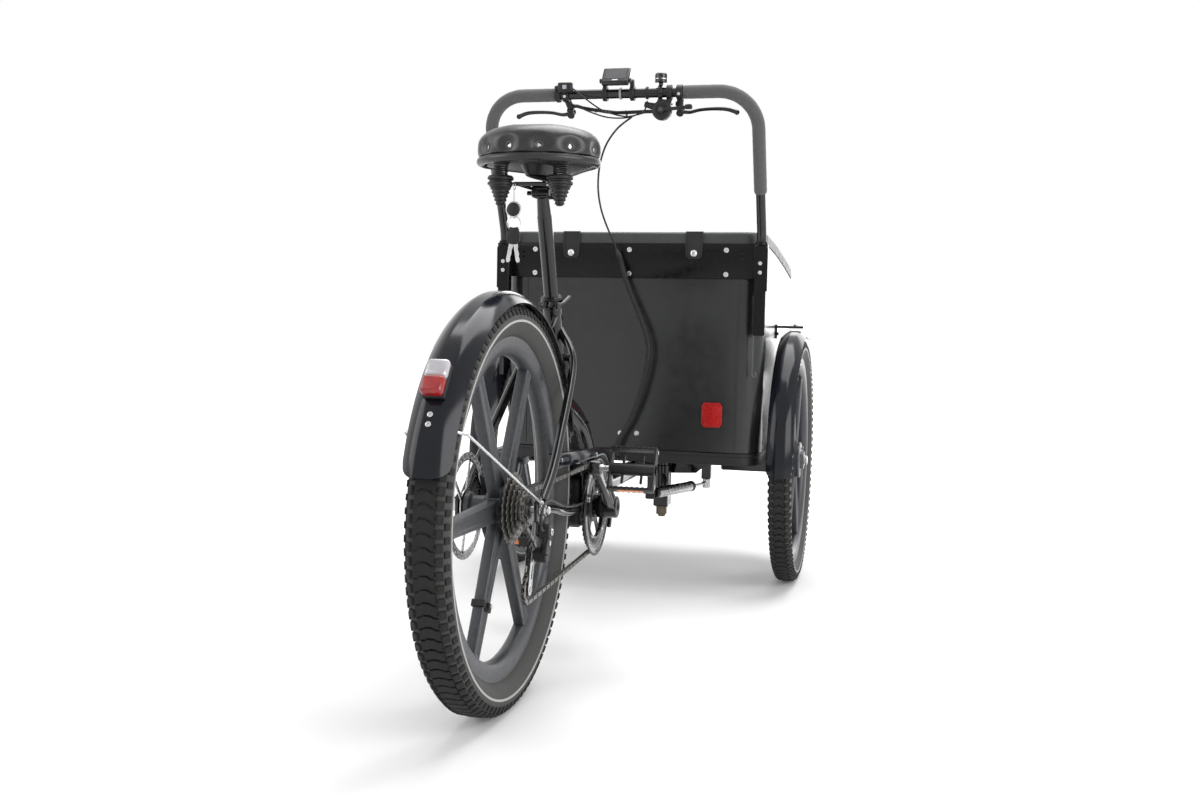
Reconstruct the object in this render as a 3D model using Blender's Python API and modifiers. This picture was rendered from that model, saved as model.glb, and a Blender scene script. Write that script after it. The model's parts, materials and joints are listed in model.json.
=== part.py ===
# Electric cargo tricycle: one driven rear wheel, two steered front wheels beside a cargo box.
# X points to the rider's right, Y forward, Z up. Lengths are metres, measured from the rear
# wheel's contact point; the last lines move the origin to the middle of the length.

import bpy
import bmesh
from math import acos, atan2, cos, degrees, hypot, pi, radians, sin
from mathutils import Matrix, Vector

# Clearance between faces that rest on each other, and of a pin in its bore
GAP = 0.0003
PIN_GAP = 0.0004

# Wheels
REAR_TYRE_RADIUS = 0.340
REAR_TYRE_WIDTH = 0.067
REAR_BEAD_RADIUS = 0.281
REAR_RIM_HOLE_RADIUS = 0.252
FRONT_TYRE_RADIUS = 0.307
FRONT_TYRE_WIDTH = 0.052
FRONT_BEAD_RADIUS = 0.255
FRONT_RIM_HOLE_RADIUS = 0.229
WHEELBASE = 1.25
FRONT_TRACK = 0.724
RIM_WIDTH = 0.033
TYRE_WALL = 0.004
SPOKE_COUNT = 6
SPOKE_HUB_WIDTH = 0.036
SPOKE_RIM_WIDTH = 0.025
SPOKE_THICKNESS = 0.020
DRUM_HUB_RADIUS = 0.045
HUB_REACH = (0.0265, 0.0300)
REAR_HUB_RADIUS = 0.026
REAR_AXLE_RADIUS = 0.006
STUB_AXLE_RADIUS = 0.008
ROTOR_RADIUS = 0.090
ROTOR_THICKNESS = 0.0018
ROTOR_X = -0.0588
WHEEL_STEPS = 24

# Rear frame
CRANK_Y = 0.435
CRANK_Z = 0.285
SEAT_ANGLE = radians(70.0)
SEAT_TUBE_RADIUS = 0.0158
SEAT_TUBE_LENGTH = 0.437
SEATPOST_RADIUS = 0.0136
SEATPOST_TOP = 0.625
SEATPOST_INSERT = 0.17
SADDLE_DROP = 0.030
MAIN_TUBE_RADIUS = 0.0215
CHAINSTAY_RADIUS = 0.0075
SEATSTAY_RADIUS = 0.008
DROPOUT_X = 0.0685
DROPOUT_THICKNESS = 0.006
MOTOR_HALF_WIDTH = 0.042
MOTOR_TOP = 0.352
HEAD_Y = 1.39
HEAD_RADIUS = 0.0197
HEAD_BOTTOM = 0.180
HEAD_TOP = 0.3155
MAIN_TUBE_Z = 0.2930
KINGPIN_RADIUS = 0.010
KINGPIN_BOTTOM = 0.121

# Drive
CHAINRING_TEETH = 42
SPROCKET_TEETH = 15
JOCKEY_TEETH = 11
CHAIN_PITCH = 0.0127
CHAIN_X = 0.0495
CHAIN_WIDTH = 0.0066
CHAIN_HEIGHT = 0.0070
CHAIN_FACET = radians(18.0)
CASSETTE_INNER_X = 0.0215
CASSETTE_OUTER_X = 0.0560
CASSETTE_BIG_RADIUS = 0.066
CRANK_LENGTH = 0.170
CRANK_ANGLE = radians(146.6)
CRANK_ARM_X = 0.094
CRANK_ARM_THICKNESS = 0.012
CRANK_HUB_X = 0.0478
CRANK_HUB_RADIUS = 0.022
SPINDLE_RADIUS = 0.012
GUARD_RING_RADIUS = 0.098
PEDAL_X = 0.160
PEDAL_WIDTH = 0.088
PEDAL_LENGTH = 0.084
PEDAL_HEIGHT = 0.020
PEDAL_AXLE_RADIUS = 0.005
PEDAL_TILT_RIGHT = radians(65.0)
PEDAL_TILT_LEFT = radians(10.0)
JOCKEY_UPPER = (0.018, 0.262)
JOCKEY_LOWER = (0.002, 0.2055)
JOCKEY_BORE = 0.003

# Mudguards
GUARD_THICKNESS = 0.002
REAR_GUARD_RADIUS = 0.359
REAR_GUARD_HALF_WIDTH = 0.0380
REAR_GUARD_ANGLES = (radians(14.0), radians(165.5))
FRONT_GUARD_RADIUS = 0.328
FRONT_GUARD_HALF_WIDTH = 0.0305
FRONT_GUARD_ANGLES = (radians(72.0), radians(182.0))
STAY_RADIUS = 0.0025
LIGHT_ANGLE = radians(143.0)
LIGHT_SIZE = (0.042, 0.025, 0.054)

# Saddle
SADDLE_LENGTH = 0.266
SADDLE_REAR_Y = 0.094
SADDLE_WIDTH = 0.239
SADDLE_NOSE_WIDTH = 0.075
SADDLE_RIM_Z = 0.926
SADDLE_BULGE = 0.023
SADDLE_CROWN = 0.050
TUFT_COUNT = 5
PAN_DROP = 0.030
RAIL_RADIUS = 0.0035
RAIL_X = 0.0220
RAIL_Z = 0.889
SPRING_X = 0.054
SPRING_Y = 0.142
SPRING_COIL_RADIUS = 0.0125
SPRING_WIRE_RADIUS = 0.0014
SPRING_CURLS = 4
CONE_TOP = 0.9035
CONE_WIDE_RADIUS = 0.0232
CONE_RIBS = 4

# Cargo box
BOX_HALF_WIDTH = 0.313
BOX_REAR_Y = 0.955
BOX_LENGTH = 0.665
BOX_CORNER = 0.055
BOX_WALL = 0.004
BOX_BOTTOM = 0.346
BOX_TOP_REAR = 0.845
BOX_TOP_FRONT = 0.780
FLOOR_BOTTOM = 0.317
FLOOR_THICKNESS = 0.016
FLOOR_SKIRT = 0.014
FLOOR_GLAND = 0.0035
COVER_HEIGHT = 0.018
BAND_BOTTOM = 0.753
BAND_TOP = 0.833
BAND_THICKNESS = 0.005
SOCKET_SIZE = 0.027
SOCKET_BOTTOM = 0.623
BATTERY_SIZE = (0.360, 0.090, 0.110)
RAIL_BEAM_X = 0.200
BEAM_SIZE = 0.030
END_PLATE_THICKNESS = 0.008

# Push bar and controls
BAR_HALF_WIDTH = 0.308
BAR_RADIUS = 0.0111
BAR_BOTTOM = 0.660
BAR_KNEE_Z = 0.853
BAR_TOP_Y = 0.795
BAR_TOP_Z = 1.155
BAR_CORNER = 0.085
GRIP_RADIUS = 0.0148
GRIP_INNER_X = 0.1455
GRIP_LOW_Z = 0.945
CLAMP_RADIUS = 0.0165
CLAMP_WIDTH = 0.014
REMOTE_X = -0.139
LEVER_CLAMP_X = 0.121
LEVER_CLAMP_RIGHT_X = 0.1375
SHIFTER_X = 0.1145
BELL_X = 0.0945
DISPLAY_SIZE = (0.050, 0.013, 0.040)
DISPLAY_TILT = radians(50.0)
DISPLAY_ARM_X = 0.030
LEVER_LENGTH = 0.127
LEVER_RADIUS = 0.0045

# Steering damper: its pivots relative to the head, to the right and forward
DAMPER_FIXED = (0.0135, -0.225)
DAMPER_MOVING = (0.115, 0.04)
DAMPER_Z = 0.212
DAMPER_RADIUS = 0.0125
DAMPER_TUBE_END = 0.205
DAMPER_ROD_RADIUS = 0.0045
DAMPER_ROD_LENGTH = 0.150
DAMPER_EYE_RADIUS = 0.0125

# Cords
BUNDLE_RADIUS = 0.0045
THIN_CABLE_RADIUS = 0.0022
HARNESS_RADIUS = 0.0070

# A shape drawn flat in X and Y, or turned about Z, stands in the wheel's plane after this turn
SIDEWAYS = Matrix(((0.0, 0.0, 1.0), (1.0, 0.0, 0.0), (0.0, 1.0, 0.0)))

for item in list(bpy.data.objects):
    bpy.data.objects.remove(item, do_unlink=True)
parts = bpy.data.collections.new("cargo_tricycle")
cutters = bpy.data.collections.new("cutters")
bpy.context.scene.collection.children.link(parts)
bpy.context.scene.collection.children.link(cutters)


# Finishes

def finish(name, colour, roughness, metallic=0.0):
    look = bpy.data.materials.new(name)
    look.use_nodes = True
    shader = look.node_tree.nodes["Principled BSDF"]
    shader.inputs["Base Color"].default_value = (*colour, 1.0)
    shader.inputs["Roughness"].default_value = roughness
    shader.inputs["Metallic"].default_value = metallic
    look.diffuse_color = (*colour, 1.0)
    return look


blackPaint = finish("gloss_black_paint", (0.012, 0.012, 0.014), 0.25)
greyAlloy = finish("cast_grey_alloy", (0.05, 0.05, 0.055), 0.45, 0.4)
blackPlastic = finish("black_plastic", (0.02, 0.02, 0.022), 0.5)
rubber = finish("tyre_rubber", (0.035, 0.034, 0.031), 0.85)
foam = finish("grip_foam", (0.045, 0.045, 0.05), 0.95)
vinyl = finish("black_vinyl", (0.02, 0.02, 0.022), 0.45)
bluePlastic = finish("blue_black_mudguard", (0.016, 0.018, 0.028), 0.2)
steel = finish("bright_steel", (0.6, 0.6, 0.6), 0.3, 1.0)
panelBlack = finish("matt_panel", (0.035, 0.037, 0.037), 0.55)
redLens = finish("red_lens", (0.5, 0.01, 0.015), 0.15)
screenGrey = finish("display_grey", (0.12, 0.13, 0.15), 0.3)


# Placing and shaping

def keep(name, data, collection=None):
    item = bpy.data.objects.new(name, data)
    (collection or parts).objects.link(item)
    return item


def place(item, look, parent):
    item.data.materials.clear()
    item.data.materials.append(look)
    if item.type == "MESH":
        item.data.shade_smooth()
        item.data.set_sharp_from_angle(angle=radians(35.0))
    item.parent = parent
    item.matrix_parent_inverse = Matrix.Translation(-Vector(parent["spot"]))
    return item


def axisAt(name, spot, parent=None):
    empty = keep(name, None)
    empty["spot"] = Vector(spot)
    empty.empty_display_size = 0.03
    if parent:
        empty.parent = parent
        empty.location = Vector(spot) - Vector(parent["spot"])
    return empty


def bevelled(item, width, segments=2):
    rounding = item.modifiers.new("rounding", "BEVEL")
    rounding.width = width
    rounding.segments = segments
    rounding.limit_method = "ANGLE"
    return item


def block(name, size, at, turn=(0.0, 0.0, 0.0), rounding=0.0, segments=1):
    shape = bmesh.new()
    bmesh.ops.create_cube(shape, size=1.0, matrix=Matrix.Diagonal((*size, 1.0)))
    data = bpy.data.meshes.new(name)
    shape.to_mesh(data)
    shape.free()
    item = keep(name, data)
    item.location = at
    item.rotation_euler = turn
    if rounding:
        bevelled(item, rounding, segments)
    return item


def rod(name, radius, start, end, sides=16, endRadius=None):
    run = Vector(end) - Vector(start)
    shape = bmesh.new()
    bmesh.ops.create_cone(shape, cap_ends=True, segments=sides, radius1=radius,
                          radius2=radius if endRadius is None else endRadius, depth=run.length)
    data = bpy.data.meshes.new(name)
    shape.to_mesh(data)
    shape.free()
    item = keep(name, data)
    item.location = (Vector(start) + Vector(end)) / 2.0
    item.rotation_euler = run.to_track_quat("Z", "Y").to_euler()
    return item


def ball(name, radius, at, sides=12):
    shape = bmesh.new()
    bmesh.ops.create_uvsphere(shape, u_segments=sides, v_segments=sides // 2, radius=radius)
    data = bpy.data.meshes.new(name)
    shape.to_mesh(data)
    shape.free()
    item = keep(name, data)
    item.location = at
    return item


def tube(name, points, radius, resolution=2, thickness=None, cyclic=False):
    data = bpy.data.curves.new(name, "CURVE")
    data.dimensions = "3D"
    data.bevel_depth = radius
    data.bevel_resolution = resolution
    data.use_fill_caps = True
    data.render_resolution_u = 0
    spline = data.splines.new("POLY")
    spline.points.add(len(points) - 1)
    for index, spot in enumerate(points):
        spline.points[index].co = (*spot, 1.0)
        spline.points[index].radius = thickness[index] if thickness else 1.0
    spline.use_cyclic_u = cyclic
    return keep(name, data)


def plate(name, outline, thickness, at=(0.0, 0.0, 0.0), turn=SIDEWAYS, holes=()):
    data = bpy.data.curves.new(name, "CURVE")
    data.dimensions = "2D"
    data.fill_mode = "BOTH"
    data.extrude = thickness / 2.0
    data.render_resolution_u = 0
    for loop in (outline, *holes):
        spline = data.splines.new("POLY")
        spline.points.add(len(loop) - 1)
        for index, (across, along) in enumerate(loop):
            spline.points[index].co = (across, along, 0.0, 1.0)
        spline.use_cyclic_u = True
    item = keep(name, data)
    item.location = at
    item.rotation_euler = turn.to_euler()
    return item


def turned(name, profile, at, steps=WHEEL_STEPS, closed=False, turn=SIDEWAYS, angle=2.0 * pi):
    data = bpy.data.meshes.new(name)
    count = len(profile)
    edges = [(index, index + 1) for index in range(count - 1)]
    if closed:
        edges.append((count - 1, 0))
    data.from_pydata([(radius, 0.0, height) for radius, height in profile], edges, [])
    item = keep(name, data)
    item.location = at
    item.rotation_euler = turn.to_euler()
    lathe = item.modifiers.new("turning", "SCREW")
    lathe.angle = angle
    lathe.steps = steps
    lathe.render_steps = steps
    lathe.use_merge_vertices = True
    lathe.merge_threshold = 0.00001
    return item


def asMesh(item):
    bpy.context.view_layer.update()
    seen = item.evaluated_get(bpy.context.evaluated_depsgraph_get())
    data = bpy.data.meshes.new_from_object(seen)
    data.transform(item.matrix_world)
    shape = bmesh.new()
    shape.from_mesh(data)
    bmesh.ops.remove_doubles(shape, verts=shape.verts, dist=0.000002)
    bmesh.ops.recalc_face_normals(shape, faces=shape.faces)
    shape.to_mesh(data)
    shape.free()
    bpy.data.objects.remove(item, do_unlink=True)
    return data


def gathered(name, items):
    shape = bmesh.new()
    for item in items:
        data = asMesh(item)
        shape.from_mesh(data)
        bpy.data.meshes.remove(data)
    joined = bpy.data.meshes.new(name)
    shape.to_mesh(joined)
    shape.free()
    return joined


def cutterFrom(name, items):
    tool = keep(name, gathered(name, items), cutters)
    tool.parent = trike
    tool.hide_render = True
    tool.display_type = "WIRE"
    return tool


def boolean(item, operation, items):
    step = item.modifiers.new(operation.lower(), "BOOLEAN")
    step.operation = operation
    step.object = cutterFrom(item.name + "_" + operation.lower(), items)
    step.use_self = True
    return item


def welded(name, items, cuts=()):
    body = keep(name, gathered(name, items[:-1]))
    boolean(body, "UNION", items[-1:])
    if cuts:
        boolean(body, "DIFFERENCE", list(cuts))
    return body


def drilled(name, item, cuts):
    body = keep(name, gathered(name, [item]))
    boolean(body, "DIFFERENCE", list(cuts))
    return body


# Routes and outlines

def smoothRoute(knots, steps):
    spots = [Vector(knot) for knot in knots]
    spots = [2 * spots[0] - spots[1]] + spots + [2 * spots[-1] - spots[-2]]
    route = []
    for index in range(1, len(spots) - 2):
        before, start, end, after = spots[index - 1:index + 3]
        for step in range(steps):
            t = step / steps
            route.append(0.5 * (2 * start + (end - before) * t
                                + (2 * before - 5 * start + 4 * end - after) * t * t
                                + (3 * start - before - 3 * end + after) * t ** 3))
    return route + [spots[-2]]


def filletedRoute(corners, radius, steps):
    spots = [Vector(corner) for corner in corners]
    route = [spots[0]]
    for before, corner, after in zip(spots, spots[1:], spots[2:]):
        back = (before - corner).normalized()
        ahead = (after - corner).normalized()
        half = back.angle(ahead) / 2.0
        bisector = (back + ahead).normalized()
        centre = corner + bisector * (radius / sin(half))
        sweep = pi - 2.0 * half
        normal = -bisector
        along = (ahead - bisector * ahead.dot(bisector)).normalized()
        for step in range(steps + 1):
            turn = sweep * (step / steps - 0.5)
            route.append(centre + radius * (cos(turn) * normal + sin(turn) * along))
    return route + [spots[-1]]


def circle(radius, centre=(0.0, 0.0), count=WHEEL_STEPS, start=0.0):
    return [(centre[0] + radius * cos(start + 2 * pi * index / count),
             centre[1] + radius * sin(start + 2 * pi * index / count)) for index in range(count)]


def tangentPoints(first, second):
    # Outer or crossed tangent between two circles; each is centre, radius and sense of travel
    (centreA, radiusA, senseA), (centreB, radiusB, senseB) = first, second
    gap = Vector(centreB) - Vector(centreA)
    heading = atan2(gap.y, gap.x)
    lean = acos((radiusA * senseA - radiusB * senseB) / gap.length)
    direction = heading - lean
    normal = Vector((cos(direction), sin(direction)))
    return Vector(centreA) + normal * radiusA * senseA, Vector(centreB) + normal * radiusB * senseB


def beltRoute(wheels):
    # Points of a closed belt that runs round the wheels in order
    tangents = [tangentPoints(wheels[index], wheels[(index + 1) % len(wheels)])
                for index in range(len(wheels))]
    route = []
    for index, (centre, radius, sense) in enumerate(wheels):
        arrive = tangents[index - 1][1] - Vector(centre)
        leave = tangents[index][0] - Vector(centre)
        start = atan2(arrive.y, arrive.x)
        sweep = (atan2(leave.y, leave.x) - start) * sense % (2 * pi)
        count = max(2, int(sweep / CHAIN_FACET) + 1)
        for step in range(count + 1):
            angle = start + sense * sweep * step / count
            route.append(Vector(centre) + radius * Vector((cos(angle), sin(angle))))
    return route


def offsetLoop(route, distance):
    shifted = []
    for index, spot in enumerate(route):
        run = (route[(index + 1) % len(route)] - route[index - 1]).normalized()
        shifted.append(spot + Vector((run.y, -run.x)) * distance)
    return shifted


# Joint axes

rearAxle = Vector((0.0, 0.0, REAR_TYRE_RADIUS))
crankAxis = Vector((0.0, CRANK_Y, CRANK_Z))
seatUp = Vector((0.0, -cos(SEAT_ANGLE), sin(SEAT_ANGLE)))
seatBack = Vector((0.0, -sin(SEAT_ANGLE), -cos(SEAT_ANGLE)))
seatTop = crankAxis + seatUp * SEAT_TUBE_LENGTH
crankReach = Vector((0.0, cos(CRANK_ANGLE), sin(CRANK_ANGLE))) * CRANK_LENGTH
pedalSpots = {"right": crankAxis + crankReach + Vector((PEDAL_X, 0.0, 0.0)),
              "left": crankAxis - crankReach - Vector((PEDAL_X, 0.0, 0.0))}
headAxis = Vector((0.0, HEAD_Y, 0.0))
damperFixed = headAxis + Vector((*DAMPER_FIXED, DAMPER_Z))
damperMoving = headAxis + Vector((*DAMPER_MOVING, DAMPER_Z))
damperRun = (damperMoving - damperFixed).normalized()
pitchRadius = {teeth: teeth * CHAIN_PITCH / (2.0 * pi)
               for teeth in (CHAINRING_TEETH, SPROCKET_TEETH, JOCKEY_TEETH)}

trike = axisAt("tricycle_origin", (0.0, 0.0, 0.0))
rearWheelAxis = axisAt("rear_wheel_axis", rearAxle, trike)
cassetteAxis = axisAt("cassette_axis", rearAxle, trike)
crankCentre = axisAt("crank_axis", crankAxis, trike)
steerAxis = axisAt("steering_axis", headAxis, trike)
seatAxis = axisAt("seatpost_axis", seatTop, trike)


# Rear frame

def seatSpot(distance):
    return crankAxis + seatUp * distance


def frameTubes():
    low = MAIN_TUBE_Z
    mainRoute = smoothRoute([(0.0, 0.3590, 0.494), (0.0, 0.420, 0.475), (0.0, 0.482, 0.446), (0.0, 0.527, 0.409),
                             (0.0, 0.560, 0.369), (0.0, 0.597, 0.334), (0.0, 0.650, 0.308),
                             (0.0, 0.725, low + 0.002), (0.0, 0.860, low)], 2)
    mainRoute.append(Vector((0.0, HEAD_Y - 0.012, low)))
    items = [tube("main_tube", mainRoute, MAIN_TUBE_RADIUS, 2)]
    items.append(rod("seat_tube", SEAT_TUBE_RADIUS, seatSpot(0.082), seatTop, 16))
    webTop = 0.450
    webBottom = MOTOR_TOP + GAP + 0.002
    items.append(block("bracket_web", (0.014, 0.105, webTop - webBottom),
                       (0.0, CRANK_Y + 0.004, (webTop + webBottom) / 2.0)))
    items.append(rod("steering_head", HEAD_RADIUS, (0.0, HEAD_Y, HEAD_BOTTOM), (0.0, HEAD_Y, HEAD_TOP), 16))
    items.append(block("motor_bracket", (0.088, 0.130, 0.008),
                       (0.0, CRANK_Y - 0.005, MOTOR_TOP + GAP + 0.004)))
    for side in (-1.0, 1.0):
        items.append(block("cheek", (0.004, 0.033, 0.082),
                           (side * (MOTOR_HALF_WIDTH + 0.0025), CRANK_Y - 0.053, MOTOR_TOP - 0.0350)))
        stayX = DROPOUT_X + 0.0005
        chainstay = [(0.0385, CRANK_Y - 0.058, 0.291), (0.0385, 0.352, 0.292), (0.0465, 0.312, 0.295),
                     (0.0570, 0.230, 0.303), (0.0670, 0.130, 0.319), (stayX, 0.080, 0.330),
                     (stayX, 0.024, 0.338)]
        seatstay = [(0.0100, 0.310, 0.634), (0.0400, 0.284, 0.595), (0.0525, 0.250, 0.553),
                    (0.0630, 0.150, 0.462), (stayX, 0.078, 0.398), (stayX, 0.016, 0.352)]
        items.append(tube("chainstay", [(side * x, y, z) for x, y, z in chainstay], CHAINSTAY_RADIUS, 1))
        items.append(tube("seatstay", [(side * x, y, z) for x, y, z in seatstay], SEATSTAY_RADIUS, 1))
        items.append(block("dropout", (DROPOUT_THICKNESS, 0.048, 0.044),
                           (side * DROPOUT_X, 0.004, REAR_TYRE_RADIUS)))
    hangerHeight = 0.030
    items.append(block("hanger", (DROPOUT_THICKNESS - 0.001, 0.022, hangerHeight),
                       (DROPOUT_X, 0.0, REAR_TYRE_RADIUS - 0.020 - hangerHeight / 2.0 + 0.004)))
    bridgeAngle = atan2(0.584 - REAR_TYRE_RADIUS, 0.2756)
    bridgeReach = REAR_GUARD_RADIUS + GAP + 0.007
    bridge = rearAxle + Vector((0.0, cos(bridgeAngle), sin(bridgeAngle))) * bridgeReach
    items.append(rod("stay_bridge", 0.007, bridge - Vector((0.042, 0.0, 0.0)), bridge + Vector((0.042, 0.0, 0.0)), 8))
    items.append(block("seat_gusset", (0.006, 0.050, 0.060), (0.0, 0.300, 0.630), (radians(20.0), 0.0, 0.0)))
    tabBottom = DAMPER_Z + DAMPER_EYE_RADIUS + GAP
    items.append(block("damper_tab", (0.012, 0.024, MAIN_TUBE_Z - tabBottom),
                       (damperFixed.x, damperFixed.y, (MAIN_TUBE_Z + tabBottom) / 2.0)))
    items.append(rod("head_collar", HEAD_RADIUS + 0.0030, (0.0, HEAD_Y, 0.240), (0.0, HEAD_Y, 0.262), 16))
    return items


def rearFrame():
    bore = SEATPOST_RADIUS + PIN_GAP
    cuts = [rod("post_bore", bore, seatTop + seatUp * 0.01, seatTop - seatUp * (SEATPOST_INSERT + SADDLE_DROP + 0.010), 16),
            rod("kingpin_bore", KINGPIN_RADIUS + PIN_GAP, (0.0, HEAD_Y, HEAD_BOTTOM - 0.01),
                (0.0, HEAD_Y, HEAD_TOP + 0.01), 16),
            rod("axle_bore", REAR_AXLE_RADIUS + PIN_GAP, rearAxle - Vector((0.09, 0.0, 0.0)),
                rearAxle + Vector((0.09, 0.0, 0.0)), 12)]
    place(welded("frame", frameTubes(), cuts), blackPaint, trike)


def seatClamp():
    collarRadius = SEAT_TUBE_RADIUS + 0.0042
    low = seatTop - seatUp * 0.018
    high = seatTop - seatUp * 0.001
    ears = seatTop - seatUp * 0.0095 + seatBack * (collarRadius + 0.003)
    items = [rod("collar", collarRadius, low, high, 16),
             block("clamp_ears", (0.022, 0.012, 0.013), ears, (SEAT_ANGLE - pi / 2.0, 0.0, 0.0), 0.001)]
    cuts = [rod("collar_bore", SEAT_TUBE_RADIUS + GAP, low - seatUp * 0.01, high + seatUp * 0.01, 16)]
    place(welded("seat_clamp", items, cuts), steel, trike)
    pivot = ears + Vector((0.0165, 0.0, 0.0)) + seatBack * 0.001
    leverAxis = axisAt("seat_lever_axis", pivot, trike)
    side = Vector((1.0, 0.0, 0.0))
    arm = [pivot, pivot + side * 0.0085 - seatBack * 0.012, pivot + side * 0.0095 - seatBack * 0.046]
    lever = welded("seat_lever", [rod("lever_boss", 0.0050, pivot - seatUp * 0.0065, pivot + seatUp * 0.0065, 12),
                                  tube("lever_arm", arm, 0.0032, 1)])
    place(lever, steel, leverAxis)


def rearMotor():
    items = [block("motor_case", (2 * MOTOR_HALF_WIDTH, 0.128, 0.104),
                   (0.0, CRANK_Y + 0.010, MOTOR_TOP - 0.052), (0.0, 0.0, 0.0), 0.014),
             rod("motor_boss", 0.030, crankAxis - Vector((CRANK_HUB_X - 0.0008, 0.0, 0.0)),
                 crankAxis + Vector((CRANK_HUB_X - 0.0008, 0.0, 0.0)), 16)]
    cuts = [rod("spindle_bore", SPINDLE_RADIUS + PIN_GAP, crankAxis - Vector((0.06, 0.0, 0.0)),
                crankAxis + Vector((0.06, 0.0, 0.0)), 16)]
    place(welded("motor", items, cuts), blackPlastic, trike)


def rearAxleRod():
    reach = DROPOUT_X + DROPOUT_THICKNESS / 2.0 + GAP
    side = Vector((1.0, 0.0, 0.0))
    items = [rod("axle", REAR_AXLE_RADIUS, rearAxle - side * 0.088, rearAxle + side * 0.088, 12)]
    items.append(rod("nut_left", 0.0095, rearAxle - side * (reach + 0.009), rearAxle - side * reach, 6))
    items.append(rod("nut_right", 0.0095, rearAxle + side * reach, rearAxle + side * (reach + 0.009), 6))
    place(welded("rear_axle", items), steel, trike)


def guardProfile(radius, halfWidth, drop):
    shares = (-1.0, -0.70, -0.25, 0.25, 0.70, 1.0)
    return [(radius - drop * (abs(share) / 0.75 - 1.0 / 3.0) ** 1.7, -share * halfWidth) for share in shares]


def mudguardShell(name, centre, radius, halfWidth, angles, drop, steps):
    start, end = angles
    turn = Matrix.Rotation(start, 3, "X") @ SIDEWAYS
    shell = turned(name, guardProfile(radius, halfWidth, drop), centre, steps, False, turn, end - start)
    skin = shell.modifiers.new("wall", "SOLIDIFY")
    skin.thickness = GUARD_THICKNESS
    skin.offset = -1.0
    return shell


REAR_GUARD_DROP = 0.019


def rearMudguard():
    shell = mudguardShell("rear_mudguard", rearAxle, REAR_GUARD_RADIUS, REAR_GUARD_HALF_WIDTH,
                          REAR_GUARD_ANGLES, REAR_GUARD_DROP, 15)
    place(shell, bluePlastic, trike)
    lift = LIGHT_SIZE[1] / 2.0 + REAR_GUARD_RADIUS + GAP
    spot = rearAxle + Vector((0.0, cos(LIGHT_ANGLE), sin(LIGHT_ANGLE))) * lift
    lamp = block("tail_light", LIGHT_SIZE, spot, (LIGHT_ANGLE, 0.0, 0.0), 0.006)
    place(lamp, redLens, trike)


def guardStay():
    angle = radians(153.0)
    outward = Vector((0.0, cos(angle), sin(angle)))
    foot = Vector((DROPOUT_X + DROPOUT_THICKNESS / 2.0 + GAP + STAY_RADIUS, -0.008, REAR_TYRE_RADIUS + 0.0125))
    clear = foot + Vector((0.0, -0.015, 0.006))
    # The wire follows the guard's inside, a facet's depth below it
    inset = GUARD_THICKNESS + GAP + STAY_RADIUS + 0.0012
    corners = guardProfile(REAR_GUARD_RADIUS, REAR_GUARD_HALF_WIDTH, REAR_GUARD_DROP)[-1:2:-1]
    outline = [Vector((-x, reach)) for reach, x in corners]
    outline = [Vector((abs(spot.x), spot.y)) for spot in outline]
    run = (outline[0] - outline[1]).normalized()
    lift = Vector((-run.y, run.x))
    edge = outline[0] - lift * inset
    middle = (outline[1] - outline[2]).normalized()
    bisector = (lift + Vector((-middle.y, middle.x))).normalized()
    knee = outline[1] - bisector * (inset / bisector.dot(lift))
    bisector = (Vector((-middle.y, middle.x)) + Vector((0.0, 1.0))).normalized()
    crown = outline[2] - bisector * (inset / bisector.y)
    out = edge + run * 0.0080
    arch = [tuple(out + Vector((0.0085, -0.0030))), tuple(out), tuple(edge), tuple(knee), tuple(crown)]
    right = [foot, clear] + [rearAxle + outward * reach + Vector((x, 0.0, 0.0)) for x, reach in arch]
    left = [Vector((-spot.x, spot.y, spot.z)) for spot in reversed(right)]
    place(tube("mudguard_stay", right + left, STAY_RADIUS, 1), steel, trike)


def brakeCaliper():
    body = block("caliper_case", (0.042, 0.044, 0.040), (-0.0650, 0.0890, 0.3625), (0.0, 0.0, 0.0), 0.004)
    slot = block("rotor_slot", (0.0042, 0.060, 0.060), (ROTOR_X, 0.0790, 0.3625))
    place(drilled("brake_caliper", body, [slot]), blackPlastic, trike)


# Drive

def chainFloor(teeth):
    # Radius of a sprocket's body just under the chain's facets
    return (pitchRadius[teeth] - CHAIN_HEIGHT / 2.0) * cos(CHAIN_FACET / 2.0) - GAP


def chainWheels():
    return [((CRANK_Y, CRANK_Z), pitchRadius[CHAINRING_TEETH], 1.0),
            ((0.0, REAR_TYRE_RADIUS), pitchRadius[SPROCKET_TEETH], 1.0),
            (JOCKEY_UPPER, pitchRadius[JOCKEY_TEETH], -1.0),
            (JOCKEY_LOWER, pitchRadius[JOCKEY_TEETH], 1.0)]


def chain():
    route = beltRoute(chainWheels())
    half = CHAIN_HEIGHT / 2.0
    band = plate("chain", offsetLoop(route, half), CHAIN_WIDTH, (CHAIN_X, 0.0, 0.0), SIDEWAYS,
                 [offsetLoop(route, -half)])
    place(band, steel, trike)


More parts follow.
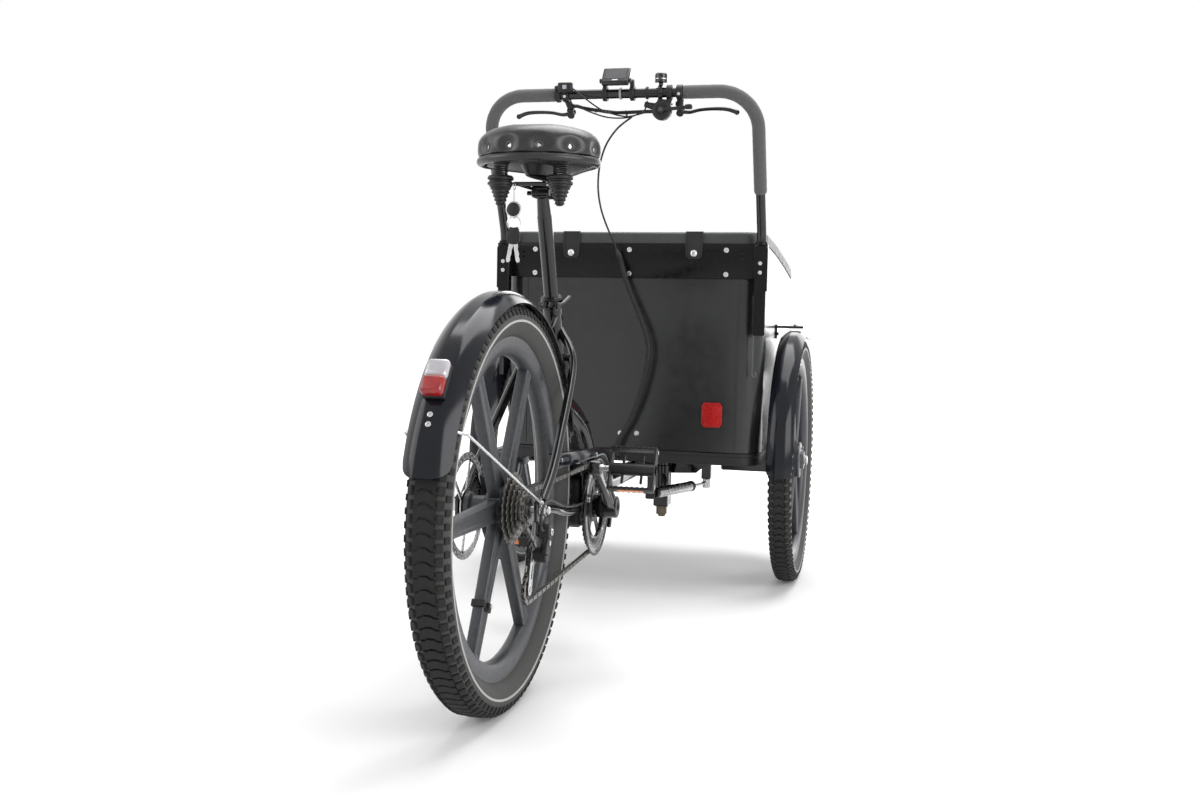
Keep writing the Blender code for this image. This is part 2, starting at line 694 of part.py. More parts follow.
def chainGuard():
    guardX = 0.0622
    thickness = 0.0025
    inner = GUARD_RING_RADIUS + 0.004
    outer = inner + 0.014
    bow = [(CRANK_Y + outer * cos(radians(angle)), CRANK_Z + outer * sin(radians(angle)))
           for angle in range(80, -31, -22)]
    back = [(CRANK_Y + inner * cos(radians(angle)), CRANK_Z + inner * sin(radians(angle)))
            for angle in range(-30, 103, 22)]
    outline = [(0.128, 0.392), (0.124, 0.4205)] + bow + back
    shield = plate("guard_shield", outline, thickness, (guardX, 0.0, 0.0))
    seatZ = 0.383
    seatY = CRANK_Y - (seatZ - CRANK_Z) * cos(SEAT_ANGLE) / sin(SEAT_ANGLE)
    reach = SEAT_TUBE_RADIUS + GAP
    tab = block("guard_tab", (guardX - reach, 0.010, 0.0070), ((guardX + reach) / 2.0, seatY, seatZ))
    place(welded("chain_guard", [shield, tab]), blackPlastic, trike)


def derailleur():
    upper = Vector((0.0, *JOCKEY_UPPER))
    lower = Vector((0.0, *JOCKEY_LOWER))
    side = Vector((1.0, 0.0, 0.0))
    inner = CHAIN_X - CHAIN_WIDTH / 2.0 - 0.0016
    outer = CHAIN_X + CHAIN_WIDTH / 2.0 + 0.0016
    run = (lower - upper).normalized()
    across = Vector((0.0, -run.z, run.y)) * 0.008
    outline = [upper - run * 0.009, upper + across, lower + across, lower + run * 0.009,
               lower - across, upper - across]
    flat = [(spot.y, spot.z) for spot in outline]
    items = [plate("cage_inner", flat, 0.0014, (inner, 0.0, 0.0)),
             plate("cage_outer", flat, 0.0014, (outer, 0.0, 0.0)),
             rod("upper_pin", JOCKEY_BORE, upper + side * (inner - 0.002), upper + side * (outer + 0.002), 10),
             rod("lower_pin", JOCKEY_BORE, lower + side * (inner - 0.002), lower + side * (outer + 0.002), 10)]
    place(welded("derailleur_cage", items), steel, trike)
    knuckleX = DROPOUT_X + DROPOUT_THICKNESS / 2.0 + GAP
    top = Vector((knuckleX, 0.0, 0.3045))
    bottom = Vector((outer + 0.0020 + GAP, *JOCKEY_UPPER))
    items = [rod("hanger_knuckle", 0.0115, top, top + side * 0.018, 14),
             rod("cage_knuckle", 0.0115, bottom, bottom + side * 0.020, 14),
             rod("link", 0.0090, top + side * 0.014, bottom + side * 0.018, 10)]
    place(welded("derailleur_body", items), blackPlastic, trike)
    for name, spot in (("jockey_upper", upper), ("jockey_lower", lower)):
        axis = axisAt(name + "_axis", spot, trike)
        radius = chainFloor(JOCKEY_TEETH)
        half = CHAIN_WIDTH / 2.0 + 0.0002
        profile = [(radius, half), (radius, -half), (JOCKEY_BORE + PIN_GAP, -half), (JOCKEY_BORE + PIN_GAP, half)]
        place(turned(name, profile, spot + side * CHAIN_X, 16, True), blackPlastic, axis)


def cassette():
    sprockets = 5
    bore = REAR_AXLE_RADIUS + PIN_GAP
    chainRadius = chainFloor(SPROCKET_TEETH)
    spread = (CASSETTE_BIG_RADIUS - chainRadius) / (CHAIN_X - CASSETTE_INNER_X - 0.003)
    step = (CASSETTE_OUTER_X - CASSETTE_INNER_X) / sprockets
    profile = []
    for index in reversed(range(sprockets)):
        low = CASSETTE_INNER_X + index * step
        radius = min(CASSETTE_BIG_RADIUS, CASSETTE_BIG_RADIUS - (low - CASSETTE_INNER_X - 0.0005) * spread)
        if low + step > CHAIN_X - CHAIN_WIDTH / 2.0:
            radius = min(radius, chainRadius)
        radius = max(radius, 0.019)
        profile += [(radius, low + step), (radius, low)]
    profile += [(bore, CASSETTE_INNER_X), (bore, CASSETTE_OUTER_X)]
    place(turned("cassette", profile, rearAxle, 14, True), steel, cassetteAxis)


def crankArm(name, side):
    reach = crankReach * side
    inner = CRANK_ARM_X - CRANK_ARM_THICKNESS / 2.0
    outer = CRANK_ARM_X + CRANK_ARM_THICKNESS / 2.0
    end = crankAxis + reach
    across = Vector((side, 0.0, 0.0))
    angle = atan2(reach.z, reach.y)
    arm = block(name + "_arm", (CRANK_ARM_THICKNESS, CRANK_LENGTH, 0.024),
                crankAxis + reach / 2.0 + across * CRANK_ARM_X, (angle, 0.0, 0.0))
    items = [arm,
             rod(name + "_eye", 0.0145, end + across * (inner - 0.0005), end + across * (outer + 0.0005), 12),
             rod(name + "_pedal_axle", PEDAL_AXLE_RADIUS, end + across * (outer - 0.006),
                 end + across * (PEDAL_X + PEDAL_WIDTH / 2.0 - 0.006), 12),
             rod(name + "_hub", CRANK_HUB_RADIUS, crankAxis + across * CRANK_HUB_X,
                 crankAxis + across * (outer + 0.001), 16)]
    return items


def crankset():
    side = Vector((1.0, 0.0, 0.0))
    boreEnd = CRANK_ARM_X - 0.004
    bore = rod("spindle_socket", SPINDLE_RADIUS + PIN_GAP, crankAxis, crankAxis + side * boreEnd, 16)
    place(welded("crank_right", crankArm("right", 1.0), [bore]), blackPaint, crankCentre)
    spindle = rod("spindle", SPINDLE_RADIUS, crankAxis - side * (CRANK_ARM_X - 0.002),
                  crankAxis + side * (boreEnd - GAP), 16)
    place(welded("crank_left", crankArm("left", -1.0) + [spindle]), blackPaint, crankCentre)
    hole = CRANK_HUB_RADIUS + PIN_GAP
    toothBase = chainFloor(CHAINRING_TEETH)
    ring = plate("ring", circle(toothBase, (CRANK_Y, CRANK_Z), 24), 0.0030, (CHAIN_X, 0.0, 0.0), SIDEWAYS,
                 [circle(hole, (CRANK_Y, CRANK_Z), 16)])
    guardX = CHAIN_X + CHAIN_WIDTH / 2.0 + 0.0042
    cover = plate("ring_cover", circle(GUARD_RING_RADIUS, (CRANK_Y, CRANK_Z), 24), 0.0024, (guardX, 0.0, 0.0),
                  SIDEWAYS, [circle(0.058, (CRANK_Y, CRANK_Z), 16)])
    bolts = []
    for index in range(3):
        angle = CRANK_ANGLE + 2.0 * pi * index / 3.0
        spot = crankAxis + Vector((0.0, cos(angle), sin(angle))) * 0.066
        bolts.append(rod("ring_bolt", 0.0050, spot + side * (CHAIN_X - 0.0022), spot + side * (guardX + 0.0016), 6))
    place(welded("chainring", [ring, cover] + bolts), steel, crankCentre)


def pedal(name, side, tilt):
    spot = pedalSpots[name]
    axis = axisAt("pedal_" + name + "_axis", spot, crankCentre)
    turn = Matrix.Rotation(tilt, 3, "X")
    across = Vector((1.0, 0.0, 0.0)) * side
    wall = 0.0055
    inner = -(PEDAL_WIDTH / 2.0)
    items = []
    for sign in (-1.0, 1.0):
        items.append(block("cage_rail", (PEDAL_WIDTH, wall, PEDAL_HEIGHT),
                           spot + turn @ Vector((0.0, sign * (PEDAL_LENGTH - wall) / 2.0, 0.0)),
                           (tilt, 0.0, 0.0)))
        items.append(block("cage_end", (wall - 0.001, PEDAL_LENGTH - 0.001, PEDAL_HEIGHT - 0.001),
                           spot + Vector((sign * (PEDAL_WIDTH - wall) / 2.0, 0.0, 0.0)), (tilt, 0.0, 0.0)))
    items.append(rod("pedal_barrel", 0.0115, spot + across * inner, spot - across * (inner + 0.0005), 12))
    bore = rod("pedal_bore", PEDAL_AXLE_RADIUS + PIN_GAP, spot + across * (inner - 0.01),
               spot - across * (inner + 0.0052), 12)
    place(welded("pedal_" + name, items, [bore]), blackPlastic, axis)


# Wheels

def tyreProfile(radius, width, bead):
    half = width / 2.0
    height = radius - bead
    outer = [(bead, 0.012), (bead + 0.50 * height, half), (radius - 0.12 * height, 0.80 * half),
             (radius, 0.34 * half)]
    inner = [(bead, 0.008), (bead + 0.50 * height, half - 1.8 * TYRE_WALL), (radius - 0.10 * height - TYRE_WALL, 0.008)]
    right = list(reversed([(r, -x) for r, x in inner]))
    return [(r, x) for r, x in outer] + [(r, -x) for r, x in reversed(outer)] + \
        list(reversed(right)) + [(r, x) for r, x in reversed(inner)]


def tyre(name, centre, radius, width, bead, axis):
    turn = Matrix.Rotation(-pi / 2.0, 3, "X") @ SIDEWAYS
    place(turned(name, tyreProfile(radius, width, bead), centre, WHEEL_STEPS, True, turn), rubber, axis)


def castWheel(name, centre, bead, hole, hubRadius, hubLow, hubHigh, bore, axis):
    # Rim channel, six tapered spokes and a hub, joined; the hub ends are given along X
    seat = bead - GAP
    half = RIM_WIDTH / 2.0
    well = hole + 0.010
    profile = [(seat, half), (seat, half - 0.0055), (well, half - 0.008), (well, 0.008 - half),
               (seat, 0.0055 - half), (seat, -half), (hole, 0.0035 - half), (hole, half - 0.0035)]
    items = [turned("rim", profile, centre, WHEEL_STEPS, True)]
    reach = (hole + well) / 2.0
    for index in range(SPOKE_COUNT):
        angle = 2.0 * pi * index / SPOKE_COUNT
        outline = [(0.008, -SPOKE_HUB_WIDTH / 2.0), (reach, -SPOKE_RIM_WIDTH / 2.0),
                   (reach, SPOKE_RIM_WIDTH / 2.0), (0.008, SPOKE_HUB_WIDTH / 2.0)]
        turn = Matrix.Rotation(angle, 3, "X") @ SIDEWAYS
        items.append(plate("spoke", outline, SPOKE_THICKNESS, centre, turn))
    side = Vector((1.0, 0.0, 0.0))
    items.append(rod("hub", hubRadius, centre + side * hubLow, centre + side * hubHigh, 16))
    cut = rod("hub_bore", bore + PIN_GAP, centre + side * (hubLow - 0.01), centre + side * (hubHigh + 0.01), 12)
    place(welded(name, items, [cut]), greyAlloy, axis)


def rearWheel():
    tyre("rear_tyre", rearAxle, REAR_TYRE_RADIUS, REAR_TYRE_WIDTH, REAR_BEAD_RADIUS, rearWheelAxis)
    hubLow = ROTOR_X + ROTOR_THICKNESS / 2.0 + GAP
    castWheel("rear_cast_wheel", rearAxle, REAR_BEAD_RADIUS, REAR_RIM_HOLE_RADIUS, REAR_HUB_RADIUS,
              hubLow, CASSETTE_INNER_X - 2.0 * GAP, REAR_AXLE_RADIUS, rearWheelAxis)
    holes = [circle(REAR_AXLE_RADIUS + PIN_GAP, (0.0, 0.0), 12)]
    for index in range(6):
        middle = 2.0 * pi * index / 6.0
        near = [(0.030 * cos(middle + turn), 0.030 * sin(middle + turn)) for turn in (-0.30, 0.30)]
        far = [(0.072 * cos(middle + turn), 0.072 * sin(middle + turn)) for turn in (0.42, 0.0, -0.42)]
        holes.append(near + far)
    disc = plate("brake_rotor", circle(ROTOR_RADIUS, (0.0, 0.0), 24), ROTOR_THICKNESS,
                 rearAxle + Vector((ROTOR_X, 0.0, 0.0)), SIDEWAYS, holes)
    place(disc, steel, rearWheelAxis)


def frontWheel(name, side):
    centre = Vector((side * FRONT_TRACK / 2.0, WHEELBASE, FRONT_TYRE_RADIUS))
    axis = axisAt("front_wheel_" + name + "_axis", centre, steerAxis)
    tyre("front_tyre_" + name, centre, FRONT_TYRE_RADIUS, FRONT_TYRE_WIDTH, FRONT_BEAD_RADIUS, axis)
    ends = sorted((side * -HUB_REACH[0], side * HUB_REACH[1]))
    castWheel("front_cast_wheel_" + name, centre, FRONT_BEAD_RADIUS, FRONT_RIM_HOLE_RADIUS, DRUM_HUB_RADIUS,
              ends[0], ends[1], STUB_AXLE_RADIUS, axis)


# Saddle

def saddleHalfWidth(along):
    # Half width of the saddle's outline, from its rear (0) to its nose (1)
    nose = SADDLE_NOSE_WIDTH / 2.0
    rear = SADDLE_WIDTH / 2.0
    blend = 1.0 / (1.0 + ((along / 0.62) ** 5.0))
    return nose + (rear - nose) * blend


def saddleForm(name, inset, base, low, high, tufts, columns, rows):
    # A rounded body on the saddle's outline: a ball whose vertices are moved out to the outline
    shape = bmesh.new()
    bmesh.ops.create_uvsphere(shape, u_segments=columns, v_segments=rows, radius=1.0)
    middle = SADDLE_REAR_Y + SADDLE_LENGTH / 2.0
    half = SADDLE_LENGTH / 2.0 - inset
    for vert in shape.verts:
        east, north, up = vert.co
        reach = hypot(east, north)
        flat = reach ** 0.55 / reach if reach > 0.0001 else 1.0
        along = 0.5 + 0.5 * north * flat
        width = saddleHalfWidth(along) - inset
        rise = abs(up) ** 0.80 * (1.0 if up > 0.0 else -1.0)
        x = east * flat * width
        y = middle + north * flat * half
        z = base + rise * (high if rise > 0.0 else low)
        if tufts:
            z -= 0.016 * along * max(0.0, rise)
            for index in range(TUFT_COUNT):
                angle = -pi / 2.0 + radians(34.0) * (index - (TUFT_COUNT - 1) / 2.0)
                apart = hypot(east * flat - cos(angle), north * flat - sin(angle))
                dent = max(0.0, 1.0 - apart / 0.16) * max(0.0, 1.0 - abs(up - 0.15) / 0.35)
                x -= cos(angle) * 0.006 * dent
                y -= sin(angle) * 0.006 * dent
        vert.co = (x, y, z)
    data = bpy.data.meshes.new(name)
    shape.to_mesh(data)
    shape.free()
    return keep(name, data)


def saddle():
    cushion = saddleForm("cushion", 0.0, SADDLE_RIM_Z + SADDLE_BULGE, 0.030, SADDLE_CROWN, True, 30, 12)
    under = block("under_cut", (0.4, 0.5, 0.05), (0.0, 0.2, SADDLE_RIM_Z - 0.025))
    body = keep("saddle_cushion", gathered("saddle_cushion", [cushion]))
    place(boolean(body, "DIFFERENCE", [under]), vinyl, seatAxis)
    pan = saddleForm("pan", 0.016, SADDLE_RIM_Z, PAN_DROP, 0.010, False, 16, 7)
    over = block("over_cut", (0.4, 0.5, 0.05), (0.0, 0.2, SADDLE_RIM_Z - GAP + 0.025))
    nose = Vector((0.0, SADDLE_REAR_Y + 0.8 * SADDLE_LENGTH, 0.0))
    body = keep("saddle_pan", gathered("saddle_pan", [pan]))
    cuts = [over]
    for side in (-1.0, 1.0):
        spring = Vector((side * SPRING_X, SPRING_Y, 0.0))
        cuts.append(rod("spring_pocket", 0.022, spring + Vector((0.0, 0.0, SADDLE_RIM_Z - 0.004)),
                        spring + Vector((0.0, 0.0, SADDLE_RIM_Z - 0.08)), 20))
    cuts.append(block("rail_slot", (0.056, 0.060, 0.03), (0.0, nose.y, SADDLE_RIM_Z - 0.024)))
    cuts.append(block("rail_room", (0.072, 0.17, 0.03), (0.0, nose.y - 0.11, SADDLE_RIM_Z - 0.036)))
    place(boolean(body, "DIFFERENCE", cuts), blackPlastic, seatAxis)
    return nose


def saddleRails(nose):
    high = SADDLE_RIM_Z - 0.009 - GAP - RAIL_RADIUS
    items = []
    for side in (-1.0, 1.0):
        knots = [(side * 0.016, nose.y + 0.020, high), (side * 0.018, nose.y - 0.004, high - 0.002),
                 (side * RAIL_X, nose.y - 0.050, RAIL_Z + 0.004), (side * RAIL_X, 0.230, RAIL_Z),
                 (side * RAIL_X, SPRING_Y + 0.020, RAIL_Z - 0.001), (side * RAIL_X, SPRING_Y - 0.002, RAIL_Z - 0.001)]
        items.append(tube("rail", smoothRoute(knots, 1), RAIL_RADIUS, 1))
    items.append(rod("nose_bar", RAIL_RADIUS, (-0.018, nose.y + 0.019, high), (0.018, nose.y + 0.019, high), 8))
    reach = SPRING_X - CONE_WIDE_RADIUS - GAP
    items.append(rod("rear_bar", RAIL_RADIUS + 0.0003, (-reach, SPRING_Y, RAIL_Z - 0.001), (reach, SPRING_Y, RAIL_Z - 0.001), 8))
    place(welded("saddle_rails", items), steel, seatAxis)


def springCone():
    # Ribbed body under the coil: two wide ribs, then a taper of smaller ones
    profile = [(0.0135, CONE_TOP), (CONE_WIDE_RADIUS - 0.002, CONE_TOP - 0.0035)]
    depth = CONE_TOP - 0.0035
    for _ in range(2):
        profile += [(CONE_WIDE_RADIUS, depth - 0.004), (CONE_WIDE_RADIUS - 0.0035, depth - 0.008)]
        depth -= 0.009
    for index in range(CONE_RIBS):
        radius = 0.0168 - 0.0080 * index / (CONE_RIBS - 1)
        profile += [(radius, depth - 0.0030), (radius - 0.0020, depth - 0.0070)]
        depth -= 0.0085
    return profile + [(0.0, depth)]


def saddleSpring(name, side):
    spot = Vector((side * SPRING_X, SPRING_Y, 0.0))
    top = SADDLE_RIM_Z - 0.004 - GAP - SPRING_WIRE_RADIUS
    low = CONE_TOP - 0.0008
    points = []
    perCurl = 8
    count = SPRING_CURLS * perCurl
    for index in range(count + 1):
        turn = 2.0 * pi * index / perCurl
        share = index / count
        radius = SPRING_COIL_RADIUS - 0.0015 * (1.0 - share)
        points.append(spot + Vector((side * radius * cos(turn), radius * sin(turn), low + (top - low) * share)))
    least = min((a - b).length for i, a in enumerate(points) for j, b in enumerate(points)
                if abs(i - j) > perCurl // 2) - 2.0 * SPRING_WIRE_RADIUS
    print("least gap between curls of", name, round(least * 1000.0, 2), "mm")
    cone = turned("cone", [(0.0, CONE_TOP)] + springCone(), spot, 10, False, Matrix.Identity(3))
    coil = tube("coil", points, SPRING_WIRE_RADIUS, 1)
    place(welded(name, [cone, coil]), blackPlastic, seatAxis)


def seatpost():
    foot = seatTop - seatUp * SEATPOST_INSERT
    neck = seatSpot(SEATPOST_TOP - 0.035)
    headY = 0.224
    items = [rod("post", SEATPOST_RADIUS, foot, neck, 16),
             rod("post_neck", SEATPOST_RADIUS - 0.0005, neck - seatUp * 0.001, seatSpot(SEATPOST_TOP), 16, 0.011),
             block("post_head", (2.0 * (RAIL_X - RAIL_RADIUS - GAP), 0.040, 0.026), (0.0, headY, RAIL_Z - 0.006),
                   (0.0, 0.0, 0.0), 0.004)]
    place(welded("seatpost", items), blackPaint, seatAxis)


# Cargo box

def boxTop(along):
    # Height of the box's upper edge at a distance ahead of its rear face
    share = min(1.0, max(0.0, along / BOX_LENGTH))
    return BOX_TOP_REAR - (BOX_TOP_REAR - BOX_TOP_FRONT) * share ** 1.5


def boxHalfOutline(inset):
    # Right half of the plan, from the middle of the rear face to the middle of the front face
    half = BOX_HALF_WIDTH - inset
    rear = BOX_REAR_Y + inset
    front = BOX_REAR_Y + BOX_LENGTH - inset
    radius = BOX_CORNER - inset
    steps = 4
    points = [(half * 0.3, rear)]
    for index in range(steps + 1):
        angle = -pi / 2.0 + pi / 2.0 * index / steps
        points.append((half - radius + radius * cos(angle), rear + radius + radius * sin(angle)))
    for share in (0.36, 0.68):
        points.append((half, rear + (front - rear) * share))
    for index in range(steps + 1):
        angle = pi / 2.0 * index / steps
        points.append((half - radius + radius * cos(angle), front - radius + radius * sin(angle)))
    points.append((half * 0.3, front))
    return points


def boxPrism(name, rings, closeBottom, closeTop):
    # Rings of inset and height function, stacked; caps join the left half to the right half
    shape = bmesh.new()
    loops = []
    for inset, height in rings:
        half = boxHalfOutline(inset)
        full = half + [(-x, y) for x, y in reversed(half)]
        loops.append([shape.verts.new((x, y, height(y - BOX_REAR_Y))) for x, y in full])
    count = len(loops[0])
    for below, above in zip(loops, loops[1:]):
        for index in range(count):
            after = (index + 1) % count
            shape.faces.new((below[index], below[after], above[after], above[index]))
    for wanted, loop, flip in ((closeBottom, loops[0], True), (closeTop, loops[-1], False)):
        if wanted:
            for index in range(count // 2 - 1):
                corners = [loop[index], loop[index + 1], loop[count - 2 - index], loop[count - 1 - index]]
                shape.faces.new(list(reversed(corners)) if flip else corners)
    data = bpy.data.meshes.new(name)
    shape.to_mesh(data)
    shape.free()
    return keep(name, data)


def cargoBox():
    shell = boxPrism("box_shell", [(0.0, lambda along: BOX_BOTTOM), (0.0, boxTop)], False, False)
    skin = shell.modifiers.new("wall", "SOLIDIFY")
    skin.thickness = BOX_WALL
    skin.offset = -1.0
    place(shell, panelBlack, steerAxis)
    floorTop = BOX_BOTTOM - GAP
    slab = boxPrism("slab", [(0.0005, lambda along: FLOOR_BOTTOM), (0.0005, lambda along: floorTop)], True, True)
    gland = Vector((-0.026, BOX_REAR_Y, (FLOOR_BOTTOM + BOX_BOTTOM) / 2.0))
    boss = rod("gland", 0.0105, gland + Vector((0.0, 0.005, 0.0)), gland - Vector((0.0, FLOOR_GLAND, 0.0)), 12)
    pocket = boxPrism("pocket", [(FLOOR_SKIRT, lambda along: FLOOR_BOTTOM - 0.01),
                                 (FLOOR_SKIRT, lambda along: floorTop - FLOOR_THICKNESS)], True, True)
    place(welded("box_floor", [slab, boss], [pocket]), blackPlastic, steerAxis)
    lid = [(0.0, lambda along: boxTop(along) + GAP), (0.0, lambda along: boxTop(along) + 0.008),
           (0.005, lambda along: boxTop(along) + 0.0145), (0.016, lambda along: boxTop(along) + COVER_HEIGHT)]
    place(boxPrism("box_cover", lid, True, True), vinyl, steerAxis)
    size = Vector(BATTERY_SIZE)
    spot = Vector((0.0, BOX_REAR_Y + BOX_WALL + GAP + size.y / 2.0, floorTop + GAP + size.z / 2.0))
    place(block("battery", size, spot, (0.0, 0.0, 0.0), 0.010), blackPlastic, steerAxis)


def barCarrier():
    bandHeight = BAND_TOP - BAND_BOTTOM
    bandY = BOX_REAR_Y - GAP - BAND_THICKNESS / 2.0
    socketY = BOX_REAR_Y - GAP - BAND_THICKNESS - SOCKET_SIZE / 2.0 + 0.001
    items = [block("band", (2.0 * BAR_HALF_WIDTH, BAND_THICKNESS, bandHeight),
                   (0.0, bandY, (BAND_TOP + BAND_BOTTOM) / 2.0))]
    cuts = []
    for side in (-1.0, 1.0):
        x = side * BAR_HALF_WIDTH
        items.append(block("bracket", (SOCKET_SIZE + 0.004, SOCKET_SIZE + 0.002, bandHeight - 0.001),
                           (x, socketY + 0.001, (BAND_TOP + BAND_BOTTOM) / 2.0), (0.0, 0.0, 0.0), 0.002))
        items.append(block("socket", (SOCKET_SIZE, SOCKET_SIZE, BAND_TOP - SOCKET_BOTTOM - 0.004),
                           (x, socketY, (BAND_TOP + SOCKET_BOTTOM - 0.004) / 2.0), (0.0, 0.0, 0.0), 0.002))
        cuts.append(rod("bar_bore", BAR_RADIUS + PIN_GAP, (x, socketY, BAR_BOTTOM - GAP), (x, socketY, BAND_TOP + 0.01), 16))
    place(welded("bar_carrier", items, cuts), blackPaint, steerAxis)
    return socketY


def subframe():
    # Flat bars inside the floor's pocket, with the steering bracket and the wheel mounts below
    barBottom = HEAD_TOP + 2.0 * GAP
    barTop = BOX_BOTTOM - GAP - FLOOR_THICKNESS - GAP
    barZ = (barBottom + barTop) / 2.0
    barHeight = barTop - barBottom
    axleBottom = FLOOR_BOTTOM - 0.0425
    plateX = BOX_HALF_WIDTH + 0.0045 + END_PLATE_THICKNESS / 2.0
    front = BOX_REAR_Y + BOX_LENGTH
    items = []
    for side in (-1.0, 1.0):
        items.append(block("rail_bar", (BEAM_SIZE, BOX_LENGTH - 0.06, barHeight),
                           (side * RAIL_BEAM_X, BOX_REAR_Y + BOX_LENGTH / 2.0, barZ)))
    for y, width in ((BOX_REAR_Y + 0.050, 0.030), (WHEELBASE, 0.060), (damperMoving.y, 0.040), (front - 0.050, 0.030)):
        items.append(block("cross_bar", (2.0 * RAIL_BEAM_X + 0.010, width, barHeight - 0.001), (0.0, y, barZ)))
    items.append(block("head_plate", (0.100, 0.240, barHeight - 0.0005), (0.0, HEAD_Y - 0.035, barZ)))
    footTop = HEAD_BOTTOM - 2.0 * GAP
    footBottom = footTop - 0.029
    webFront = HEAD_RADIUS + 0.0145
    items.append(block("foot_plate", (2.0 * HEAD_RADIUS, webFront + 0.022, footTop - footBottom),
                       (0.0, HEAD_Y + (webFront - 0.022) / 2.0, (footTop + footBottom) / 2.0), (0.0, 0.0, 0.0), 0.002))
    items.append(block("web", (2.0 * HEAD_RADIUS - 0.002, 0.0100, barTop - 0.002 - footBottom - 0.003),
                       (0.0, HEAD_Y + webFront - 0.0055, (barTop - 0.002 + footBottom + 0.003) / 2.0)))
    wingBottom = 0.238
    wingEnd = damperMoving.x - 0.002
    items.append(block("wing", (wingEnd, 0.0080, barTop - 0.003 - wingBottom),
                       (wingEnd / 2.0, HEAD_Y + webFront - 0.0055, (barTop - 0.003 + wingBottom) / 2.0)))
    damperTop = DAMPER_Z + DAMPER_EYE_RADIUS + GAP
    items.append(block("damper_bracket", (0.026, 0.026, barBottom + 0.004 - damperTop),
                       (damperMoving.x, damperMoving.y, (barBottom + 0.004 + damperTop) / 2.0)))
    cuts = [rod("pin_bore", KINGPIN_RADIUS + PIN_GAP, (0.0, HEAD_Y, footBottom - 0.02), (0.0, HEAD_Y, barTop + 0.02), 16),
            rod("head_room", 0.021, (0.0, HEAD_Y, barBottom + 0.0045), (0.0, HEAD_Y, barTop + 0.02), 16)]
    low = axleBottom
    high = FLOOR_BOTTOM - 2.0 * GAP
    inner = RAIL_BEAM_X - 0.012
    skirtInner = BOX_HALF_WIDTH - 0.0005 - FLOOR_SKIRT - 0.002
    for side in (-1.0, 1.0):
        across = Vector((side, 0.0, 0.0))
        hub = Vector((0.0, WHEELBASE, FRONT_TYRE_RADIUS))
        items.append(block("axle_end", (plateX - inner, 0.050, high - low),
                           (side * (plateX + inner) / 2.0, WHEELBASE, (high + low) / 2.0)))
        items.append(block("axle_seat", (skirtInner - inner - 0.001, 0.048, barTop - 0.0015 - low - 0.001),
                           (side * (skirtInner + inner + 0.001) / 2.0, WHEELBASE, (barTop - 0.0015 + low + 0.001) / 2.0)))
        items.append(block("end_plate", (END_PLATE_THICKNESS, 0.080, 0.074),
                           (side * plateX, WHEELBASE, axleBottom + 0.0372)))
        hubInner = FRONT_TRACK / 2.0 - HUB_REACH[0] - GAP
        hubOuter = FRONT_TRACK / 2.0 + HUB_REACH[1] + GAP
        items.append(rod("spacer", 0.014, hub + across * plateX, hub + across * hubInner, 10))
        items.append(rod("stub_axle", STUB_AXLE_RADIUS, hub + across * (plateX + 0.001), hub + across * (hubOuter + 0.008), 12))
        items.append(rod("stub_nut", 0.0120, hub + across * hubOuter, hub + across * (hubOuter + 0.0085), 6))
    place(welded("subframe", items, cuts), blackPaint, steerAxis)
    headLow = barBottom + 0.0045 + GAP
    nutTop = footBottom - GAP
    pin = [rod("pin", KINGPIN_RADIUS, (0.0, HEAD_Y, KINGPIN_BOTTOM), (0.0, HEAD_Y, headLow + 0.002), 16),
           rod("pin_head", 0.0170, (0.0, HEAD_Y, headLow), (0.0, HEAD_Y, headLow + 0.0070), 6),
           rod("pin_nut", 0.0160, (0.0, HEAD_Y, KINGPIN_BOTTOM + 0.006), (0.0, HEAD_Y, nutTop), 6)]
    place(welded("kingpin", pin), steel, steerAxis)


def frontMudguard(name, side):
    centre = Vector((side * FRONT_TRACK / 2.0, WHEELBASE, FRONT_TYRE_RADIUS))
    shell = mudguardShell("guard_shell", centre, FRONT_GUARD_RADIUS, FRONT_GUARD_HALF_WIDTH,
                          FRONT_GUARD_ANGLES, 0.013, 10)
    top = FRONT_TYRE_RADIUS + FRONT_GUARD_RADIUS
    inner = BOX_HALF_WIDTH + GAP
    outer = FRONT_TRACK / 2.0 + 0.020
    middle = side * (inner + outer) / 2.0
    bracket = block("guard_bracket", (outer - inner, 0.030, 0.007), (middle, WHEELBASE, top + 0.0075))
    boltX = side * FRONT_TRACK / 2.0
    bolt = rod("guard_bolt", 0.006, (boltX, WHEELBASE, top - 0.0030), (boltX, WHEELBASE, top + 0.0145), 6)
    footX = side * (inner + 0.002)
    foot = block("bracket_foot", (0.004, 0.034, 0.036), (footX, WHEELBASE, top - 0.004))
    place(welded("front_mudguard_" + name, [shell, bracket, foot, bolt]), bluePlastic, steerAxis)


# Push bar and controls

def barRoute(socketY):
    lean = [(BAR_HALF_WIDTH, socketY, BAR_BOTTOM), (BAR_HALF_WIDTH, socketY, BAR_KNEE_Z),
            (BAR_HALF_WIDTH, BAR_TOP_Y, BAR_TOP_Z)]
    corners = lean + [(-x, y, z) for x, y, z in reversed(lean)]
    return filletedRoute(corners, BAR_CORNER, 5)


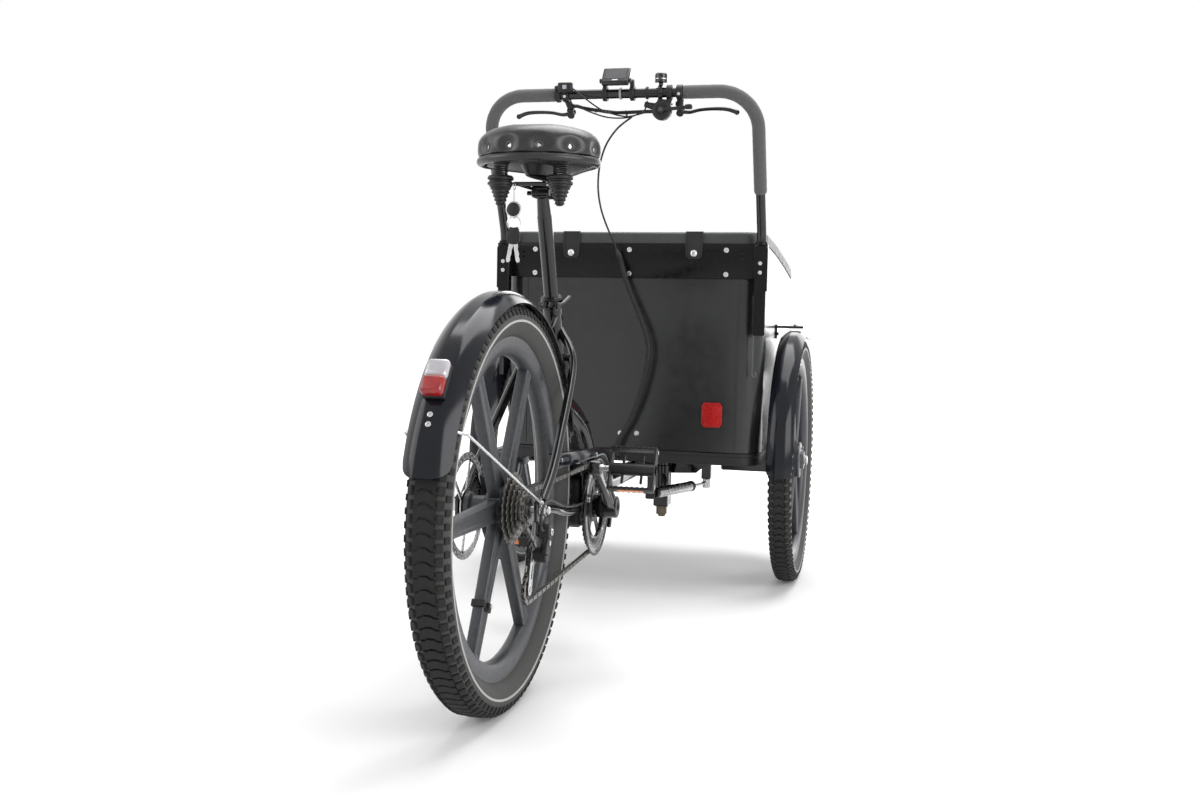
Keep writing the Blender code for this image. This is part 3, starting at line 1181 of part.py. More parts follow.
def pushBar(socketY):
    route = barRoute(socketY)
    place(tube("push_bar", route, BAR_RADIUS, 2), blackPaint, steerAxis)
    grip = [spot for spot in route if spot.x > 0.0 and spot.z > GRIP_LOW_Z]
    lowAfter = grip[0]
    lowBefore = route[route.index(lowAfter) - 1]
    share = (GRIP_LOW_Z - lowBefore.z) / (lowAfter.z - lowBefore.z)
    grip = [lowBefore.lerp(lowAfter, share)] + grip + [Vector((GRIP_INNER_X, BAR_TOP_Y, BAR_TOP_Z))]
    for name, side in (("left", -1.0), ("right", 1.0)):
        points = [Vector((side * spot.x, spot.y, spot.z)) for spot in grip]
        sleeve = tube("sleeve_" + name, points, GRIP_RADIUS, 2)
        bore = tube("grip_bore", route, BAR_RADIUS + PIN_GAP, 2)
        place(drilled("grip_" + name, sleeve, [bore]), foam, steerAxis)


barAxis = Vector((0.0, BAR_TOP_Y, BAR_TOP_Z))


def barClamp(x, width=CLAMP_WIDTH):
    side = Vector((1.0, 0.0, 0.0))
    middle = barAxis + side * x
    return rod("clamp", CLAMP_RADIUS, middle - side * width / 2.0, middle + side * width / 2.0, 14)


def barBore():
    return rod("bar_hole", BAR_RADIUS + PIN_GAP, barAxis - Vector((0.2, 0.0, 0.0)), barAxis + Vector((0.2, 0.0, 0.0)), 16)


leverAhead = Vector((0.0, 0.0300, -0.0370))


def glandX(clampX):
    # Where a lever's cable adjuster ends, towards the middle of the bar
    return clampX - 0.0125


def glandSpot(x):
    return barAxis + leverAhead * 0.60 + Vector((x, 0.0, 0.0))


def brakeLever(name, side, clampX):
    # The lever lies ahead of and below the bar, and swings towards it
    ahead = leverAhead
    hub = barAxis + Vector((side * (clampX - 0.004), 0.0, 0.0)) + ahead
    hinge = Vector((0.0, 0.777, 0.629)).normalized()
    axis = axisAt("brake_lever_" + name + "_axis", hub, steerAxis)
    body = [barClamp(side * clampX),
            rod("arm", 0.0080, barAxis + Vector((side * clampX, 0.0, 0.0)) + ahead * 0.25, hub - ahead * 0.30, 10),
            rod("fork_low", 0.0085, hub - hinge * 0.0095, hub - hinge * 0.0052, 10),
            rod("fork_high", 0.0085, hub + hinge * 0.0052, hub + hinge * 0.0095, 10),
            block("fork_back", (0.0150, 0.0070, 0.0190), hub - ahead.normalized() * 0.0115,
                  (atan2(hinge.z, hinge.y) - pi / 2.0, 0.0, 0.0)),
            rod("adjuster", BUNDLE_RADIUS + 0.0006, glandSpot(side * clampX), glandSpot(side * glandX(clampX)), 10)]
    place(welded("lever_body_" + name, body, [barBore()]), blackPlastic, steerAxis)
    flow = [(0.000, 0.0), (0.020, 0.002), (0.045, -0.006), (0.075, -0.009), (0.104, -0.008), (LEVER_LENGTH, 0.002)]
    out = ahead.normalized()
    points = [hub + Vector((side * reach, 0.0, 0.0)) + out * shift for reach, shift in flow]
    lever = [rod("lever_hub", 0.0065, hub - hinge * 0.0046, hub + hinge * 0.0046, 10),
             tube("lever_blade", points, LEVER_RADIUS, 1),
             ball("lever_end", 0.0066, points[-1], 6)]
    place(welded("brake_lever_" + name, lever), blackPaint, axis)


def remoteSwitch():
    side = Vector((1.0, 0.0, 0.0))
    clampWidth = 0.011
    body = barAxis + side * (REMOTE_X + 0.022) + Vector((0.0, -0.0260, 0.0115))
    items = [barClamp(REMOTE_X, clampWidth),
             block("remote_arm", (clampWidth + 0.003, 0.020, 0.010),
                   barAxis + side * (REMOTE_X + 0.0025) + Vector((0.0, -0.015, 0.012))),
             block("remote_case", (0.034, 0.016, 0.022), body, (0.0, 0.0, 0.0), 0.004)]
    well = block("button_well", (0.0106, 0.0060, 0.0106), body - Vector((0.0, 0.0080, 0.0)))
    place(welded("remote_switch", items, [barBore(), well]), blackPlastic, steerAxis)
    travel = 0.0010
    press = body - Vector((0.0, 0.0080 - 0.0003, 0.0))
    axis = axisAt("remote_button_axis", press, steerAxis)
    depth = 0.0030 - travel - GAP + 0.0012
    place(block("remote_button", (0.0098, depth, 0.0098), press + Vector((0.0, 0.0030 - travel - GAP - depth / 2.0 - 0.0003, 0.0))),
          screenGrey, axis)


def display():
    turn = (DISPLAY_TILT, 0.0, 0.0)
    spot = barAxis + Vector((0.0, -0.014, 0.036))
    items = [block("display_case", DISPLAY_SIZE[:2] + (DISPLAY_SIZE[2],), spot, (-DISPLAY_TILT, 0.0, 0.0))]
    cuts = [barBore()]
    for side in (-1.0, 1.0):
        x = side * DISPLAY_ARM_X
        items.append(barClamp(x, 0.009))
        items.append(block("display_arm", (0.0085, 0.012, 0.034), barAxis + Vector((x, -0.008, 0.0250)), (radians(14.0), 0.0, 0.0)))
        items.append(rod("display_ear", 0.0050, spot + Vector((side * 0.010, 0.0, 0.0)), spot + Vector((x + side * 0.004, 0.0, 0.0)), 8))
    place(welded("display", items, cuts), screenGrey, steerAxis)


def bell():
    side = Vector((1.0, 0.0, 0.0))
    post = barAxis + side * BELL_X
    items = [barClamp(BELL_X, 0.010),
             rod("bell_neck", 0.0050, post + Vector((0.0, 0.0, 0.012)), post + Vector((0.0, 0.0, 0.022)), 10),
             rod("bell_dome", 0.0130, post + Vector((0.0, 0.0, 0.0205)), post + Vector((0.0, 0.0, 0.0430)), 14)]
    place(welded("bell", items, [barBore()]), blackPaint, steerAxis)


def shifter():
    side = Vector((1.0, 0.0, 0.0))
    body = barAxis + Vector((SHIFTER_X - 0.016, 0.0, -0.0395))
    front = body + Vector((0.0, 0.012, 0.0))
    back = body - Vector((0.0, 0.012, 0.0))
    items = [barClamp(SHIFTER_X, 0.012),
             rod("shifter_arm", 0.0055, barAxis + side * SHIFTER_X + Vector((0.0, 0.0, -0.014)), body + side * 0.006, 8),
             rod("shifter_drum", 0.0195, back, front, 16)]
    pin = 0.0040
    items.append(rod("shifter_pin", pin, back - Vector((0.0, 0.0080, 0.0)), back + Vector((0.0, 0.004, 0.0)), 10))
    place(welded("shifter", items, [barBore()]), blackPlastic, steerAxis)
    pivot = back - Vector((0.0, 0.0042, 0.0))
    axis = axisAt("shift_lever_axis", pivot, steerAxis)
    arm = [rod("shift_boss", 0.0085, pivot - Vector((0.0, 0.0035, 0.0)), pivot + Vector((0.0, 0.0035, 0.0)), 12),
           block("shift_arm", (0.060, 0.0055, 0.0080), pivot + Vector((0.033, 0.0, 0.0020)), (0.0, radians(-4.0), 0.0)),
           block("shift_pad", (0.016, 0.0120, 0.0100), pivot + Vector((0.062, -0.003, 0.0040)), (0.0, 0.0, 0.0), 0.002)]
    hole = rod("shift_hole", pin + PIN_GAP, pivot - Vector((0.0, 0.01, 0.0)), pivot + Vector((0.0, 0.01, 0.0)), 10)
    place(welded("shift_lever", arm, [hole]), blackPlastic, axis)


# Steering damper

def steeringDamper():
    fixedAxis = axisAt("damper_axis", damperFixed, trike)
    rodAxis = axisAt("damper_rod_axis", damperMoving, fixedAxis)
    up = Vector((0.0, 0.0, 1.0))
    items = [rod("damper_eye", DAMPER_EYE_RADIUS, damperFixed - up * DAMPER_EYE_RADIUS, damperFixed + up * DAMPER_EYE_RADIUS, 14),
             rod("damper_tube", DAMPER_RADIUS - 0.0005, damperFixed + damperRun * 0.006, damperFixed + damperRun * DAMPER_TUBE_END, 16)]
    bore = rod("damper_bore", DAMPER_ROD_RADIUS + PIN_GAP, damperFixed + damperRun * 0.016,
               damperFixed + damperRun * (DAMPER_TUBE_END + 0.01), 12)
    place(welded("damper_cylinder", items, [bore]), blackPaint, fixedAxis)
    items = [rod("rod_eye", 0.011, damperMoving - up * DAMPER_EYE_RADIUS, damperMoving + up * DAMPER_EYE_RADIUS, 14),
             rod("rod_shaft", DAMPER_ROD_RADIUS, damperMoving - damperRun * DAMPER_ROD_LENGTH, damperMoving - damperRun * 0.004, 12)]
    place(welded("damper_rod", items), steel, rodAxis)


# Cords on the push bar and down to the box

def cords():
    gland = glandSpot(GAP - glandX(LEVER_CLAMP_X))
    reel = Vector((SHIFTER_X - 0.016 - 0.0195 - 0.0006, BAR_TOP_Y, 1.1145))
    sag = [gland + Vector((0.008, 0.0, 0.0)), (-0.080, 0.808, 1.1265), (-0.045, 0.799, 1.1185),
           (-0.005, 0.793, 1.1135), (0.035, 0.793, 1.1130), reel - Vector((0.008, 0.0, 0.0))]
    route = [gland] + smoothRoute(sag, 3) + [reel]
    place(tube("cable_bundle", route, BUNDLE_RADIUS, 1), blackPlastic, steerAxis)
    thin = [(0.033, 0.7880, 1.1047), (0.028, 0.787, 1.099), (0.000, 0.790, 1.079), (-0.030, 0.806, 1.045), (-0.050, 0.828, 1.000),
            (-0.058, 0.850, 0.950), (-0.055, 0.874, 0.903), (-0.044, 0.901, 0.860), (-0.032, 0.922, 0.825)]
    skirtZ = (FLOOR_BOTTOM + BOX_BOTTOM) / 2.0
    thick = [(-0.021, 0.932, 0.792), (-0.006, 0.930, 0.745), (0.018, 0.926, 0.690), (0.040, 0.922, 0.640),
             (0.054, 0.920, 0.580), (0.040, 0.920, 0.495), (0.014, 0.924, 0.420),
             (-0.010, 0.9245, 0.378), (-0.021, 0.9275, 0.350), (-0.0255, 0.9340, 0.3380),
             (-0.026, 0.9430, skirtZ), (-0.026, BOX_REAR_Y - FLOOR_GLAND - GAP, skirtZ)]
    fine = smoothRoute(thin + thick[:2], 2)[:-4]
    coarse = smoothRoute(thin[-1:] + thick[:-1], 2)[2:] + [Vector(thick[-1])]
    share = THIN_CABLE_RADIUS / HARNESS_RADIUS
    route = fine + [fine[-1].lerp(coarse[0], 0.85)] + coarse
    thickness = [share] * (len(fine) + 1) + [1.0] * len(coarse)
    length = sum((b - a).length for a, b in zip(route, route[1:]))
    print("harness length", round(length, 3), "m in", len(route), "points")
    place(tube("harness", route, HARNESS_RADIUS, 1, thickness), blackPlastic, steerAxis)


rearFrame()
seatClamp()
rearMotor()
rearAxleRod()
rearMudguard()
guardStay()
brakeCaliper()
chain()
chainGuard()
derailleur()
cassette()
crankset()
pedal("right", 1.0, PEDAL_TILT_RIGHT)
pedal("left", -1.0, PEDAL_TILT_LEFT)
rearWheel()
frontWheel("left", -1.0)
frontWheel("right", 1.0)
saddleRails(saddle())
saddleSpring("saddle_spring_left", -1.0)
saddleSpring("saddle_spring_right", 1.0)
seatpost()
cargoBox()
barSocketY = barCarrier()
subframe()
frontMudguard("left", -1.0)
frontMudguard("right", 1.0)
pushBar(barSocketY)
brakeLever("left", -1.0, LEVER_CLAMP_X)
brakeLever("right", 1.0, LEVER_CLAMP_RIGHT_X)
remoteSwitch()
display()
bell()
shifter()
steeringDamper()
cords()

# The origin goes to the floor under the middle of the length
bpy.context.view_layer.update()
depsgraph = bpy.context.evaluated_depsgraph_get()
reach = []
for item in parts.objects:
    if item.type != "EMPTY":
        seen = item.evaluated_get(depsgraph)
        reach += [(seen.matrix_world @ vert.co).y for vert in seen.to_mesh().vertices]
        seen.to_mesh_clear()
trike.location.y = -(min(reach) + max(reach)) / 2.0
print("rear wheel's contact point is at y", round(trike.location.y, 5))
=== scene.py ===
import bpy
import json
from math import sin, cos, pi, radians, atan2, acos, hypot, sqrt
from mathutils import Vector, Matrix

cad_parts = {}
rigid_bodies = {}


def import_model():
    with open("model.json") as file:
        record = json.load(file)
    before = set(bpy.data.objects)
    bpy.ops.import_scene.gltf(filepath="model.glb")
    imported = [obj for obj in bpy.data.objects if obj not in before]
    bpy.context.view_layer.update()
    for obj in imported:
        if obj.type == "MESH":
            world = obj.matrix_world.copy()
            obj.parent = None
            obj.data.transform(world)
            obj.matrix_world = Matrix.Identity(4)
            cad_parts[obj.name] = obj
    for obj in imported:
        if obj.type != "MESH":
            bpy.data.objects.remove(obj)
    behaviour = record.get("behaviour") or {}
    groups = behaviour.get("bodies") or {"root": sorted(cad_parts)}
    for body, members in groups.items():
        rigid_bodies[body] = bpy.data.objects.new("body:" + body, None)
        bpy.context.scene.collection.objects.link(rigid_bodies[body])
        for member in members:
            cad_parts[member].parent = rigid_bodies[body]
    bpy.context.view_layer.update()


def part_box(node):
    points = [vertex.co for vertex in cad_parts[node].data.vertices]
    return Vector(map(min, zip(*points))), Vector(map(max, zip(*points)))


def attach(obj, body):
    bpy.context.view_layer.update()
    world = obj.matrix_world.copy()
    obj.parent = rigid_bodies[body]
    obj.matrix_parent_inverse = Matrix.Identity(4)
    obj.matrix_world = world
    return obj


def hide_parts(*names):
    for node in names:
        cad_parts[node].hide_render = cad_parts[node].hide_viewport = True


for item in list(bpy.data.objects):      # Blender's own first cube, lamp and camera
    bpy.data.objects.remove(item)
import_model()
tyreLow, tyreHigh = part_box("rear_tyre")
axleY = (tyreLow.y + tyreHigh.y) / 2.0      # the rear axle's place along the trike
print("frame loaded, rear axle at y", round(axleY, 4))


def spot(x, y, z):      # a point given from the rear wheel's foot
    return Vector((x, y + axleY, z))


# Driving sizes, the same as in the part's source

trike = {"rearRadius": 0.340, "frontRadius": 0.307, "wheelbase": 1.25, "halfTrack": 0.362, "kingpinY": 1.39,
         "crankY": 0.435, "crankZ": 0.285, "boxRear": 0.955, "gap": 0.0003}
bothSides = ((-1.0, "left"), (1.0, "right"))
sideways, onward, upward = Vector((1.0, 0.0, 0.0)), Vector((0.0, 1.0, 0.0)), Vector((0.0, 0.0, 1.0))
rearHub = spot(0.0, 0.0, trike["rearRadius"])
crankSpot = spot(0.0, trike["crankY"], trike["crankZ"])


def frontHub(side):
    return spot(side * trike["halfTrack"], trike["wheelbase"], trike["frontRadius"])


def aimed(angle):       # a direction in the wheels' plane, in degrees up from straight ahead
    return Vector((0.0, cos(radians(angle)), sin(radians(angle))))


# Modelling helpers

weld = 0.00002      # points closer than this become one


def enterEdit():
    bpy.ops.object.mode_set(mode="EDIT")


def leaveEdit():
    bpy.ops.object.mode_set(mode="OBJECT")


def selectAll():
    bpy.ops.mesh.select_all(action="SELECT")


def clearAll():
    if bpy.context.object and bpy.context.object.mode != "OBJECT":
        leaveEdit()
    bpy.ops.object.select_all(action="DESELECT")


def pick(*items):
    clearAll()
    for item in items:
        item.select_set(True)
    bpy.context.view_layer.objects.active = items[0]


def settle(item):       # place, turn and size go into the mesh
    pick(item)
    bpy.ops.object.transform_apply(location=True, rotation=True, scale=True)
    return item


def edit(item):
    pick(item)
    enterEdit()
    bpy.ops.mesh.select_all(action="DESELECT")
    leaveEdit()


def selectFaces(item, wanted):      # wanted looks at a face's middle and normal
    edit(item)
    for face in item.data.polygons:
        face.select = wanted(face.center, face.normal)
    enterEdit()
    bpy.ops.mesh.select_mode(type="FACE")


def apply(item, modifier):
    pick(item)
    bpy.ops.object.modifier_apply(modifier=modifier.name)
    return item


def facesOut(item):
    pick(item)
    enterEdit()
    selectAll()
    bpy.ops.mesh.normals_make_consistent(inside=False)
    leaveEdit()
    return item


def rounded(item, width, segments=2, angle=30.0):
    soft = item.modifiers.new("rounding", "BEVEL")
    soft.width = width
    soft.segments = segments
    soft.limit_method = "ANGLE"
    soft.angle_limit = radians(angle)
    return apply(item, soft)


def smooth(item, angle=35.0):
    pick(item)
    bpy.ops.object.shade_smooth_by_angle(angle=radians(angle))
    return item


def box(name, size, at, turn=(0.0, 0.0, 0.0), rounding=0.0, segments=2):
    clearAll()
    bpy.ops.mesh.primitive_cube_add(size=1.0, location=at, rotation=turn)
    item = bpy.context.object
    item.name = name
    item.scale = size
    settle(item)
    if rounding:
        rounded(item, rounding, segments)
    return item


def rod(name, radius, start, end, sides=24, endRadius=None, rounding=0.0, segments=2):
    run = Vector(end) - Vector(start)
    turn = run.to_track_quat("Z", "Y").to_euler()
    clearAll()
    bpy.ops.mesh.primitive_cone_add(vertices=sides, radius1=radius, depth=run.length, rotation=turn,
                                    radius2=radius if endRadius is None else endRadius,
                                    location=(Vector(start) + Vector(end)) / 2.0)
    item = settle(bpy.context.object)
    item.name = name
    if rounding:
        rounded(item, rounding, segments, 50.0)
    return item


def ball(name, radius, at, squashTo=(1.0, 1.0, 1.0), sides=20, rings=12):
    clearAll()
    bpy.ops.mesh.primitive_uv_sphere_add(segments=sides, ring_count=rings, radius=radius, location=at)
    item = bpy.context.object
    item.name = name
    item.scale = squashTo
    return settle(item)


def hose(name, points, radius, detail=4, cyclic=False, thickness=None):
    data = bpy.data.curves.new(name, "CURVE")
    data.dimensions = "3D"
    data.bevel_depth = radius
    data.bevel_resolution = detail
    data.use_fill_caps = True
    line = data.splines.new("POLY")
    line.points.add(len(points) - 1)
    for index, point in enumerate(points):
        line.points[index].co = (*point, 1.0)
        line.points[index].radius = thickness[index] if thickness else 1.0
    line.use_cyclic_u = cyclic
    item = bpy.data.objects.new(name, data)
    bpy.context.scene.collection.objects.link(item)
    pick(item)
    bpy.ops.object.convert(target="MESH")
    item = bpy.context.object
    enterEdit()
    selectAll()
    bpy.ops.mesh.remove_doubles(threshold=weld)
    leaveEdit()
    return smooth(item)


def drawn(name, at, corners):       # one vertex pushed from corner to corner, left selected in edit mode
    clearAll()
    bpy.ops.mesh.primitive_plane_add(size=0.001, location=at)
    item = bpy.context.object
    item.name = name
    settle(item)
    enterEdit()
    bpy.ops.mesh.select_mode(type="VERT")
    selectAll()
    bpy.ops.mesh.merge(type="CENTER")
    bpy.ops.transform.translate(value=corners[0])
    for here, there in zip(corners, corners[1:]):
        bpy.ops.mesh.extrude_region_move(TRANSFORM_OT_translate={"value": there - here})
    selectAll()
    return item


def turnAbout(at, angle, axis):     # in degrees round an axis through a point
    return Matrix.Translation(at) @ Matrix.Rotation(radians(angle), 4, axis) @ Matrix.Translation(-Vector(at))


def spun(name, profile, at, axis="X", steps=64, closed=False, start=0.0, sweep=360.0):
    # The profile holds the distance from the axis and the place along it
    lay = {"X": lambda out, along: Vector((along, out, 0.0)),
           "Y": lambda out, along: Vector((out, along, 0.0)),
           "Z": lambda out, along: Vector((out, 0.0, along))}[axis]
    item = drawn(name, at, [lay(*point) for point in profile + (profile[:1] if closed else [])])
    if start:
        leaveEdit()
        item.matrix_world = turnAbout(at, start, axis)
        settle(item)
        enterEdit()
        selectAll()
    around = [float(letter == axis) for letter in "XYZ"]
    bpy.ops.mesh.spin(steps=steps, angle=-radians(sweep), center=at, axis=around)
    selectAll()
    bpy.ops.mesh.remove_doubles(threshold=weld)
    bpy.ops.mesh.normals_make_consistent(inside=False)
    leaveEdit()
    return smooth(item)


def ringOf(item, count, at):        # copies round an axis that runs sideways
    pick(item)
    bpy.context.scene.cursor.location = at
    bpy.ops.object.origin_set(type="ORIGIN_CURSOR")
    clearAll()
    bpy.ops.object.empty_add(location=at)
    turner = bpy.context.object
    turner.rotation_euler.x = radians(360.0 / count)
    copies = item.modifiers.new("ring", "ARRAY")
    copies.count = count
    copies.use_relative_offset = False
    copies.use_object_offset = True
    copies.offset_object = turner
    apply(item, copies)
    bpy.data.objects.remove(turner)
    return settle(item)


def rowOf(item, count, step):       # copies in a straight row
    copies = item.modifiers.new("row", "ARRAY")
    copies.count = count
    copies.use_relative_offset = False
    copies.use_constant_offset = True
    copies.constant_offset_displace = step
    return apply(item, copies)


def copied(item, name, shift=(0.0, 0.0, 0.0)):
    pick(item)
    bpy.ops.object.duplicate(linked=False)
    twin = bpy.context.object
    twin.name = name
    twin.location = Vector(shift)
    return settle(twin)


def mirrored(item, name):       # the same piece on the trike's other side
    twin = copied(item, name)
    twin.scale.x = -1.0
    return facesOut(settle(twin))


def joined(name, items):
    pick(*items)
    if len(items) > 1:
        bpy.ops.object.join()
    items[0].name = name
    return items[0]


def cut(item, tools):
    for tool in tools:
        knife = item.modifiers.new("opening", "BOOLEAN")
        knife.object = tool
        knife.operation = "DIFFERENCE"
        knife.solver = "EXACT"
        apply(item, knife)
        bpy.data.objects.remove(tool)
    return item


def walled(item, thickness, offset=-1.0):
    wall = item.modifiers.new("wall", "SOLIDIFY")
    wall.thickness = thickness
    wall.offset = offset
    return apply(item, wall)


def slab(name, outline, thickness, at, turn=(0.0, 0.0, 0.0), rounding=0.0):
    # A flat outline, filled, given depth and rounded
    item = drawn(name, (0.0, 0.0, 0.0), [Vector((across, up, 0.0)) for across, up in outline])
    bpy.ops.mesh.edge_face_add()
    bpy.ops.mesh.normals_make_consistent(inside=False)
    leaveEdit()
    item.location = at
    item.rotation_euler = turn
    facesOut(walled(settle(item), thickness, 0.0))
    if rounding:
        rounded(item, rounding, 2, 40.0)
    return smooth(item)


sideOn = (pi / 2.0, 0.0, pi / 2.0)      # turns a slab's x and y into the trike's y and z


def paint(item, finish):
    item.data.materials.clear()
    item.data.materials.append(finish)
    return item


def fitted(item, look, body, slot, *nodes):     # nodes are the solids that the piece stands for
    if look:
        paint(item, look)
    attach(item, body)
    if nodes:
        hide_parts(*nodes)
    return item


def curveThrough(knots, steps):     # a smooth line through the knots
    spots = [Vector(knot) for knot in knots]
    spots = [2 * spots[0] - spots[1]] + spots + [2 * spots[-1] - spots[-2]]
    route = []
    for index in range(1, len(spots) - 2):
        before, start, end, after = spots[index - 1:index + 3]
        for step in range(steps):
            t = step / steps
            route.append(0.5 * (2 * start + (end - before) * t
                                + (2 * before - 5 * start + 4 * end - after) * t * t
                                + (3 * start - before - 3 * end + after) * t ** 3))
    return route + [spots[-2]]


def roundedCorners(corners, radius, steps):
    spots = [Vector(corner) for corner in corners]
    route = [spots[0]]
    for before, corner, after in zip(spots, spots[1:], spots[2:]):
        back = (before - corner).normalized()
        ahead = (after - corner).normalized()
        half = back.angle(ahead) / 2.0
        bisector = (back + ahead).normalized()
        centre = corner + bisector * (radius / sin(half))
        along = (ahead - bisector * ahead.dot(bisector)).normalized()
        for step in range(steps + 1):
            turn = (pi - 2.0 * half) * (step / steps - 0.5)
            route.append(centre + radius * (cos(turn) * -bisector + sin(turn) * along))
    return route + [spots[-1]]


# Finishes

def added(tree, kind, **values):        # a shader node with its inputs, where _ stands for a space
    node = tree.nodes.new("ShaderNode" + kind)
    for name, value in values.items():
        node.inputs[name.replace("_", " ")].default_value = value
    return node


def wired(tree, *runs):     # each run goes from a node's output to another node's input
    for start, output, end, entry in runs:
        tree.links.new(start.outputs[output], end.inputs[entry])


def newLook(name):
    look = bpy.data.materials.new(name)
    look.use_nodes = True
    return look, look.node_tree, look.node_tree.nodes["Principled BSDF"]


def finish(name, colour, shade, roughness, metallic=0.0, grain=60.0, bump=0.1, bumpGrain=900.0, spread=0.08,
           depth=0.0006, coat=0.0, sheen=0.0, specular=0.5):
    # Two close colours mottled by noise, roughness that wanders, and a fine bump
    look, tree, shader = newLook(name)
    for entry, value in (("Metallic", metallic), ("Coat Weight", coat), ("Coat Roughness", 0.06),
                         ("Sheen Weight", sheen), ("Specular IOR Level", specular)):
        shader.inputs[entry].default_value = value
    place = added(tree, "TexCoord")
    mottle = added(tree, "TexNoise", Scale=grain, Detail=4.0)
    ramp = added(tree, "ValToRGB")
    for stop, position, tone in zip(ramp.color_ramp.elements, (0.32, 0.68), (shade, colour)):
        stop.position, stop.color = position, (*tone, 1.0)
    wander = added(tree, "MapRange", From_Min=0.3, From_Max=0.7, To_Min=max(0.02, roughness - spread),
                   To_Max=min(1.0, roughness + spread))
    fine = added(tree, "TexNoise", Scale=bumpGrain, Detail=3.0)
    rise = added(tree, "Bump", Strength=bump, Distance=depth)
    wired(tree, (place, "Object", mottle, "Vector"), (mottle, "Fac", ramp, "Fac"),
          (ramp, "Color", shader, "Base Color"), (mottle, "Fac", wander, "Value"),
          (wander, "Result", shader, "Roughness"), (place, "Object", fine, "Vector"),
          (fine, "Fac", rise, "Height"), (rise, "Normal", shader, "Normal"))
    return look


def raised(look, pattern, output, strength, depth=0.0008):      # a pattern bumps in place of the fine noise
    tree = look.node_tree
    rise = tree.nodes["Bump"]
    rise.inputs["Strength"].default_value = strength
    rise.inputs["Distance"].default_value = depth
    wired(tree, (tree.nodes["Texture Coordinate"], "Object", pattern, "Vector"),
          (pattern, output, rise, "Height"))
    return look


def pebbled(look, grain, strength):     # a leather-like grain
    cells = added(look.node_tree, "TexVoronoi", Scale=grain)
    cells.feature = "SMOOTH_F1"
    return raised(look, cells, "Distance", strength)


def ribbed(look, direction, pitch, strength):       # moulded or woven ribs across one axis
    wave = added(look.node_tree, "TexWave", Scale=2.0 * pi / (20.0 * pitch))
    wave.bands_direction = direction
    return raised(look, wave, "Fac", strength)


glossPaint = finish("gloss_black_paint", (0.0050, 0.0050, 0.0055), (0.0036, 0.0036, 0.0040), 0.11, grain=30.0,
                    bump=0.03, bumpGrain=220.0, spread=0.03, specular=0.50)
castAlloy = finish("cast_alloy", (0.066, 0.068, 0.074), (0.052, 0.054, 0.058), 0.38, metallic=0.45,
                   grain=140.0, bump=0.12, bumpGrain=1600.0)
darkAlloy = finish("dark_alloy", (0.10, 0.10, 0.105), (0.075, 0.075, 0.08), 0.45, metallic=0.7, grain=120.0,
                   bump=0.12, bumpGrain=1500.0)
brightSteel = finish("bright_steel", (0.62, 0.62, 0.62), (0.52, 0.52, 0.53), 0.26, metallic=1.0, grain=200.0,
                     bump=0.05, bumpGrain=2500.0)
blackPlastic = finish("black_plastic", (0.0110, 0.0110, 0.0115), (0.0080, 0.0080, 0.0085), 0.44, grain=180.0,
                      bump=0.22, bumpGrain=1900.0, specular=0.36)
tyreRubber = finish("tyre_rubber", (0.0130, 0.0129, 0.0124), (0.0090, 0.0089, 0.0086), 0.74, grain=90.0,
                    bump=0.3, bumpGrain=1400.0, specular=0.34)
tyreSide = finish("tyre_sidewall", (0.0560, 0.0555, 0.0540), (0.0440, 0.0436, 0.0425), 0.70, grain=70.0,
                  bump=0.25, bumpGrain=1300.0, specular=0.34)
foamGrip = finish("foam_grip", (0.105, 0.105, 0.105), (0.070, 0.070, 0.070), 0.93, grain=420.0, bump=0.6,
                  bumpGrain=1500.0, depth=0.0010, sheen=0.3)
saddleVinyl = pebbled(finish("saddle_vinyl", (0.0170, 0.0170, 0.0175), (0.0125, 0.0125, 0.0130), 0.30,
                             grain=90.0, spread=0.04, specular=0.45), 900.0, 0.22)
coverVinyl = pebbled(finish("cover_vinyl", (0.0430, 0.0450, 0.0446), (0.0360, 0.0377, 0.0374), 0.46,
                            grain=35.0, spread=0.06, specular=0.40), 800.0, 0.30)
guardGloss = finish("mudguard_gloss", (0.0070, 0.0078, 0.0120), (0.0050, 0.0056, 0.0090), 0.15, grain=24.0,
                    bump=0.02, bumpGrain=160.0, spread=0.03, specular=0.26)
panelMatt = finish("matt_panel", (0.0130, 0.0137, 0.0134), (0.0100, 0.0106, 0.0104), 0.24, grain=55.0,
                   bump=0.03, bumpGrain=1700.0, spread=0.03, depth=0.0002)
bandBlack = finish("band_black", (0.0050, 0.0050, 0.0052), (0.0036, 0.0036, 0.0038), 0.24, grain=90.0,
                   bump=0.03, bumpGrain=1500.0, specular=0.18)
webbing = ribbed(finish("strap_webbing", (0.019, 0.019, 0.019), (0.013, 0.013, 0.013), 0.62, grain=300.0,
                        specular=0.3), "Z", 0.0018, 0.6)
redLens = ribbed(finish("red_lens", (0.36, 0.010, 0.012), (0.24, 0.006, 0.008), 0.20, grain=70.0, coat=0.2),
                 "X", 0.0030, 0.35)
clearLens = ribbed(finish("clear_lens", (0.52, 0.50, 0.53), (0.42, 0.40, 0.43), 0.10, grain=60.0, coat=1.0,
                          metallic=0.3), "X", 0.0030, 0.35)
redReflector = pebbled(finish("red_reflector", (0.40, 0.004, 0.003), (0.26, 0.003, 0.002), 0.30,
                              specular=0.25, grain=200.0), 420.0, 0.6)
orangeReflector = pebbled(finish("orange_reflector", (0.80, 0.20, 0.02), (0.62, 0.14, 0.015), 0.16, coat=1.0,
                                 grain=200.0), 420.0, 0.6)
whiteStripe = finish("reflective_stripe", (0.42, 0.42, 0.41), (0.34, 0.34, 0.33), 0.55, grain=260.0, bump=0.2,
                     bumpGrain=1500.0)
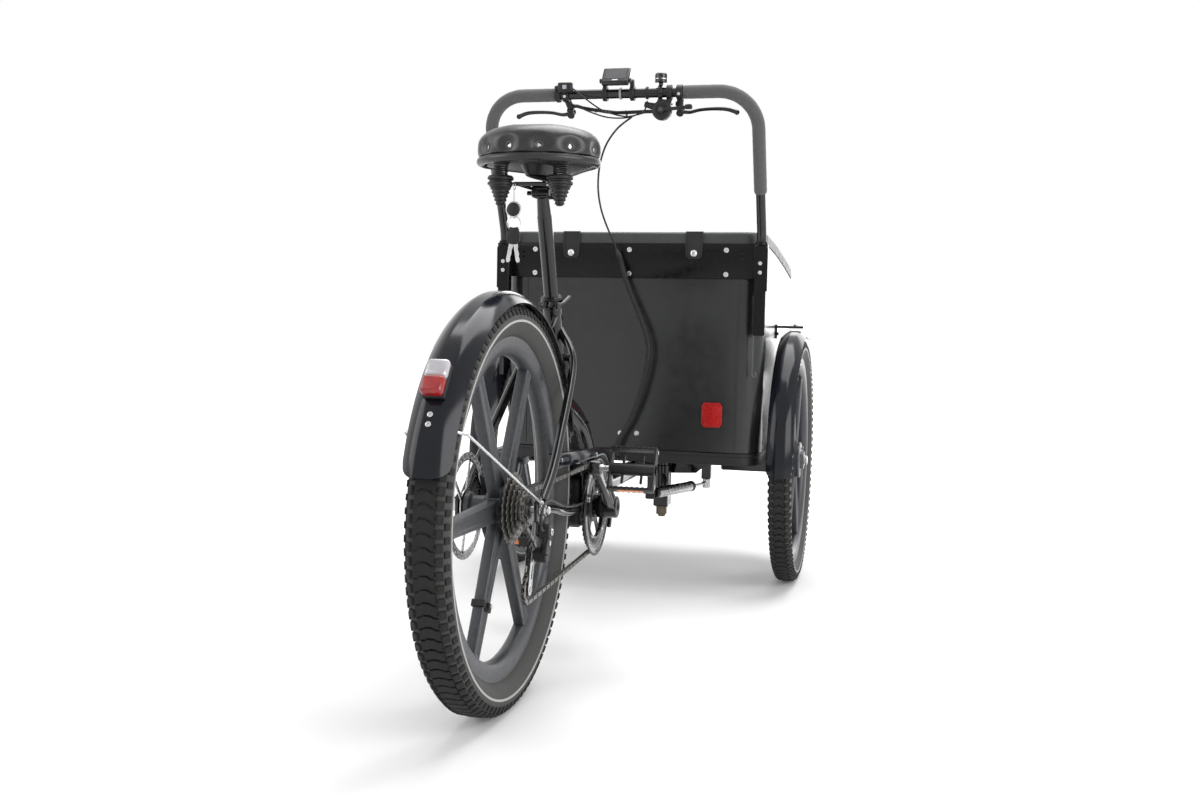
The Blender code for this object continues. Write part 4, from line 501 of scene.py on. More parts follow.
screenGrey = finish("screen_grey", (0.090, 0.090, 0.094), (0.076, 0.076, 0.080), 0.30, grain=20.0, bump=0.0,
                    spread=0.04, specular=0.15)
caseGrey = finish("case_grey", (0.40, 0.41, 0.44), (0.34, 0.35, 0.38), 0.30, metallic=0.6, grain=120.0,
                  bump=0.06)
chainSteel = finish("chain_steel", (0.26, 0.25, 0.235), (0.16, 0.152, 0.142), 0.32, metallic=0.9, grain=300.0,
                    bump=0.08)
blackCase = finish("black_case", (0.0060, 0.0060, 0.0064), (0.0042, 0.0042, 0.0046), 0.16, grain=60.0,
                   bump=0.02, spread=0.04)
tanBolt = finish("zinc_bolt", (0.20, 0.165, 0.12), (0.14, 0.115, 0.09), 0.38, metallic=0.9, grain=160.0,
                 bump=0.1)
print("finishes made")


# Camera and studio

view = {
    "place": spot(0.669, -2.0024, 0.6597),
    "right": (0.9697, 0.2437, 0.0195),
    "up": (-0.0348, 0.0584, 0.9977),
    "lens": 38.31,
}
lamps = {       # place, aim, size and power
    "top_light": ((0.3, 0.9, 3.6), (0.0, 0.2, 0.4), (2.8, 2.8), 115.0),
    "right_light": ((3.4, -1.8, 1.9), (0.1, 0.0, 0.5), (2.6, 2.2), 82.0),
    "left_light": ((-3.2, -1.6, 2.2), (0.0, 0.0, 0.5), (2.6, 2.2), 45.0),
    "front_light": ((0.4, 3.9, 1.35), (0.0, 0.0, 0.6), (3.6, 2.6), 70.0),
}
studio = {"floorColour": (0.86, 0.86, 0.86, 1.0), "white": (1.0, 1.0, 1.0, 1.0), "airOnTrike": 0.50}


def setCamera(look):
    data = bpy.data.cameras.new("photo_view")
    data.lens = look["lens"]
    data.sensor_width = 36.0
    data.clip_end = 60.0
    eye = bpy.data.objects.new("photo_view", data)
    bpy.context.scene.collection.objects.link(eye)
    right = Vector(look["right"]).normalized()
    up = Vector(look["up"])
    up = (up - right * up.dot(right)).normalized()
    back = right.cross(up)
    eye.matrix_world = Matrix.Translation(look["place"]) @ Matrix((right, up, back)).transposed().to_4x4()
    bpy.context.scene.camera = eye
    bpy.context.scene.view_settings.view_transform = "Standard"


def softLamp(name, place, aim, size, power):
    data = bpy.data.lights.new(name, "AREA")
    data.shape = "RECTANGLE"
    data.size, data.size_y = size
    data.energy = power
    lamp = bpy.data.objects.new(name, data)
    lamp.location = place
    lamp.rotation_euler = (Vector(place) - Vector(aim)).to_track_quat("Z", "Y").to_euler()
    bpy.context.scene.collection.objects.link(lamp)


def seenDirectly(tree):     # one for the camera and for what shows in a gloss or through a lens
    rays = added(tree, "LightPath")
    last, output = rays, "Is Camera Ray"
    for kind in ("Is Glossy Ray", "Is Transmission Ray"):
        either = added(tree, "Math")
        either.operation = "MAXIMUM"
        wired(tree, (last, output, either, 0), (rays, kind, either, 1))
        last, output = either, "Value"
    return last.outputs[output]


def setStudio():
    clearAll()
    bpy.ops.mesh.primitive_plane_add(size=40.0, location=(0.0, 0.0, 0.0))
    ground = bpy.context.object
    ground.name = "studio_floor"
    paint(ground, paleFloor())
    for name, (place, aim, size, power) in lamps.items():
        softLamp(name, place, aim, size, power)
    world = bpy.data.worlds.new("studio_air")
    bpy.context.scene.world = world
    world.use_nodes = True
    tree = world.node_tree
    air = tree.nodes["Background"]
    air.inputs["Color"].default_value = studio["white"]
    level = added(tree, "MapRange", To_Min=studio["airOnTrike"], To_Max=1.0)
    tree.links.new(seenDirectly(tree), level.inputs["Value"])
    wired(tree, (level, "Result", air, "Strength"))


def paleFloor():
    # White where the camera looks at it, with the shade that the trike throws. The lamps reach only
    # the middle, so the floor glows more further out
    look, tree, shader = newLook("pale_floor")
    shader.inputs["Base Color"].default_value = studio["floorColour"]
    shader.inputs["Roughness"].default_value = 0.9
    glow = added(tree, "Emission", Color=studio["white"])
    place, away = added(tree, "TexCoord"), added(tree, "VectorMath")
    away.operation = "LENGTH"
    lift = added(tree, "MapRange", From_Min=1.2, From_Max=5.0, To_Min=0.04, To_Max=0.66)
    both, choose = added(tree, "AddShader"), added(tree, "MixShader")
    wired(tree, (place, "Object", away, 0), (away, "Value", lift, "Value"),
          (lift, "Result", glow, "Strength"), (shader, "BSDF", both, 0), (glow, "Emission", both, 1),
          (shader, "BSDF", choose, 1), (both, "Shader", choose, 2),
          (choose, "Shader", tree.nodes["Material Output"], "Surface"))
    tree.links.new(seenDirectly(tree), choose.inputs["Fac"])
    return look


setCamera(view)
setStudio()
print("camera and studio set")


# Wheels

tyreSizes = {"rear": {"radius": 0.340, "halfWidth": 0.0335, "bead": 0.281, "wall": 0.004, "blocks": 104,
                      "blockLong": 0.0168},
             "front": {"radius": 0.307, "halfWidth": 0.0260, "bead": 0.255, "wall": 0.004, "blocks": 98,
                       "blockLong": 0.0160}}


def makeTyre(name, size, hub):
    half, outer, bead = size["halfWidth"], size["radius"], size["bead"]
    tall = outer - bead
    knots = [(bead + 0.0008, 0.0115), (bead + 0.14 * tall, 0.66 * half), (bead + 0.50 * tall, half - 0.0003),
             (outer - 0.22 * tall, 0.90 * half), (outer - 0.095 * tall, 0.62 * half),
             (outer - 0.0052, 0.32 * half), (outer - 0.0044, 0.0)]
    right = [(p.x, p.y) for p in curveThrough([(r, x, 0.0) for r, x in knots], 3)]
    skin = right + [(r, -x) for r, x in reversed(right[:-1])]
    lining = [(bead + 0.0008, 0.0080), (bead + 0.5 * tall, half - 2.0 * size["wall"]),
              (outer - 0.016, 0.0090)]
    skin += [(r, -x) for r, x in lining] + list(reversed(lining))
    casing = spun(name, skin, hub, "X", 112, closed=True)
    wide = 0.50 * half
    arc = [(-wide, -0.0032), (-0.62 * wide, -0.0030), (-0.30 * wide, 0.0012), (0.30 * wide, 0.0012),
           (0.62 * wide, -0.0030), (wide, -0.0032)]
    long = size["blockLong"]
    outline = [(x, y + long / 2.0) for x, y in arc] + [(x, y - long / 2.0) for x, y in reversed(arc)]
    crown = slab("crown_block", outline, 0.0052, hub + Vector((0.0, 0.0, outer - 0.0026)))
    for away, drop in ((0.45 * wide, 0.0006), (0.9 * wide, 0.0020)):
        edit(crown)
        for vert in crown.data.vertices:
            vert.select = abs(vert.co.x - hub[0]) > away
        enterEdit()
        bpy.ops.transform.translate(value=(0.0, 0.0, -drop))
        leaveEdit()
    rounded(crown, 0.0007, 1, 50.0)
    lugs = [ringOf(crown, size["blocks"], hub)]
    for side in (-1.0, 1.0):
        for away, down, lean, wideLug, longLug, shift in ((0.70, 0.0060, 38.0, 0.0105, 0.78, 0.5),
                                                         (0.93, 0.0150, 66.0, 0.0100, 0.60, 0.0)):
            step = 2.0 * pi * shift / size["blocks"]
            reach = outer - down
            at = hub + Vector((side * away * half, -reach * sin(step), reach * cos(step)))
            lug = box("lug", (wideLug, long * longLug, 0.0050), at, (step, 0.0, 0.0))
            pick(lug)
            bpy.ops.transform.rotate(value=-radians(lean * side), orient_axis="Y", center_override=at)
            settle(lug)
            rounded(lug, 0.0008, 1, 50.0)
            lugs.append(ringOf(lug, size["blocks"], hub))
    rib = spun("stripe", [(bead + 0.47 * tall, half - 0.0016), (bead + 0.475 * tall, half + 0.0003),
                          (bead + 0.535 * tall, half + 0.0003), (bead + 0.54 * tall, half - 0.0016)], hub,
               "X", 112, True)
    paint(rib, whiteStripe)
    # mirrored, it lies on the other sidewall
    across = copied(rib, "stripe_across", (-2.0 * hub.x, 0.0, 0.0))
    other = mirrored(across, "stripe_left")
    bpy.data.objects.remove(across)
    paint(casing, tyreSide)
    for lug in lugs:
        paint(smooth(lug), tyreRubber)
    return joined(name, [casing] + lugs + [rib, other])


castWheels = {"rear": {"bead": 0.281, "hole": 0.252, "half": 0.0165, "spokeHub": 0.038, "spokeRim": 0.026},
              "front": {"bead": 0.255, "hole": 0.229, "half": 0.0165, "hubRadius": 0.045, "spokeHub": 0.038,
                        "spokeRim": 0.026}}


def makeRim(name, size, hub):
    bead, hole, half = size["bead"] - 0.0003, size["hole"], size["half"]
    right = [(bead - 0.0130, 0.0), (bead - 0.0130, 0.0082), (bead - 0.0055, 0.0100), (bead - 0.0004, 0.0112),
             (bead - 0.0002, half - 0.0024), (bead + 0.0036, half - 0.0020), (bead + 0.0044, half - 0.0010),
             (bead + 0.0036, half), (bead - 0.0090, half + 0.0002), (hole + 0.0100, half - 0.0016),
             (hole + 0.0040, half - 0.0052), (hole + 0.0008, half - 0.0100), (hole, 0.0)]
    left = [(r, -x) for r, x in reversed(right[1:-1])]
    return spun(name, right + left, hub, "X", 112, closed=True)


def makeSpokes(size, hub):      # six double-ridged spokes, the first straight ahead
    long = size["hole"] + 0.004
    spoke = box("spoke", (0.020, long, size["spokeHub"]), hub + Vector((0.0, long / 2.0, 0.0)))
    tip = hub[1] + long
    selectFaces(spoke, lambda middle, normal: normal.y > 0.9 and middle.y > tip - 0.001)
    bpy.ops.transform.resize(value=(0.92, 1.0, size["spokeRim"] / size["spokeHub"]))
    leaveEdit()
    selectFaces(spoke, lambda middle, normal: abs(normal.x) > 0.9)
    bpy.ops.mesh.inset(thickness=0.0048, depth=0.0, use_individual=True)
    bpy.ops.mesh.inset(thickness=0.0028, depth=-0.0034, use_individual=True)
    leaveEdit()
    rounded(spoke, 0.0030, 3, 30.0)
    return smooth(ringOf(spoke, 6, hub))


def makeFrontHub(hub, side):
    radius = castWheels["front"]["hubRadius"]
    inner, outer = -0.0265 * side, 0.0300 * side
    barrel = [(0.0087, inner), (0.0200, inner), (0.0240, inner + 0.0020 * side),
              (radius - 0.004, inner + 0.0040 * side), (radius, inner + 0.0070 * side),
              (radius, inner + 0.0120 * side), (radius - 0.0015, inner + 0.0135 * side),
              (radius - 0.0015, 0.0160 * side), (radius, 0.0175 * side), (radius - 0.001, 0.0210 * side),
              (0.0330, 0.0235 * side), (0.0240, 0.0245 * side), (0.0225, outer), (0.0087, outer)]
    drum = spun("front_hub", barrel, hub, "X", 72, closed=True)
    bolt = rod("hub_bolt", 0.0032, hub + Vector((0.0228 * side, 0.0, 0.0290)),
               hub + Vector((0.0262 * side, 0.0, 0.0290)), 12, None, 0.0006)
    return joined("front_hub", [drum, smooth(ringOf(bolt, 6, hub))])


def makeRearHub(hub):
    barrel = [(0.0064, -0.0574), (0.0230, -0.0574), (0.0245, -0.0560), (0.0245, -0.0480), (0.0190, -0.0440),
              (0.0190, -0.0240), (0.0360, -0.0140), (0.0385, -0.0110), (0.0385, 0.0110), (0.0360, 0.0140),
              (0.0260, 0.0165), (0.0240, 0.0207), (0.0064, 0.0207)]
    return spun("rear_hub", barrel, hub, "X", 72, closed=True)


def makeRotor(hub):
    x, half = -0.0588, 0.0009
    ring = spun("rotor_ring", [(0.0760, x - half), (0.0900, x - half), (0.0900, x + half),
                               (0.0760, x + half)], hub, "X", 96, closed=True)
    for y, z in ((0.0, 0.0865), (0.0057, 0.0805)):
        hole = rod("rotor_hole", 0.0020, hub + Vector((x - 0.004, y, z)), hub + Vector((x + 0.004, y, z)), 8)
        cut(ring, [ringOf(hole, 30, hub)])
    core = spun("rotor_core", [(0.0066, x - half), (0.0290, x - half), (0.0290, x + half),
                               (0.0066, x + half)], hub, "X", 48, closed=True)
    arm = box("rotor_arm", (2.0 * half, 0.0072, 0.0520), hub + Vector((x, 0.0, 0.0520)))
    selectFaces(arm, lambda middle, normal: normal.z > 0.9)
    bpy.ops.transform.translate(value=(0.0, 0.0170, 0.0))
    leaveEdit()
    bolt = rod("rotor_bolt", 0.0038, hub + Vector((x - 0.0026, 0.0, 0.0220)),
               hub + Vector((x - half + 0.0002, 0.0, 0.0220)), 12, None, 0.0006)
    return joined("brake_disc", [smooth(ring), core, ringOf(arm, 6, hub), smooth(ringOf(bolt, 6, hub))])


rearTyre = makeTyre("rear_tyre_tread", tyreSizes["rear"], rearHub)
fitted(rearTyre, None, "rear_wheel", "tyre_rubber", "rear_tyre")
wheel = joined("rear_cast_wheel_detail", [makeRim("rear_rim", castWheels["rear"], rearHub),
                                          makeSpokes(castWheels["rear"], rearHub), makeRearHub(rearHub)])
fitted(wheel, castAlloy, "rear_wheel", "grey_alloy", "rear_cast_wheel")
fitted(makeRotor(rearHub), brightSteel, "rear_wheel", "bright_steel", "brake_rotor")
valve = hose("rear_valve", [rearHub + Vector((0.0, 0.0, 0.250)), rearHub + Vector((0.0, 0.0, 0.240)),
                            rearHub + Vector((0.0, 0.0, 0.222))], 0.0032, 3)
fitted(valve, blackPlastic, "rear_wheel", "black_plastic")
for side, sideName in bothSides:
    hub = frontHub(side)
    tread = makeTyre("front_tyre_tread_" + sideName, tyreSizes["front"], hub)
    fitted(tread, None, "front_wheel_" + sideName, "tyre_rubber", "front_tyre_" + sideName)
    wheel = joined("front_cast_wheel_detail_" + sideName,
                   [makeRim("front_rim", castWheels["front"], hub), makeSpokes(castWheels["front"], hub),
                    makeFrontHub(hub, side)])
    fitted(wheel, castAlloy, "front_wheel_" + sideName, "grey_alloy", "front_cast_wheel_" + sideName)
spokeClip = {"angle": 240.0, "reach": 0.170}     # a small clip with a screw on one rear spoke
clipAt = rearHub + aimed(spokeClip["angle"]) * spokeClip["reach"]
clipTurn = (radians(spokeClip["angle"]), 0.0, 0.0)
clip = box("spoke_clip", (0.0230, 0.0120, 0.0400), clipAt, clipTurn, 0.0016)
fitted(joined("spoke_clip", [clip, box("clip_foot", (0.0050, 0.0100, 0.0120),
                                       clipAt + Vector((0.0135, 0.0, 0.0)), clipTurn, 0.0012)]), blackPlastic,
       "rear_wheel", "black_plastic")
clipScrew = rod("clip_screw", 0.0034, clipAt + Vector((0.0150, 0.0, 0.0)),
                clipAt + Vector((0.0185, 0.0, 0.0)), 16, None, 0.0006)
fitted(clipScrew, brightSteel, "rear_wheel", "bright_steel")
print("wheels made")


# Cords, on the routes of their solids

cordLines = {"bundleRadius": 0.0045, "thinRadius": 0.0022, "sleeveRadius": 0.0070, "ridge": 0.0042,
             "bundle": [(-0.1002, 0.813, 1.1328), (-0.080, 0.808, 1.1265), (-0.045, 0.799, 1.1185),
                        (-0.005, 0.793, 1.1135), (0.035, 0.793, 1.1130), (0.0704, 0.795, 1.1145)],
             "bundleEnds": [(-0.1082, 0.813, 1.1328), (0.0784, 0.795, 1.1145)],
             "thin": [(0.033, 0.7880, 1.1047), (0.028, 0.787, 1.099), (0.000, 0.790, 1.079),
                      (-0.030, 0.806, 1.045), (-0.050, 0.828, 1.000), (-0.058, 0.850, 0.950),
                      (-0.055, 0.874, 0.903), (-0.044, 0.901, 0.860), (-0.032, 0.922, 0.825)],
             "thick": [(-0.021, 0.932, 0.792), (-0.006, 0.930, 0.745), (0.018, 0.926, 0.690),
                       (0.040, 0.922, 0.640), (0.054, 0.920, 0.580), (0.040, 0.920, 0.495),
                       (0.014, 0.924, 0.420), (-0.010, 0.9245, 0.378), (-0.021, 0.9275, 0.350),
                       (-0.0255, 0.9340, 0.3380), (-0.026, 0.9430, 0.3315), (-0.026, 0.9512, 0.3315)]}


def evenly(route, step):        # points a step apart along a route
    spots = [route[0].copy()]
    left = step
    for a, b in zip(route, route[1:]):
        span = (b - a).length
        while span > 0.0 and left <= span:
            a = a.lerp(b, left / span)
            spots.append(a.copy())
            span = (b - a).length
            left = step
        left -= span
    return spots + [route[-1]]


def makeBundle(lines):
    ends = [spot(*end) for end in lines["bundleEnds"]]
    route = [ends[0]] + curveThrough([spot(*knot) for knot in lines["bundle"]], 3) + [ends[1]]
    middle = evenly(route, 0.004)
    strands = []
    for index in range(3):
        points = []
        for place, here in enumerate(middle):
            along = (middle[min(place + 1, len(middle) - 1)] - middle[max(place - 1, 0)]).normalized()
            across = along.cross(Vector((0.0, 0.0, 1.0))).normalized()
            over = across.cross(along)
            turn = 2.0 * pi * index / 3.0 + place * 0.09
            points.append(here + 0.0023 * (cos(turn) * across + sin(turn) * over))
        strands.append(hose("strand", points, 0.0021, 3))
    for share in (0.30, 0.66):
        here = middle[int(share * len(middle))]
        after = middle[int(share * len(middle)) + 1]
        strands.append(rod("tie", 0.0048, here, here + (after - here).normalized() * 0.0028, 16, None,
                           0.0005))
    return route, joined("cable_bundle_strands", strands)


def makeHarness(lines):
    thin = [spot(*knot) for knot in lines["thin"]]
    thick = [spot(*knot) for knot in lines["thick"]]
    fine = curveThrough(thin + thick[:2], 2)[:-4]
    coarse = curveThrough(thin[-1:] + thick[:-1], 2)[2:] + [thick[-1]]
    route = fine + [fine[-1].lerp(coarse[0], 0.85)] + coarse
    sleeveLine = evenly(curveThrough([fine[-1].lerp(coarse[0], 0.55)] + coarse, 4), lines["ridge"] / 4.0)
    swell = [1.0, 1.0, 0.86, 0.86]
    thickness = [swell[index % 4] for index in range(len(sleeveLine))]
    pieces = [hose("thin_cable", curveThrough(fine + [fine[-1].lerp(coarse[0], 0.7)], 3), lines["thinRadius"],
                   3), hose("sleeve", sleeveLine, lines["sleeveRadius"], 3, False, thickness)]
    run = (sleeveLine[4] - sleeveLine[0]).normalized()
    pieces.append(rod("sleeve_cap", 0.0030, sleeveLine[0] - run * 0.012, sleeveLine[0] + run * 0.002, 16,
                      0.0070, 0.0006))
    return route, joined("harness_sleeve", pieces)


bundleRoute, bundle = makeBundle(cordLines)
fitted(bundle, blackPlastic, "front_carrier", "black_plastic", "cable_bundle")
harnessRoute, harness = makeHarness(cordLines)
fitted(harness, blackPlastic, "front_carrier", "black_plastic", "harness")
print("cords laid")


# Frame and its fittings

seatAngle = radians(70.0)
seatUp = Vector((0.0, -cos(seatAngle), sin(seatAngle)))
seatBack = Vector((0.0, -sin(seatAngle), -cos(seatAngle)))
seatTop = crankSpot + seatUp * 0.437


def bolt(name, radius, at, direction, height, sides=6, rounding=0.0006):      # a head standing on a face
    return rod(name, radius, at, Vector(at) + Vector(direction).normalized() * height, sides, None, rounding)


def socketBolt(name, radius, at, direction, height):
    direction = Vector(direction).normalized()
    head = rod(name, radius, at, Vector(at) + direction * height, 20, None, 0.0005)
    selectFaces(head, lambda middle, normal: normal.dot(direction) > 0.95)
    bpy.ops.mesh.inset(thickness=radius * 0.42, depth=0.0)
    bpy.ops.mesh.extrude_region_move(TRANSFORM_OT_translate={"value": -direction * height * 0.55})
    leaveEdit()
    return smooth(head)


def makeFrame():
    low = 0.2930
    knots = [(0.0, 0.3590, 0.494), (0.0, 0.420, 0.475), (0.0, 0.482, 0.446), (0.0, 0.527, 0.409),
             (0.0, 0.560, 0.369), (0.0, 0.597, 0.334), (0.0, 0.650, 0.308), (0.0, 0.725, low + 0.002),
             (0.0, 0.860, low)]
    mainLine = curveThrough([spot(*knot) for knot in knots], 5) + [spot(0.0, 1.378, low)]
    items = [hose("main_tube", mainLine, 0.0215, 6)]
    items.append(rod("seat_tube", 0.0158, crankSpot + seatUp * 0.082, seatTop, 32, None, 0.0008))
    items.append(box("bracket_web", (0.014, 0.105, 0.0957), spot(0.0, 0.439, 0.40215), rounding=0.004))
    items.append(box("motor_bracket", (0.088, 0.130, 0.008), spot(0.0, 0.430, 0.3563), rounding=0.002))
    items.append(rod("head", 0.0197, spot(0.0, trike["kingpinY"], 0.180),
                     spot(0.0, trike["kingpinY"], 0.3155), 32, None, 0.001))
    items.append(rod("head_collar", 0.0227, spot(0.0, trike["kingpinY"], 0.240),
                     spot(0.0, trike["kingpinY"], 0.262), 32, None, 0.002))
    items.append(rod("seat_ring", 0.0175, seatTop - seatUp * 0.034, seatTop - seatUp * 0.0215, 32, None,
                     0.001))
    for side in (-1.0, 1.0):
        items.append(box("cheek", (0.004, 0.033, 0.082), spot(side * 0.0445, 0.382, 0.317), rounding=0.0015))
        for z in (0.301, 0.336):
            items.append(socketBolt("cheek_bolt", 0.0052, spot(side * 0.0465, 0.382, z), (side, 0.0, 0.0),
                                    0.0035))
        chainstay = [(0.0385, 0.377, 0.291), (0.0385, 0.352, 0.292), (0.0465, 0.312, 0.295),
                     (0.0570, 0.230, 0.303), (0.0670, 0.130, 0.319), (0.0690, 0.080, 0.330),
                     (0.0690, 0.024, 0.338)]
        seatstay = [(0.0100, 0.310, 0.634), (0.0400, 0.284, 0.595), (0.0525, 0.250, 0.553),
                    (0.0630, 0.150, 0.462), (0.0690, 0.078, 0.398), (0.0690, 0.016, 0.352)]
        for line, radius in ((chainstay, 0.0075), (seatstay, 0.0080)):
            items.append(hose("stay", curveThrough([spot(side * x, y, z) for x, y, z in line], 3), radius, 4))
        plate = [(-0.020, -0.018), (-0.006, -0.0215), (0.020, -0.020), (0.028, -0.006), (0.028, 0.012),
                 (0.018, 0.0215), (-0.012, 0.0215), (-0.020, 0.012)]
        items.append(slab("dropout", plate, 0.006, spot(side * 0.0685, 0.0, 0.340), sideOn, 0.0012))
    items.append(slab("hanger", [(-0.011, 0.016), (-0.010, -0.009), (0.0, -0.015), (0.010, -0.009),
                                 (0.011, 0.016)], 0.005, spot(0.0685, 0.0, 0.309), sideOn, 0.001))
    bridgeAngle = atan2(0.584 - 0.340, 0.2756)
    bridge = rearHub + Vector((0.0, cos(bridgeAngle), sin(bridgeAngle))) * 0.3663
    items.append(rod("stay_bridge", 0.007, bridge - sideways * 0.042, bridge + sideways * 0.042, 20))
    gusset = [(-0.026, 0.030), (-0.026, -0.018), (-0.018, -0.030), (0.022, -0.030), (0.026, -0.020),
              (0.026, 0.030)]
    items.append(slab("seat_gusset", gusset, 0.006, spot(0.0, 0.300, 0.630),
                      (pi / 2.0 + radians(20.0), 0.0, pi / 2.0), 0.001))
    items.append(box("damper_tab", (0.012, 0.024, 0.0682), spot(0.0135, 1.165, 0.2589), rounding=0.002))
    for share in (0.26, 0.48):      # cable guides welded along the tube
        here = mainLine[int(share * len(mainLine))]
        items.append(rod("guide", 0.0035, here + Vector((0.0215, -0.006, 0.0)),
                         here + Vector((0.0215, 0.006, 0.0)), 12))
    return joined("frame_tubes", items)


def makeSeatClamp():
    low = seatTop - seatUp * 0.018
    high = seatTop - seatUp * 0.001
    ring = spun("clamp_ring", [(0.0162, -0.0083), (0.0196, -0.0083), (0.0200, -0.0070), (0.0200, 0.0070),
                               (0.0196, 0.0083), (0.0162, 0.0083)], (0.0, 0.0, 0.0), "Z", 48, closed=True)
    ring.rotation_euler = (pi / 2.0 - seatAngle, 0.0, 0.0)
    ring.location = (low + high) / 2.0
    settle(ring)
    ears = seatTop - seatUp * 0.0095 + seatBack * 0.023
    items = [ring]
    for side in (-1.0, 1.0):
        items.append(box("ear", (0.0085, 0.012, 0.013), ears + sideways * side * 0.0062,
                         (seatAngle - pi / 2.0, 0.0, 0.0), 0.002))
    items.append(rod("ear_bolt", 0.0030, ears - sideways * 0.0160, ears + sideways * 0.013, 16))
    items.append(spun("nut", [(0.0, -0.0035), (0.0058, -0.0035), (0.0066, -0.0020), (0.0066, 0.0020),
                              (0.0050, 0.0036), (0.0, 0.0040)], ears - sideways * 0.0135, "X", 24))
    return joined("seat_clamp_ring", items), ears


def makeSeatLever(ears):
    pivot = ears + sideways * 0.0165 + seatBack * 0.001
    boss = rod("lever_boss", 0.0050, pivot - seatUp * 0.0065, pivot + seatUp * 0.0065, 24, None, 0.0008)
    flow = ((0.0, 0.0), (0.0055, 0.006), (0.0085, 0.016), (0.0095, 0.032), (0.0105, 0.046))
    knots = [pivot + sideways * out - seatBack * back for out, back in flow]
    line = curveThrough(knots, 4)
    thickness = [1.0 + 0.25 * (index / (len(line) - 1)) for index in range(len(line))]
    arm = hose("lever_arm", line, 0.0031, 4, False, thickness)
    tip = ball("lever_tip", 0.0041, line[-1])
    return joined("seat_lever_arm", [boss, arm, tip])


def makeMotor():
    case = box("motor_case", (0.084, 0.128, 0.104), spot(0.0, 0.445, 0.300), rounding=0.016, segments=4)
    items = [smooth(case)]
    for side in (-1.0, 1.0):
        rim = [(0.014, 0.0), (0.030, 0.0), (0.030, 0.0040), (0.0285, 0.0052), (0.020, 0.0052),
               (0.0185, 0.0040), (0.014, 0.0040)]
        at = crankSpot + sideways * side * 0.0415
        items.append(spun("motor_boss", [(out, side * along) for out, along in rim], at, "X", 48,
                          closed=True))
        for angle in range(30, 360, 60):
            away = aimed(angle) * 0.0405
            items.append(socketBolt("case_screw", 0.0034, spot(side * 0.0418, 0.445, 0.300) + away,
                                    (side, 0.0, 0.0), 0.0026))
    fin = box("cooling_fin", (0.060, 0.0024, 0.0040), spot(0.0, 0.405, 0.2475), rounding=0.0006)
    items.append(rowOf(fin, 9, (0.0, 0.0100, 0.0)))
    return joined("motor_unit", items)


def makeRearAxle():
    items = [rod("axle", 0.006, rearHub - sideways * 0.0875, rearHub + sideways * 0.0875, 24, None, 0.0010)]
    for side in (-1.0, 1.0):
        washer = rearHub + sideways * side * 0.0718
        items.append(rod("washer", 0.0120, washer, washer + sideways * side * 0.0018, 28, None, 0.0004))
        items.append(rod("nut", 0.0098, washer + sideways * side * 0.0018, washer + sideways * side * 0.0092,
                         6, None, 0.0009))
        items.append(spun("nut_cap", [(0.0, 0.0160 * side), (0.0040, 0.0156 * side), (0.0068, 0.0132 * side),
                                      (0.0074, 0.0092 * side), (0.0074, 0.0085 * side), (0.0, 0.0085 * side)],
                          washer, "X", 24))
    return joined("rear_axle_nuts", items)


guards = {
    "rear": {"radius": 0.359, "half": 0.0380, "drop": 0.019, "start": 14.0, "end": 165.5, "corner": 0.026},
    "front": {"radius": 0.328, "half": 0.0305, "drop": 0.013, "start": 72.0, "end": 182.0, "corner": 0.020},
    "wall": 0.002,
}


def guardReach(size, share):        # the guard's outside, at a share of its half width
    return size["radius"] - size["drop"] * max(0.0, abs(share) / 0.75 - 1.0 / 3.0) ** 1.7


def makeGuard(name, size, hub):
    shares = [index / 14.0 - 1.0 for index in range(29)]
    outside = [(guardReach(size, share), share * size["half"]) for share in shares]
    inside = [(reach - guards["wall"], x * (1.0 - 0.0012 / size["half"])) for reach, x in outside]
    steps = 96
    shell = spun(name, outside + list(reversed(inside)), hub, "X", steps, True, size["start"],
                 size["end"] - size["start"])
    middleAngle = radians((size["start"] + size["end"]) / 2.0)
    halfSweep = radians(size["end"] - size["start"]) / 2.0
    for vert in shell.data.vertices:        # both ends are cut back round their corners
        x = abs(vert.co.x - hub[0])
        inCorner = max(0.0, (x - (size["half"] - size["corner"])) / size["corner"])
        back = size["corner"] * (1.0 - sqrt(max(0.0, 1.0 - min(1.0, inCorner) ** 2))) / size["radius"]
        flat = vert.co - hub
        turn = atan2(flat.z, flat.y)
        if turn < radians(-100.0):
            turn += 2.0 * pi
        share = (turn - middleAngle) / halfSweep
        push = max(0.0, (abs(share) - 0.80) / 0.20) * back * (1.0 if share > 0.0 else -1.0)
        reach = hypot(flat.y, flat.z)
        vert.co.y = hub[1] + reach * cos(turn - push)
        vert.co.z = hub[2] + reach * sin(turn - push)
    pick(shell)
    enterEdit()
    selectAll()
    bpy.ops.mesh.fill_holes(sides=0)
    return smooth(facesOut(shell), 40.0)


def makeTailLight():
    angle = radians(143.0)
    outward = aimed(143.0)
    down = Vector((0.0, -outward.z, outward.y))
    middle = rearHub + outward * 0.3718 - down * 0.0045
    base = box("lamp_base", (0.035, 0.0085, 0.056), middle - outward * 0.0082, (angle, 0.0, 0.0), 0.003)
    for vert in base.data.vertices:     # the base follows the guard's crown
        away = vert.co - middle
        if away.dot(outward) < -0.009:
            vert.co -= outward * (0.0075 * (away.x / 0.021) ** 2 * 0.35)
    lens = box("lamp_red", (0.0345, 0.0185, 0.0300), middle + down * 0.0140 + outward * 0.0027,
               (angle, 0.0, 0.0), 0.0070, 5)
    clear = box("lamp_clear", (0.0345, 0.0165, 0.0310), middle - down * 0.0145 + outward * 0.0017,
                (angle, 0.0, 0.0), 0.0065, 5)
    return base, smooth(lens), smooth(clear)


